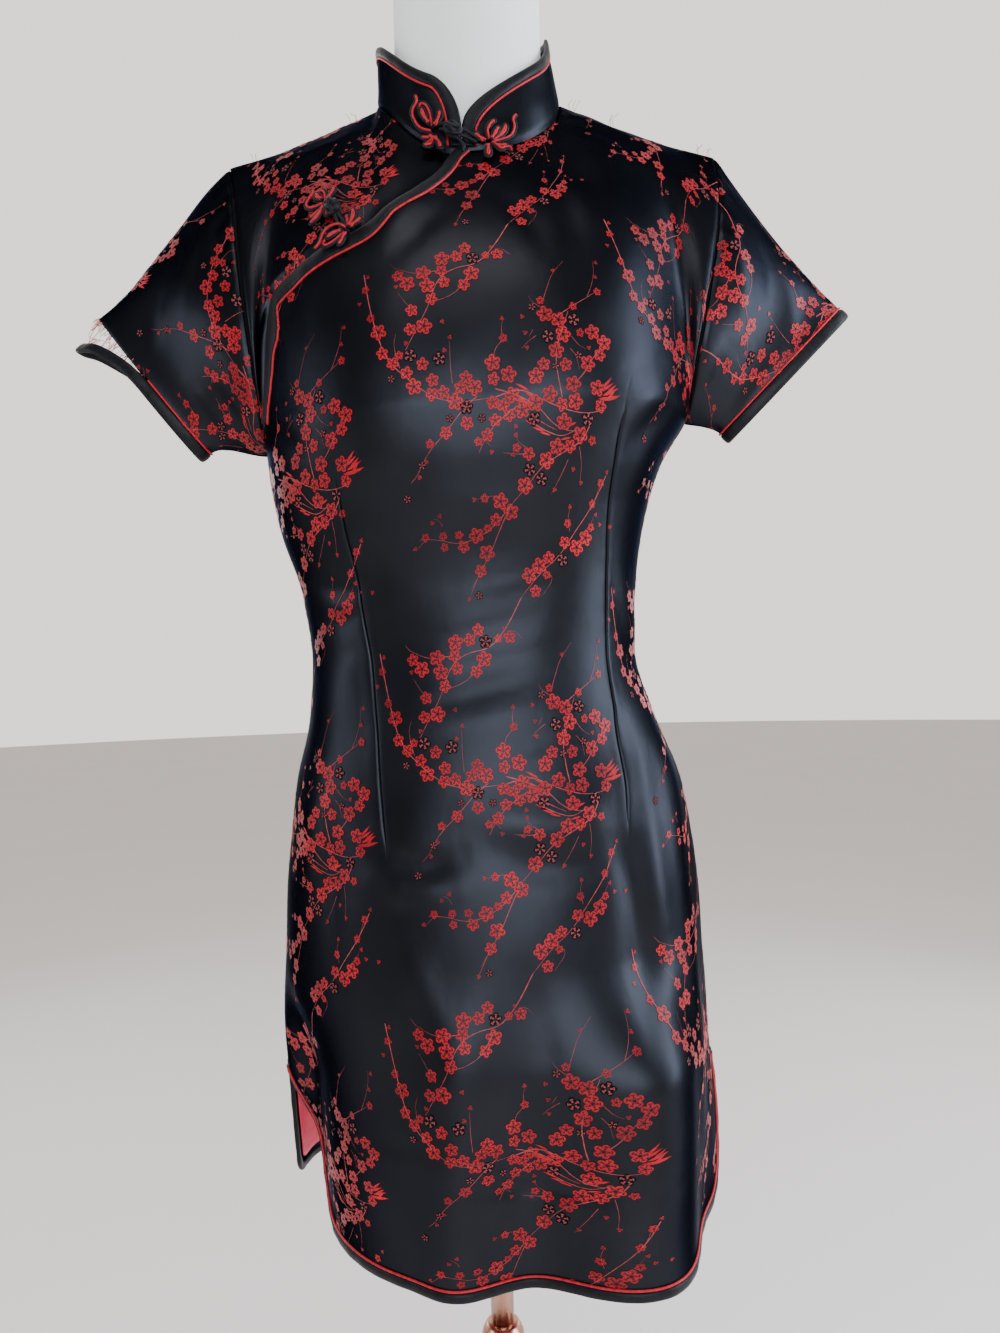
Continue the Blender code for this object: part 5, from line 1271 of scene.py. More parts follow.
def flap_route(inset, count, start=FLAP_START):
    """Places (share, v) inside the flap's edge, evenly spread from the armpit to the neck."""
    v = np.linspace(start, 1.0, 300)
    trail = front_skin.yoke(follow(FLAP_EDGE, v), v)
    at = np.interp(np.linspace(0, 1, count), run_along(trail) / run_along(trail)[-1], v)
    share = follow(FLAP_EDGE, at)
    ahead, behind = np.minimum(at + 0.004, 1.0), at - 0.004
    fore, rear = (front_skin.yoke(follow(FLAP_EDGE, level), level) for level in (ahead, behind))
    along = unit(fore - rear)
    safe = np.minimum(at, 0.99)
    inward = np.cross(along, front_skin.yoke_slopes(share, safe)[2])
    wider = 1 + FLAP_WIDER * smooth(0.20, 0.30, at) * (1 - smooth(0.42, 0.52, at))
    step = inward * (inset * wider)[:, None]
    return np.stack(front_skin.yoke_shift(share, np.minimum(at, 0.995), step), axis=1)


TOP_GAP = 0.0004


def top_level(skin, share):
    """Level at which a panel stops, a hair below the shoulder and neck seams."""
    span = skin.yoke(share, np.ones_like(share)) - skin.yoke(share, np.full_like(share, 0.5))
    return 1.0 - TOP_GAP / (np.linalg.norm(span, axis=-1) * 2)


SKIRT_ROWS, YOKE_ROWS = 146, 62
LEVELS = np.linspace(Z_HEM, Z_ARMPIT[-1], SKIRT_ROWS)
PANEL_EDGE = 0.9985   # share of the half width at which a panel's grid ends
HALF_RUN = 0.215      # rough run of a panel from its middle to the armhole


def settle(skin, point, darts_depth=0.0):
    """Base places lifted by creases and darts, with their outward normals."""
    facing = -1.0 if skin.back else 1.0
    normals = grid_normals(point) * facing
    outer = point + normals * (relief(point, skin.back) + darts_depth)[..., None]
    return outer, grid_normals(outer) * facing


def seam_rows(z):
    """Where a side seam is sewn: above the slit."""
    return smooth(Z_SLIT - 0.004, Z_SLIT + 0.004, z)


def make_front():
    """Front panel: skirt and bodice below the arms, then the part right of the flap's edge."""
    c, offset = panel_columns(True)
    lower, lower_flat, z = body_grid(front_skin, LEVELS, True)
    line = np.concatenate([[(-PANEL_EDGE, 0.002)], flap_route(PANEL_INSET, 90)])
    run = run_along(front_skin.yoke(line[:, 0], line[:, 1]))
    right_v = np.linspace(0, 1, YOKE_ROWS + 1)[1:]
    left = at_runs(line, run / run[-1], right_v)
    fade = 1 - smooth(0.0, 0.40, right_v)[:, None]
    plain = c[None]
    share = plain + (dart_share(plain, armpit_z(c)[None]) - plain) * fade + offset[None] / HALF_RUN
    t = (share + 1) / 2
    place = left[:, :1] + (PANEL_EDGE - left[:, :1]) * t
    v = left[:, 1:] + (right_v[:, None] - left[:, 1:]) * np.clip(t, 0, 1) ** 1.5
    v = np.minimum(v, top_level(front_skin, place))
    point = np.concatenate([lower, front_skin.yoke(place, v)])
    flat = np.concatenate([lower_flat, front_skin.yoke_flat(place, v)])
    heights = np.concatenate([z, Z_ARMPIT[-1] + 0.25 * v])
    outer, normals = settle(front_skin, point, dart_groove(c[None], offset[None], heights))
    flap_side = np.concatenate([seam_rows(z[:, 0]), np.zeros(YOKE_ROWS)])
    armhole_side = np.concatenate([seam_rows(z[:, -1]), np.ones(YOKE_ROWS)])
    outer = seam_dip(outer, normals, True, True, True, flap_side, armhole_side)
    return Sheet(outer, grid_normals(outer), flat)


SEAM_REACH = 0.024
SEAM_FADE = (1.05, 1.09)


def draw_together(sheet, back):
    """Moves the front's side edges up to the back's, where the bust holds them apart."""
    front = sheet.outer
    for near, far in ((0, -1), (-1, 0)):
        edge, rear = front[:SKIRT_ROWS, near], back.outer[:SKIRT_ROWS, far]
        width = np.linalg.norm(rear - edge, axis=-1, keepdims=True)
        bust = smooth(*SEAM_FADE, edge[:, 2:])
        pull = (rear - edge) * np.maximum(0.0, 1 - GAP / np.maximum(width, 1e-6)) * bust
        above = pull[-1] * np.exp(-np.arange(len(front) - SKIRT_ROWS) / 5.0)[:, None]
        pull = np.concatenate([pull, above])
        run = run_along(front.transpose(1, 0, 2)).T
        far_off = run if near == 0 else run[:, -1:] - run
        front = front + pull[:, None] * (1 - smooth(0.0, SEAM_REACH, far_off))[..., None]
    return Sheet(front, grid_normals(front), sheet.flat)


def make_allowance_shade(front, back, armholes):
    """Turned-in cloth behind the side, shoulder and armhole seams, in the near-black painted shade that fills
    their gaps.
    """
    heap = Heap()
    rows = slice(int(np.searchsorted(LEVELS, Z_SLIT + 0.010)), SKIRT_ROWS)
    lines = [(front.outer[rows, c], front.normals[rows, c]) for c in (0, -1)]
    lines.append((back.outer[-1], back.normals[-1]))
    for line, normals in lines:
        heap.tube(line - normals * 0.0018, 0.0014, 6, False, normals, 0)
    for line, normals in armholes:
        inward = np.sign(line[:, :1]) * (0.0012, 0.0, 0.0)
        heap.tube(line - normals * 0.0022 - inward, 0.0021, 6, True, normals, 0)
    return heap.make("seam_allowance_shade", SEAM_SHADE)


def make_dart_seam_shade(sheet):
    """The stitched line of each front dart, sunk in its groove and painted near-black as the groove's shade.
    """
    heap = Heap()
    c, offset = panel_columns(True)
    for side in (-1, 1):
        column = int(np.argmin(np.abs(c - side * 0.5) + np.abs(offset) * 1000))
        line, facing = sheet.outer[:, column], sheet.normals[:, column]
        low, _, _, high = DART_REACH[side]
        inside = (line[:, 2] > low + 0.010) & (line[:, 2] < high - 0.010)
        share = np.linspace(0, 1, int(inside.sum()))
        radius = 0.00055 * np.minimum(1.0, 9 * share * (1 - share) + 0.1)
        heap.tube(line[inside] + facing[inside] * 0.00045, radius, 6, False, facing[inside], 0)
    return heap.make("dart_seam_shade", SEAM_SHADE)


def make_back():
    """Back panel, its grid turned round so that it runs from +X to -X."""
    c, offset = panel_columns(False)
    lower, lower_flat, z = body_grid(back_skin, LEVELS, False)
    level = np.linspace(0, 1, YOKE_ROWS + 1)[1:, None]
    place = np.broadcast_to(c * PANEL_EDGE + offset / HALF_RUN, (YOKE_ROWS, len(c)))
    v = np.minimum(level, top_level(back_skin, place))
    point = np.concatenate([lower, back_skin.yoke(place, v)])
    flat = np.concatenate([lower_flat, back_skin.yoke_flat(place, v)])
    outer, normals = settle(back_skin, point)
    seam = np.concatenate([seam_rows(z[:, 0]), np.ones(YOKE_ROWS)])
    outer = seam_dip(outer, normals, True, True, True, seam, seam)[:, ::-1]
    return Sheet(outer, grid_normals(outer), flat[:, ::-1] * (-1.0, 1.0))


UNDER_ROWS, UNDER_COLS = 84, 66
UNDER_SINK = 0.0036


def make_under():
    """Shoulder piece that runs on below the flap."""
    level = np.linspace(0.0, 1.0, UNDER_ROWS)
    edge = follow(FLAP_EDGE, level)[:, None]
    last = np.minimum(edge + UNDERLAP * smooth(0.0, 0.12, level)[:, None] + 0.06, -0.012)
    share = -PANEL_EDGE + (last + PANEL_EDGE) * np.linspace(0, 1, UNDER_COLS)
    v = np.minimum(np.broadcast_to(level[:, None], share.shape), top_level(front_skin, share))
    base, flat = front_skin.yoke(share, v), front_skin.yoke_flat(share, v)
    normals = front_skin.yoke_slopes(share, np.clip(v, 0.01, 0.99))[2]
    sink = UNDER_SINK * smooth(edge - 0.13, edge - 0.02, share)
    sink = np.maximum(sink, UNDER_SINK * (1 - smooth(0.03, 0.09, level[:, None])))
    outer = base + normals * (relief(base) - sink)[..., None]
    sewn = np.ones(UNDER_ROWS)
    outer = seam_dip(outer, grid_normals(outer), True, False, True, sewn, sewn)
    return Sheet(outer, grid_normals(outer), flat)


def hem_route(skin, inset, hem_count=190, slit_count=44, corner_count=26):
    """Places (run, z) along one panel's slit edges and hem, from -X to +X."""
    halves = []
    for side in (-1, 1):
        foot = float(hem_corner(side, skin.back))
        radius = foot - inset
        z = Z_SLIT - 0.004 - (Z_SLIT - 0.004 - Z_HEM - foot) * np.linspace(0, 1, slit_count) ** 1.4
        run = skin.edge_length(z, np.full(slit_count, side)) - inset
        turn = np.linspace(0, math.pi / 2, corner_count)
        corner_z = Z_HEM + foot - radius * np.sin(turn)
        corner = skin.edge_length(corner_z, np.full(corner_count, side)) - inset - radius * (1 - np.cos(turn))
        straight = np.linspace(corner[-1], 0.0, hem_count // 2 + 1)[1:]
        halves.append((np.concatenate([run, corner[1:], straight]) * side,
                       np.concatenate([z, corner_z[1:], np.full(hem_count // 2, Z_HEM + inset)])))
    (lr, lz), (rr, rz) = halves
    return np.concatenate([lr, rr[-2::-1]]), np.concatenate([lz, rz[-2::-1]])


def on_skin(skin, run, z, lift):
    """Places over the creased cloth below the arms."""
    base, _ = skin.body(run, z)
    normal = skin.body_normal(run, z)
    return base + normal * (relief(base, skin.back) + lift)[:, None], normal


def on_yoke(share, v, lift):
    """Places over the creased front above the arms."""
    safe = np.clip(v, 0.005, 0.99)
    base, normal = front_skin.yoke(share, v), front_skin.yoke_slopes(share, safe)[2]
    return base + normal * (relief(base) + lift)[..., None], normal


HEM_BAND = 0.0068
PIPE_OFF, PIPE_LIFT = 0.0010, 0.0007   # from a binding's inner edge to its piping, and its height
FLAP_STEPS = 200


def make_hem_trim(skin, word):
    """Binding and piping round one panel's slits and hem."""
    edge, normal = on_skin(skin, *hem_route(skin, 0.0), 0.0)
    inner, inner_normal = on_skin(skin, *hem_route(skin, HEM_BAND), 0.0)
    trim = band("hem_binding_soft_" + word, edge, inner, unit(normal + inner_normal), BLACK_SATIN)
    cord, cord_normal = on_skin(skin, *hem_route(skin, HEM_BAND + PIPE_OFF), PIPE_LIFT)
    return trim, corded("hem_piping_soft_" + word, cord, cord_normal)


def make_flap_trim():
    """Binding and piping of the flap's edge."""
    rows = [flap_route(inset, FLAP_STEPS) for inset in (0.0, BIND, BIND + PIPE_OFF)]
    stop = [np.minimum(row[:, 1], top_level(front_skin, row[:, 0])) for row in rows]
    edge, normal = on_yoke(rows[0][:, 0], stop[0], 0.0)
    inner, _ = on_yoke(rows[1][:, 0], stop[1], 0.0)
    trim = band("flap_binding_soft", edge, inner, normal, BLACK_SATIN)
    cord, cord_normal = on_yoke(rows[2][:, 0], stop[2], PIPE_LIFT)
    return trim, corded("flap_piping_soft", cord, cord_normal)


# ------------------------------------------------------------------ collar, sleeves
neck_angles = np.linspace(0.0, 2 * math.pi, 721)
neck_runs = run_along(neck_point(neck_angles))
NECK_LENGTH = neck_runs[-1]


def collar_place(run, height):
    """Collar surface: run goes round from the front meeting line over +X."""
    angle = np.interp(run % NECK_LENGTH, neck_runs, neck_angles)
    point = neck_point(angle)
    lean = (COLLAR_LEAN + COLLAR_LEAN_SIDE * np.maximum(0.0, np.sin(angle)) ** 2)[..., None]
    inward = unit((np.array([0.0, NECK_SIDE[1], 0.0]) - point) * (1.0, 1.0, 0.0))
    height = (np.asarray(height) * (1.0 - COLLAR_LOWER * np.maximum(0.0, -np.sin(angle)) ** 2))[..., None]
    ripple = 0.0007 * np.sin(np.asarray(run)[..., None] * 52 + 0.6) * np.clip(height / 0.02, 0, 1)
    return point + np.array([0.0, 0.0, 1.0]) * height + inward * (lean * height + ripple)


def collar_top(run, inset=0.0):
    """Height of the collar's upper edge, rounded down to the front meeting line."""
    rise = COLLAR_HEIGHT - COLLAR_MEET
    around = np.where(run < NECK_LENGTH / 2, COLLAR_ROUND[1], COLLAR_ROUND[-1])
    share = np.clip((np.minimum(run, NECK_LENGTH - run) - inset) / (around - inset), 0.0, 1.0)
    return COLLAR_MEET - 0.6 * inset + (rise - 0.4 * inset) * np.sqrt(1 - (1 - share) ** 2)


def collar_runs(inset, turns=30, rest=60):
    """Runs along the collar, close together where its front corners are round."""
    angle = np.linspace(0.0, math.pi / 2, turns)
    halves = []
    for side in (1, -1):
        front = GAP / 2 + inset + (COLLAR_ROUND[side] - inset) * (1 - np.cos(angle))
        halves.append(np.concatenate([front, np.linspace(front[-1], NECK_LENGTH / 2, rest)[1:]]))
    return np.concatenate([halves[0], (NECK_LENGTH - halves[1])[-2::-1]])


def collar_edge(inset):
    """The collar's free edge, or a line inside it."""
    low = np.linspace(0.0006, COLLAR_MEET - 0.6 * inset, 10, endpoint=False)
    runs = collar_runs(inset)
    tops = collar_top(runs, GAP / 2 + inset)
    run = np.concatenate([np.full(10, runs[0]), runs, np.full(10, runs[-1])])
    return collar_place(run, np.concatenate([low, tops, low[::-1]]))


def outward(points):
    """Level directions away from the neck's axis."""
    return unit((points - (0.0, NECK_SIDE[1], 0.0)) * (1.0, 1.0, 0.0))


COLLAR_TUCK = 0.0045


def make_collar():
    """Collar, its binding and its piping."""
    runs = collar_runs(PANEL_INSET)
    tops = collar_top(runs, GAP / 2 + PANEL_INSET)
    share = np.linspace(0, 1, 18)[:, None]
    height = (tops + COLLAR_TUCK) * share - COLLAR_TUCK
    run = np.broadcast_to(runs, height.shape)
    outer = collar_place(run, height)
    outer = outer - outward(outer) * (0.0018 * (1 - smooth(-0.001, 0.003, height)))[..., None]
    normals = grid_normals(outer)
    flat = np.stack([np.where(run > NECK_LENGTH / 2, run - NECK_LENGTH, run), height], axis=-1)
    soft = 0.0004 * np.sin(run * 83 + height * 120)
    outer = outer + normals * soft[..., None]
    collar = shell("collar_soft", Sheet(outer, grid_normals(outer), flat), CLOTH, GROUND)
    edge, inner, cord = collar_edge(0.0), collar_edge(BIND), collar_edge(BIND + PIPE_OFF)
    binding = band("collar_binding_soft", edge, inner, unit(outward(edge) + (0.0, 0.0, 0.10)), BLACK_SATIN)
    return collar, binding, corded("collar_piping_soft", cord + outward(cord) * 0.0009, outward(cord))


SLEEVE_ROWS, SLEEVE_COLS = 50, 132
CUFF_STEPS = 220
SLEEVE_CREASES = {
    -1: [(8, 2, (-178, 1366), (-176, 1330), (-170, 1290), (-164, 1255)),
         (6.5, -1.4, (-190, 1362), (-190, 1325), (-186, 1290)),
         (7, 1.4, (-206, 1340), (-214, 1305), (-216, 1270)),
         (6, -1.5, (-200, 1215), (-186, 1196), (-172, 1180)),
         (7, 1.4, (-214, 1222), (-198, 1200), (-184, 1184)),
         (7, -1.2, (-232, 1300), (-240, 1276), (-246, 1250)),
         (6, 1.2, (-160, 1230), (-156, 1204), (-154, 1184))],
    +1: [(8.5, 1.7, (186, 1360), (196, 1320), (200, 1280), (198, 1240)),
        (7, -1.4, (174, 1330), (178, 1290), (178, 1250)),
        (7.5, 1.3, (166, 1270), (166, 1230), (160, 1196)),
        (6, -1.3, (186, 1230), (178, 1206), (166, 1190)),
        (7.5, -1.2, (218, 1320), (224, 1290), (222, 1256)),
        (7, 1.2, (236, 1300), (242, 1270), (238, 1240))],
}


def bezier(a, b, c, d, t):
    s = 1 - t
    return s ** 3 * a + 3 * s * s * t * b + 3 * s * t * t * c + t ** 3 * d


def armhole_place(side, angle):
    """Armhole seam; angle 0 is the shoulder tip, pi the armpit, front first."""
    back = angle > math.pi
    v = np.where(back, angle / math.pi - 1, 1 - angle / math.pi)
    share = np.full(angle.shape, float(side))
    return np.where(back[:, None], back_skin.yoke(share, v), front_skin.yoke(share, v))


def cuff_frame(side):
    """Top and bottom of a sleeve's hem, and the direction out of the sleeve."""
    cuff = CUFFS[side]
    top = np.array([side * cuff.top_x, 0.0, cuff.top_z])
    bottom = np.array([side * cuff.bottom_x, 0.0, cuff.bottom_z])
    along = unit(bottom - top)
    return top, bottom, np.array([side * -along[2], 0.0, side * along[0]])


def cuff_place(side, angle, out=0.0):
    """Points on a sleeve's hem; angle 0 is its top, front first."""
    top, bottom, axis = cuff_frame(side)
    angle = np.asarray(angle)[..., None]
    depth = np.array([0.0, -CUFFS[side].half_depth, 0.0])
    return (top + bottom) / 2 + (top - bottom) / 2 * np.cos(angle) + depth * np.sin(angle) + axis * out


def sleeve_place(side, angle, t):
    """Cloth of a sleeve from the armhole at t = 0 to its hem at t = 1."""
    start, end = armhole_place(side, angle), cuff_place(side, angle)
    axis = cuff_frame(side)[2]
    top_share = np.maximum(0.0, np.cos(angle)) ** 1.5
    leave = unit(np.stack([np.full_like(angle, side), np.zeros_like(angle),
                           -0.15 - (SLEEVE_DROP[side] - 0.15) * top_share], axis=1))
    span = np.linalg.norm(end - start, axis=1, keepdims=True)
    t = np.asarray(t)[..., None]
    return bezier(start, start + leave * span * 0.33, end - axis * span * 0.30, end, t)


def torn_shift(angle):
    """How far the torn binding hangs away from the sleeve's hem."""
    share = np.maximum(0.0, 1.0 - np.abs(signed(angle)) / TORN_ANGLE)
    return np.array(TORN_SHIFT) * smooth(0.0, 1.0, share)[..., None]


def closed_normals(grid):
    """Normals of a grid whose rows close on themselves."""
    return grid_normals(np.concatenate([grid[:, -1:], grid, grid[:, :1]], axis=1))[:, 1:-1]


def make_sleeve(side):
    """One sleeve's sheet with gathered head and creases, and the angle of each column."""
    angles = np.linspace(0, 2 * math.pi, SLEEVE_COLS, endpoint=False)
    reach = np.linalg.norm(cuff_place(side, angles) - armhole_place(side, angles), axis=1)
    grid = np.array([sleeve_place(side, angles, 0.0008 / reach + (1 - 0.0008 / reach) * t)
                     for t in np.linspace(0, 1, SLEEVE_ROWS) ** 1.15])
    order = slice(None, None, 1 if side > 0 else -1)
    grid, angles = grid[:, order], angles[order]
    normals = closed_normals(grid)
    out = run_along(grid)
    rise = crease_rise(SLEEVE_CREASES[side], grid) * (0.35 + 0.65 * (normals[..., 1] < 0))
    ease = 0.00075 * np.sin(angles * 27 + 0.7 * np.sin(angles * 5)) * np.maximum(0.0, np.cos(angles)) ** 0.5
    rise += ease * np.exp(-((out - 0.007) / 0.009) ** 2)
    rise -= 0.0011 * np.exp(-(out / 0.0018) ** 2)
    rise += 0.0004 * np.sin(grid[..., 0] * 75 + grid[..., 2] * 58)
    outer = grid + normals * rise[..., None]
    girth = 0.0505 + 0.010 * np.linspace(1, 0, SLEEVE_ROWS)[:, None]
    flat = np.stack([-signed(angles) * girth * side, out[-1:] - out], axis=-1)
    return Sheet(outer, closed_normals(outer), flat), angles


def make_cuff_trim(side, word):
    """Binding and piping of a sleeve's hem; the -X one is torn loose over its top."""
    angles = np.linspace(0, 2 * math.pi, CUFF_STEPS, endpoint=False)
    shift = torn_shift(angles) if side < 0 else np.zeros((CUFF_STEPS, 3))
    sag = 0.0009 * np.sin(angles * 9 + 1) * (np.linalg.norm(shift, axis=1) > 1e-6)
    edge = cuff_place(side, angles, BIND) + shift
    inner = cuff_place(side, angles, 0.0) + shift
    centre = (cuff_place(side, np.array([0.0])) + cuff_place(side, np.array([math.pi]))) / 2
    axis = cuff_frame(side)[2]
    away = inner - shift - centre
    away = unit(away - axis * (away @ axis)[:, None])
    edge, inner = edge + away * sag[:, None], inner + away * sag[:, None] * 0.5
    order = slice(None, None, 1 if side > 0 else -1)
    trim = band("cuff_binding_soft_" + word, edge[order], inner[order], away[order], BLACK_SATIN, closed=True)
    torn = TORN_ANGLE if side < 0 else 0.0
    cord_angles = np.linspace(torn, 2 * math.pi - torn, 200)
    base = cuff_place(side, cord_angles)
    inside = sleeve_place(side, cord_angles, 0.96)
    step = unit(inside - base)
    off = base - centre
    off = unit(off - step * (off * step).sum(-1, keepdims=True))
    return trim, corded("cuff_piping_soft_" + word, base + step * 0.0012 + off * 0.0010, off, side > 0)

# -------------------------------------------------------------------------- frogs
# Petals of the two flower frogs, in millimetres from their middles: whether the
# cord closes on itself, its layer, and the points it is bent through.
Petal = namedtuple("Petal", "closed layer path")
FLOWER_A = [
    Petal(False, 1, [(-15, 18.5), (-13.6, 14.5), (-17.4, 8.5), (-18.4, 2.5), (-15.2, -2.6), (-9.5, -5.2),
                     (-1, -3.5)]),
    Petal(True, 0, [(-0.5, 0), (-0.6, 6), (-2.0, 12), (-5.5, 16.6), (-10.5, 16.2), (-12.8, 12), (-11, 5),
                    (-5, 1)]),
    Petal(True, 2, [(-2.4, 0.8), (-7.5, 2.8), (-10.4, 7.0), (-9.4, 11.4), (-6.6, 10.4), (-4.4, 6)]),
    Petal(True, 1, [(0.4, 0.6), (1.2, 5), (1.8, 10), (3.8, 14.0), (6.2, 10.9), (5.2, 6.6), (2.4, 2.6)]),
    Petal(True, 0, [(-1, -3.5), (-5, -5.6), (-9.5, -8.4), (-12.6, -12.4), (-7, -12.0), (-2.6, -8)]),
    Petal(True, 1, [(-0.8, -4), (-5, -10.5), (-10.8, -18.4), (-8, -19.8), (-2.4, -16.4), (-0.2, -10)]),
    Petal(True, 1, [(0.6, -4), (3.2, -8.0), (5.8, -12), (4.8, -15.6), (1.8, -16.4), (0.4, -11)]),
]
FLOWER_B = [
    Petal(True, 0, [(-2.0, 1.5), (-4.6, 3.6), (-9.4, 4.6), (-10.8, 8.0), (-8.0, 10.2), (-5.2, 8.2),
                    (-3.6, 4.6)]),
    Petal(False, 1, [(-0.6, 1.6), (-1.6, 5), (-2.6, 10.6), (0.4, 16), (4.8, 17.6), (5.8, 15.3), (2.4, 13.8),
                     (1.4, 10.4)]),
    Petal(True, 2, [(1.0, 2.0), (1.8, 5.6), (3.4, 9.4), (7.6, 11.8), (7.2, 6.6), (4.4, 3.4)]),
    Petal(True, 1, [(2.0, 1.0), (7.6, 6.6), (11.7, 13.8), (14.3, 9.6), (12.2, 4.6), (7.1, 2.0)]),
    Petal(False, 0, [(22.2, 17.0), (19.2, 15.6), (21.0, 9.6), (18.6, 3.2), (13.0, -1.4), (3.4, -2.0)]),
    Petal(True, 1, [(-0.4, -2.6), (-2.2, -8), (-2.6, -13), (0.2, -15.8), (2.6, -12.6), (2.0, -7)]),
    Petal(False, 1, [(1.4, -2.0), (4.2, -6.0), (8.0, -12.2), (13.6, -10.0), (16.4, -13.8)]),
    Petal(True, 0, [(3.0, -2.4), (7.0, -3.2), (15.0, -5.6), (10.6, -8.2), (5.4, -6.6)]),
]
CORD = 0.00105          # radius of a petal's black cord
INNER_CORD = 0.00095    # radius of the red cord inside it
INNER_STEP = 1.75       # millimetres between the two
LAYER = 0.0009          # height of one layer of cord over the next
UPPER_TALL = 0.92       # upper petals are a little shorter than charted
KNOT_CORD, HOLD_CORD = 0.00155, 0.0013
KNOT_TALL, KNOT_WIDE = 0.0064, 0.0044
CORE_TALL, CORE_WIDE = 0.0062, 0.0042
COLLAR_SEAT = 0.0022    # cloth and its unevenness under a collar flower
KNOT_REST = 0.0076      # height of the collar's knot over the cloth
PLACKET_REST = 0.0086
# Collar flowers: word, run and height of the middle, petals.
COLLAR_FLOWERS = [("left", -0.0200, 0.0105, FLOWER_A), ("right", 0.0190, -0.0008, FLOWER_B)]
COLLAR_SIZE, COLLAR_DROOP = 1.10, 1.25
# Where the collar knot's cords come from (run, height), how they bow and where
# they meet the knot, in metres from its middle.
COLLAR_CORDS = [
    ((-0.0170, 0.0130), 0.0022, (-0.003, -0.001, 0.003)),
    ((-0.0160, 0.0100), -0.0012, (-0.004, 0.000, -0.001)),
    ((0.0120, 0.0040), 0.0018, (0.004, -0.001, 0.001)),
    ((0.0110, 0.0010), -0.0012, (0.003, 0.000, -0.003)),
]
# Placket flowers: word, share and level of the middle, turn, mirror, seat.
PLACKET_FLOWERS = [("upper", -0.492, 0.497, -6, 1, 0.0024), ("lower", -0.391, 0.392, 158, -1, 0.0034)]
PLACKET_SIZE = 0.96


def neckline_place(run, height):
    """Collar above the neck seam, chest below it."""
    above = collar_place(run, np.maximum(height, 0.0))
    angle = signed(np.interp(run % NECK_LENGTH, neck_runs, neck_angles))
    share = angle / (math.pi / 2) * NECK_SHARE
    reach = np.linalg.norm(front_skin.yoke_slopes(share, np.full_like(share, 0.99))[1], axis=-1)
    below = front_skin.yoke(share, 1.0 + np.minimum(height, 0.0) / reach)
    return np.where((height >= 0)[..., None], above, below)


def seated(place, flat, lift):
    """Places and normals over a surface for flat points; lift is one height or many."""
    x, y = flat[:, 0], flat[:, 1]
    step = 0.0025
    along, up = place(x + step, y) - place(x - step, y), place(x, y + step) - place(x, y - step)
    normal = unit(np.cross(along, up))
    spot = (place(x, y) * 2 + place(x, y - step) + place(x, y + step)) / 4
    return spot + normal * np.reshape(lift, (-1, 1)), normal


def make_flower(name, place, petals, seat, mirror=1, turn=0.0, size=1.0, droop=1.0):
    """A flower frog: looped black cord, a red cord inside it and a dark red filling."""
    heap = Heap()
    cos, sin = math.cos(turn), math.sin(turn)

    def laid(line, lift):
        tall = np.where(line[:, 1] > 0, UPPER_TALL, droop) * line[:, 1]
        flat = np.stack([mirror * line[:, 0], tall], axis=1) * size / 1000
        flat = np.stack([flat[:, 0] * cos - flat[:, 1] * sin, flat[:, 0] * sin + flat[:, 1] * cos], axis=1)
        return seated(place, flat, lift)

    for petal in petals:
        path = np.array(petal.path, float)
        if petal.closed:
            path = np.concatenate([path, path[:1]])
        line = resampled(rounded(path, 3), max(20, int(run_along(path)[-1] / 0.8)))
        share = np.linspace(0, 1, len(line))
        low = seat + LAYER * petal.layer
        lift = low + CORD + 0.0004 * np.sin(share * math.pi)
        points, normals = laid(line, lift)
        heap.tube(points, CORD, 8, False, normals, 0)
        along = unit(np.gradient(line, axis=0))
        side = np.stack([-along[:, 1], along[:, 0]], axis=1)
        centre = line.mean(axis=0)
        inward = np.sign(((centre - line) * side).sum(axis=1).mean()) or 1.0
        narrowed = (0.45 + 0.55 * np.sin(share * math.pi) ** 0.4)[:, None]
        inside = line + side * inward * INNER_STEP * narrowed
        points, normals = laid(inside[1:-1], lift[1:-1] + 0.0007)
        heap.tube(points, INNER_CORD, 6, False, normals, 1)
        if petal.closed:
            add_filling(heap, laid, centre, line + (centre - line) * 0.12, low + LAYER)
    return heap.make(name, CORD_SATIN, RED_SATIN, DARK_RED)


def add_filling(heap, laid, centre, rim, lift):
    """Flat pad inside a petal: its upper side, its lower side and the wall between."""
    flat = np.concatenate([[centre], rim])
    points, normals = laid(flat, lift)
    count = len(rim)
    k = 1 + np.arange(count)
    after, below = np.roll(k, -1), count + 1
    wall = np.stack([k, k + below, after + below, after], axis=1)
    upper = fan(0, k)
    heap.add(np.concatenate([points, points - normals * LAYER]), wall,
             np.concatenate([upper, upper[:, ::-1] + below]), np.concatenate([flat, flat]) / 1000, 2)


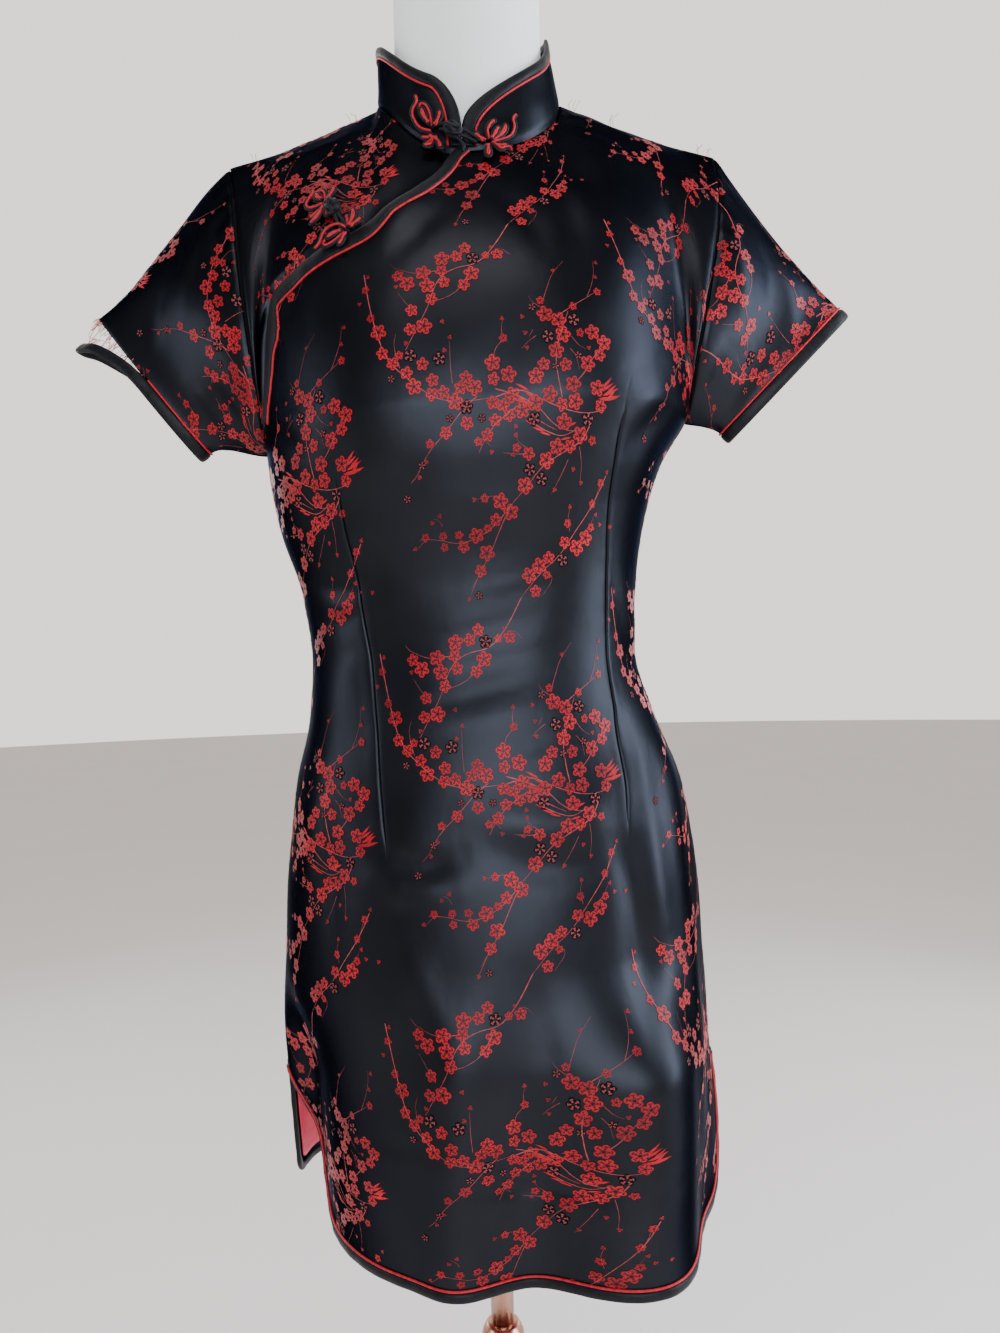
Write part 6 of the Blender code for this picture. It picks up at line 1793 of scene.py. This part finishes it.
def make_knot(name, centre, axis, normal, ends):
    """Round braided knot of black cord on a core, with the cords that hold it."""
    heap = Heap()
    axis, normal = unit(np.asarray(axis, float)), unit(np.asarray(normal, float))
    third = np.cross(axis, normal)

    def ball(tall, ahead, aside):
        return centre + tall[..., None] * axis + ahead[..., None] * normal + aside[..., None] * third

    s = np.linspace(0, 2 * math.pi, 180, endpoint=False)
    high, turn = math.radians(66) * np.cos(5 * s), 3 * s
    wide = (1.0 + 0.10 * np.sin(10 * s + 0.4)) * KNOT_WIDE * np.cos(high)
    heap.tube(ball(np.sin(high) * KNOT_TALL, np.cos(turn) * wide, np.sin(turn) * wide), KNOT_CORD, 8, True)
    lat, lon = np.meshgrid(np.linspace(-1.5, 1.5, 9), np.linspace(0, 2 * math.pi, 14, endpoint=False),
                           indexing="ij")
    wide = np.cos(lat) * CORE_WIDE
    core = ball(np.sin(lat) * CORE_TALL, np.cos(lon) * wide, np.sin(lon) * wide)
    heap.add(core.reshape(-1, 3), grid_quads(9, 14, True)[:, ::-1])
    for path in ends:
        heap.tube(resampled(rounded(path, 3), 26), HOLD_CORD, 8)
    return heap.make(name, CORD_SATIN)


def make_collar_frogs():
    """Two flowers either side of the meeting line and the knot between them."""
    frogs = []
    for word, run, height, petals in COLLAR_FLOWERS:
        def place(x, y, run=run, height=height):
            return neckline_place(run + x, height + y)
        frogs.append(make_flower("collar_frog_soft_" + word, place, petals, COLLAR_SEAT, size=COLLAR_SIZE,
                                 droop=COLLAR_DROOP))

    def spot(run, height, ahead):
        return neckline_place(np.array([run]), np.array([height]))[0] - (0.0, ahead, 0.0)

    knot = spot(NECK_LENGTH - 0.0060, 0.0090, KNOT_REST)
    ends = []
    for (run, height), bow, meet in COLLAR_CORDS:
        start = spot(run, height, 0.0042)
        ends.append([start, (start + knot) / 2 + (0.0, -0.0025, bow), knot + meet])
    tail = spot(0.0010, -0.0075, 0.0042)
    ends.append([tail, tail + (0.001, -0.001, 0.004), knot + (0.001, -0.001, -0.004)])
    return frogs + [make_knot("collar_frog_soft_knot", knot, (0.85, 0.0, -0.52), (0.0, -1.0, 0.0), ends)]


def make_placket_frogs():
    """Two flowers across the flap's edge and the knot between them."""
    frogs, spots = [], []
    for word, share, v, degrees, mirror, seat in PLACKET_FLOWERS:
        s0, v0 = np.array([share]), np.array([v])
        along, up, _ = (part[0] for part in front_skin.yoke_slopes(s0, v0))
        right = unit(along)
        rise = unit(up - right * (up @ right))

        def place(x, y, s0=s0, v0=v0, right=right, rise=rise):
            share, level = front_skin.yoke_shift(s0, v0, x[:, None] * right + y[:, None] * rise)
            return on_yoke(share, level, 0.0)[0]
        frogs.append(make_flower("placket_frog_soft_" + word, place, FLOWER_A, seat, mirror,
                                 math.radians(degrees), PLACKET_SIZE))
        spots.append(on_yoke(s0, v0, 0.0035)[0][0])
    base, normal = on_yoke(np.array([-0.452]), np.array([0.457]), 0.0)
    knot = base[0] + normal[0] * PLACKET_REST
    across = unit(spots[1] - spots[0])
    side = np.cross(across, normal[0])
    ends = [[spot + side * way * 0.0016, (spot + knot) / 2 + side * way * 0.002, knot + across * meet]
            for spot, meet in zip(spots, (-0.004, 0.004)) for way in (1, -1)]
    return frogs + [make_knot("placket_frog_soft_knot", knot, across, normal[0], ends)]


# ------------------------------------------------------------------------ threads
THREAD = 0.00020
HANGING = [(1, -1, -2), (-5, -2, -7), (-9, -2, -13), (-6, -3, -16), (2, -3, -17), (8, -3, -20)]
STRANDS = [(-0.70, 0.6), (-0.25, 0.2), (0.30, 0.8), (0.85, 0.3)]   # angle and bow
# Threads at the shoulders: share of the half width, side, length in millimetres.
TUFTS = [(0.45, 1, 7), (0.60, 1, 9), (0.93, 1, 6), (0.97, 1, 5), (0.50, -1, 6), (0.90, -1, 5)]


def thread(heap, start, path, kind=0, radius=THREAD):
    """A loose thread; path is in millimetres from its start."""
    line = np.asarray(start) + np.asarray(path, float) / 1000
    heap.tube(resampled(rounded(line, 3), 16), radius, 5, False, None, kind)


def cuff_spot(angle, out=0.0):
    return cuff_place(-1, np.array([angle]), out)[0]


def make_threads():
    """Frayed ends at the torn sleeve hem and a few at the shoulder seams."""
    heap = Heap()
    for _ in range(64):
        edge = cuff_spot(rng.uniform(-TORN_ANGLE * 0.98, TORN_ANGLE * 0.98))
        away = np.array([-0.80, 0.0, -0.45]) * rng.uniform(2.0, 9.0)
        bend = rng.uniform(-1.6, 1.6, 3)
        thread(heap, edge, [(1.2, 0, 0.8), away * 0.4 + bend, away + bend * 1.6 + (0, 0, -1.5)],
               int(rng.random() < 0.35))
    for angle, lift in STRANDS:
        edge = cuff_spot(angle)
        strip = cuff_spot(angle + 0.25, 0.002) + torn_shift(np.array([angle + 0.25]))[0]
        middle = (edge + strip) / 2 + (-0.004, -0.004 * lift, -0.006)
        heap.tube(resampled(rounded([edge, middle, strip], 3), 16), 0.00026, 5)
    thread(heap, cuff_spot(0.08), HANGING)
    for _ in range(20):
        angle = rng.uniform(-1.5, 1.5)
        strip = cuff_spot(angle) + torn_shift(np.array([angle]))[0]
        a, b, c = rng.uniform(-1.5, 1.5, 3)
        thread(heap, strip, [(-0.5, 0, -0.5), (3 + a, b, 2.5 + c), (6 + c, a, 3 + b)])
    for share, side, length in TUFTS:
        spot = yoke_top(np.array([share * side]), False)[0]
        for _ in range(3):
            a, b, c = rng.uniform(-2.5, 2.5, 3)
            thread(heap, spot + rng.uniform(-0.003, 0.003, 3) * (1, 0.2, 0.3),
                   [(0, 0, -1), (a, -1 + b * 0.3, length * 0.5), (c + side * 2, -1, length)],
                   1 if rng.random() < 0.6 else 0, 0.00014)
    return heap.make("loose_threads", THREAD_PINK, BLACK_SATIN)


# --------------------------------------------------------------- the form and stand
Slack = namedtuple("Slack", "z left right front back")
FORM_SLACK = [
    Slack(0.775, 0.030, 0.032, 0.036, 0.026), Slack(0.800, 0.016, 0.020, 0.026, 0.016),
    Slack(0.860, 0.010, 0.012, 0.018, 0.006), Slack(0.930, 0.014, 0.010, 0.014, 0.006),
    Slack(1.010, 0.022, 0.005, 0.010, 0.008), Slack(1.090, 0.022, 0.005, 0.012, 0.008),
    Slack(1.140, 0.014, 0.005, 0.0075, 0.005), Slack(1.184, 0.0065, 0.0050, 0.0050, 0.003),
]
Z_FORM_LOW = 0.775
NECK_RINGS = [(1.500, 1.00), (1.535, 1.00), (1.550, 0.995), (1.556, 0.97), (1.5592, 0.90), (1.560, 0.80)]
NECK_TOP = 1.5602
NECK_WIDE, NECK_DEEP, NECK_MIDDLE = 0.0570, 0.0470, 0.002   # half width, half depth and y of the neck column
FORM_STEPS = 90
FORM_TIP = 0.0065   # the form's arm ends stand in from the armholes
FORM_NECK = 0.0078  # its neck stands in from the neck seam


def form_row(z, shares, back):
    """Skin of the form below the arms: the dress section less its slack."""
    row, slack = row_at(SECTIONS, z), row_at(FORM_SLACK, z)
    row = row._replace(left=row.left - slack.left, right=row.right - slack.right,
                       front=row.front - slack.front, back=row.back - slack.back)
    points = np.zeros((len(shares), 3))
    for side in (-1, 1):
        line, run = half_ring(row, side, back, FORM_STEPS)
        mine = (shares < 0) if side < 0 else (shares >= 0)
        points[mine] = at_runs(line, run, np.abs(shares[mine]) * run[-1])
    if not back:
        points[:, 1] -= bust_rise(points[:, 0], z) * smooth(*BUST_FADE, z)
    return points


def form_yoke(skin, shares, levels):
    """Skin of the form above the arms: the dress moved in, up to shoulders and neck."""
    grid = []
    arm = smooth(0.60, 0.95, np.abs(shares))
    if skin.back:
        depth = 0.0026 + 0.0024 * arm
    else:
        depth = 0.0040 + 0.0054 * (1 - smooth(-0.15, 0.15, shares)) + 0.0024 * arm
    for v in levels:
        level = np.full_like(shares, v)
        normal = skin.yoke_slopes(shares, np.clip(level, 0.02, 0.98))[2]
        if v < 1.0:
            row = skin.yoke(shares, level) - normal * depth[:, None]
        else:
            row = yoke_top(shares, skin.back)
            on_neck = 1 - smooth(NECK_SHARE, NECK_SHARE + 0.12, np.abs(shares))
            row = row - outward(row) * (FORM_NECK * on_neck)[:, None] - (0.0, 0.0, 0.0050)
        row[:, 0] -= np.sign(shares) * FORM_TIP * smooth(0.80, 1.0, np.abs(shares))
        grid.append(row)
    return np.array(grid)


def neck_column(turn, z, scale=1.0):
    """One ring of the form's neck."""
    return np.stack([NECK_WIDE * scale * np.sin(turn), NECK_MIDDLE - NECK_DEEP * scale * np.cos(turn),
                     np.broadcast_to(z, turn.shape)], axis=1)


def make_form():
    """Closed torso with arm plates and a neck column, under its jersey cover."""
    shares = np.linspace(-1, 1, 81) * PANEL_EDGE
    heights = np.concatenate([[Z_FORM_LOW, 0.7765, 0.780, 0.786], np.linspace(0.794, 1.150, 38)])
    levels = np.linspace(0.0, 1.0, 27)
    rows = [(form_row(z, shares, False), form_row(z, shares, True)[::-1]) for z in heights]
    front, back = form_yoke(front_skin, shares, levels), form_yoke(back_skin, shares, levels)
    rows += list(zip(front, back[:, ::-1]))
    grid = np.array([np.concatenate([f, [(f[-1] + b[0]) / 2], b, [(b[-1] + f[0]) / 2]]) for f, b in rows])
    count, cols = grid.shape[1], len(shares)
    inner = [i for i, s in enumerate(shares) if abs(s) <= NECK_SHARE + 0.01]
    loop = inner + [2 * cols - i for i in inner[::-1]]
    top = grid[-1][loop]
    turn = np.arctan2(top[:, 0] / NECK_SIDE[0], -(top[:, 1] - NECK_SIDE[1]) / NECK_BACK_Y)
    column = neck_column(turn, top[:, 2] + 0.020)
    rings = [top + (column - top) * a + (0, 0, 0.004 * math.sin(a * 3.1)) for a in (0.3, 0.6, 0.85)]
    rings += [column] + [neck_column(turn, z, scale) for z, scale in NECK_RINGS]
    points, quads = [grid.reshape(-1, 3)], [grid_quads(len(rows), count, True)]
    ring, total = (len(rows) - 1) * count + np.array(loop), len(points[0])
    for new in rings:
        index = total + np.arange(len(new))
        points.append(new)
        quads.append(np.stack([ring, np.roll(ring, -1), np.roll(index, -1), index], axis=1))
        ring, total = index, total + len(new)
    points.append(np.array([(0.0, NECK_MIDDLE, NECK_TOP), (0.0, 0.0, Z_FORM_LOW)]))
    tris = np.concatenate([fan(total, ring), fan(total + 1, np.arange(count))[:, ::-1]])
    item = add_piece("form_soft", np.concatenate(points), np.concatenate(quads), tris, [JERSEY])
    item.modifiers.new("weld", "WELD").merge_threshold = 0.0004
    return item


def turned(name, profile, steps):
    """Turned piece from a profile of (radius, z), top to bottom, its edges eased."""
    line = np.array(profile, float)
    eased = [line[0]]
    for before, point, after in zip(line[:-2], line[1:-1], line[2:]):
        for other in (before, after):
            reach = np.linalg.norm(other - point)
            eased.append(point + (other - point) / reach * min(0.0009, reach * 0.3))
    eased = np.array(eased + [line[-1]])
    angles = np.linspace(0, 2 * math.pi, steps, endpoint=False)
    body = eased[1:-1]
    ring = np.stack([np.outer(body[:, 0], np.cos(angles)), np.outer(body[:, 0], np.sin(angles)),
                     np.repeat(body[:, 1:], steps, axis=1)], axis=-1)
    count = len(body)
    points = np.concatenate([ring.reshape(-1, 3), [(0, 0, eased[0][1]), (0, 0, eased[-1][1])]])
    k = np.arange(steps)
    tris = np.concatenate([fan(count * steps, k), fan(count * steps + 1, (count - 1) * steps + k)[:, ::-1]])
    return add_piece(name, points, grid_quads(count, steps, True)[:, ::-1], tris, [COPPER])


COLLET_LOW = 0.450
# Stand parts: CAD node, piece, profile of (radius, z), corners round.
STAND = [
    ("pole", "stand_pole", [(0, 0.7667), (0.009, 0.7667), (0.009, 0.4903), (0, 0.4903)], 72),
    ("pole_flange", "stand_flange", [(0, 0.7747), (0.032, 0.7747), (0.034, 0.7720), (0.034, 0.7675),
                                     (0, 0.7675)], 72),
    ("pole_collet", "stand_collet", [(0, 0.490), (0.0125, 0.490), (0.0150, 0.4855), (0.0165, 0.482),
                                     (0.0165, 0.474), (0.0155, 0.473), (0.0155, 0.470), (0.0165, 0.469),
                                     (0.0165, COLLET_LOW + 0.004), (0.0125, COLLET_LOW),
                                     (0, COLLET_LOW)], 72),
    ("pole_socket", "stand_socket", [(0, COLLET_LOW - GAP), (0.0125, COLLET_LOW - GAP), (0.0125, 0.0443),
                                     (0, 0.0443)], 72),
    ("base_hub", "stand_hub", [(0, 0.044), (0.016, 0.044), (0.0185, 0.036), (0.0240, 0.027), (0.030, 0.022),
                               (0.030, 0.0143), (0, 0.0143)], 72),
    ("base_plate", "stand_base", [(0, 0.014), (0.110, 0.014), (0.155, 0.0138), (0.162, 0.011), (0.165, 0.008),
                                  (0.165, 0.0), (0, 0.0)], 120),
]


# --------------------------------------------------------------------- the room
# Colours of the surroundings from the front (0) to the back (1).
WORLD_STOPS = [(0.42, (0.200, 0.205, 0.220)), (0.84, (1.650, 1.520, 1.420))]
CAMERA_ROLL = 1.6
CAMERA_PLACE = (0.012, -0.780, 1.000)
FLOOR_RADIUS, FLOOR_STEPS = 16, 96
# Area lights: name, place, aim, width and height, watts, colour.
LIGHTS = [
    ("window_front", (0.35, -2.70, 1.38), (0.0, 0.0, 1.0), (2.2, 1.05), 66.0, (0.84, 0.91, 1.00)),
    ("window_right", (2.20, -0.35, 1.60), (0.05, 0.0, 1.1), (0.8, 2.2), 86.0, (0.80, 0.89, 1.00)),
    ("window_left", (-2.20, -0.60, 1.45), (0.0, 0.0, 1.1), (0.6, 1.2), 14.0, (0.85, 0.92, 1.00)),
    ("ceiling_front", (-0.20, -1.25, 3.10), (0.0, 0.0, 1.2), (1.2, 0.8), 16.0, (1.00, 0.94, 0.92)),
    ("behind_left", (-1.80, 1.90, 1.90), (0.0, 0.0, 1.1), (1.0, 1.6), 18.0, (0.90, 0.95, 1.00)),
    ("behind_right", (1.80, 2.00, 1.60), (0.0, 0.0, 1.0), (1.0, 1.6), 14.0, (0.90, 0.95, 1.00)),
]


def make_world():
    """Pale surroundings: a bright wall behind the dress and a dimmer room before it."""
    world = bpy.data.worlds.new("room")
    world.use_nodes = True
    tree = world.node_tree
    split = tree.nodes.new("ShaderNodeSeparateXYZ")
    tree.links.new(tree.nodes.new("ShaderNodeTexCoord").outputs["Generated"], split.inputs[0])
    ramp = tree.nodes.new("ShaderNodeValToRGB")
    share = tree.nodes.new("ShaderNodeMapRange")
    for key, value in ((1, -1.0), (2, 1.0), (3, 0.0), (4, 1.0)):
        share.inputs[key].default_value = value
    tree.links.new(split.outputs["Y"], share.inputs[0])
    tree.links.new(share.outputs[0], ramp.inputs[0])
    ramp.color_ramp.interpolation = "EASE"
    for element, (position, colour) in zip(ramp.color_ramp.elements, WORLD_STOPS):
        element.position, element.color = position, (*colour, 1.0)
    tree.links.new(ramp.outputs[0], tree.nodes["Background"].inputs[0])
    tree.nodes["Background"].inputs[1].default_value = 1.0
    return world


def make_room():
    """Plain pale floor, pale surroundings, soft lights and the camera."""
    turn = np.linspace(0, 2 * math.pi, FLOOR_STEPS, endpoint=False)
    rim = np.stack([FLOOR_RADIUS * np.cos(turn), FLOOR_RADIUS * np.sin(turn), 0 * turn], axis=1)
    paint = Paint("floor_matt", Roughness=0.75)
    cloudy = paint.noise(paint.place(), 1.5, 2.0)
    colour = paint.ramp(cloudy, (0.3, (0.900, 0.850, 0.820)), (0.7, (0.920, 0.870, 0.840)))
    floor = add_piece("floor", np.concatenate([[(0.0, 0.0, 0.0)], rim]), (),
                      fan(0, 1 + np.arange(FLOOR_STEPS)), [paint.wire(Base_Color=colour)])
    bpy.context.scene.world = make_world()
    for name, place, aim, size, watts, colour in LIGHTS:
        lamp = bpy.data.lights.new(name, "AREA")
        lamp.shape, lamp.size, lamp.size_y, lamp.energy, lamp.color = "RECTANGLE", *size, watts, colour
        item = bpy.data.objects.new(name, lamp)
        item.location = place
        item.rotation_euler = (Vector(aim) - Vector(place)).to_track_quat("-Z", "Y").to_euler()
        bpy.context.scene.collection.objects.link(item)
    lens = bpy.data.cameras.new("photo_camera")
    lens.lens, lens.sensor_width = 27.0, 36.0
    camera = bpy.data.objects.new("photo_camera", lens)
    camera.location = CAMERA_PLACE
    camera.rotation_euler = (math.radians(90), math.radians(CAMERA_ROLL), 0.0)
    bpy.context.scene.collection.objects.link(camera)
    bpy.context.scene.camera = camera


# -------------------------------------------------------------------------- main
# Flat cut of a cloth piece: width and length of the rectangle that it is cut
# from, and its own area, in metres and square metres; no piece is given one here.
Cut = namedtuple("Cut", "width length area")


# Where the repeat starts on each piece's flat cloth, and its stretch up the front.
FRONT_ORIGIN, BACK_ORIGIN, UNDER_ORIGIN = (0.098, 0.350), (0.060, 0.300), (-0.055, 0.795)
SLEEVE_ORIGIN = {-1: (0.030, 0.048), 1: (0.040, 0.020)}
SLEEVE_LEAN = 0.10
WARP = [(-0.400, -0.430), (-0.243, -0.241), (0.0, 0.0), (0.260, 0.241), (0.520, 0.482)]
LINING_TOP, LINING_DEPTH, LINING_WALL = 0.757, 0.0021, 0.0007


def make_lining(word, sheet):
    """Lining inside the lower skirt, free of the slits' bindings."""
    part = (slice(2, int(np.searchsorted(LEVELS, LINING_TOP))), slice(4, -4))
    outer, normals, flat = (layer[part] for layer in sheet)
    inner = outer - normals * LINING_DEPTH
    ripple = 0.0004 * np.sin(inner[..., 0] * 130 + 2) * np.sin(inner[..., 2] * 70)
    inner = inner - normals * np.abs(ripple)[..., None]
    return shell("lining_soft_" + word, Sheet(inner, normals, flat), LINING_WALL, LINING)


def carry(item, slot, *nodes):
    """A piece rides on the body and stands for CAD nodes; its slot is not used."""
    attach(item, "root")
    if nodes:
        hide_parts(*nodes)
    return item


make_room()

front_sheet, back_sheet, under_sheet = make_front(), make_back(), make_under()
front_sheet = draw_together(front_sheet, back_sheet)
front = carry(shell("front_soft", front_sheet, CLOTH, GROUND), "brocade", "front_panel")
back = carry(shell("back_soft", back_sheet, CLOTH, GROUND), "brocade", "back_panel")
under = carry(shell("under_soft", under_sheet, CLOTH, GROUND), "brocade", "under_front")
# Dart lines: black thread painted near-black as the shade in the darts' grooves.
dart_seam_shade = carry(make_dart_seam_shade(front_sheet), "brocade")

collar, collar_binding, collar_piping = make_collar()
carry(collar, "brocade", "collar")
carry(collar_binding, "trim_satin", "collar_binding")
carry(collar_piping, "piping", "collar_piping")

armholes = []
for side, word in ((-1, "left"), (1, "right")):
    sheet, angles = make_sleeve(side)
    armholes.append((sheet.outer[0], sheet.normals[0]))
    sleeve = carry(shell("sleeve_soft_" + word, sheet, CLOTH, GROUND, closed=True),
                   "brocade", "sleeve_" + word)
    seam = int(np.argmax(np.abs(signed(angles))))
    rolled = Sheet(*(np.roll(part, -seam, axis=1) for part in sheet))
    figure = carry(weave("sleeve_figure_" + word, rolled, SLEEVE_ORIGIN[side], SLEEVE_LEAN * side), "brocade")
    trim, piping = make_cuff_trim(side, word)
    carry(trim, "trim_satin", "cuff_binding_" + word)
    carry(piping, "piping", "cuff_piping_" + word)

front_figure = carry(weave("front_figure", front_sheet, FRONT_ORIGIN, 0.0, WARP), "brocade")
back_figure = carry(weave("back_figure", back_sheet, BACK_ORIGIN), "brocade")
under_figure = carry(weave("under_figure", under_sheet, UNDER_ORIGIN), "brocade")
# Seam allowances in painted shade, filling the gaps of the seams.
allowances = carry(make_allowance_shade(front_sheet, back_sheet, armholes), "brocade")

trims = {}
for skin, word in ((front_skin, "front"), (back_skin, "back")):
    trims[word] = make_hem_trim(skin, word)
trims["flap"] = make_flap_trim()
for word, (trim, piping) in trims.items():
    name = "flap_" if word == "flap" else "hem_"
    tail = "" if word == "flap" else "_" + word
    carry(trim, "trim_satin", name + "binding" + tail)
    carry(piping, "piping", name + "piping" + tail)

for word, sheet in (("front", front_sheet), ("back", back_sheet)):
    carry(make_lining(word, sheet), "lining", "lining_" + word)

for kind, words, pieces in (("collar", ("left", "right", "knot"), make_collar_frogs()),
                            ("placket", ("upper", "lower", "knot"), make_placket_frogs())):
    for word, piece in zip(words, pieces):
        carry(piece, "trim_satin", kind + "_frog_" + word)
carry(make_threads(), "piping")
carry(make_form(), "jersey", "form_torso")
for node, name, profile, steps in STAND:
    carry(turned(name, profile, steps), "pole_metal", node)
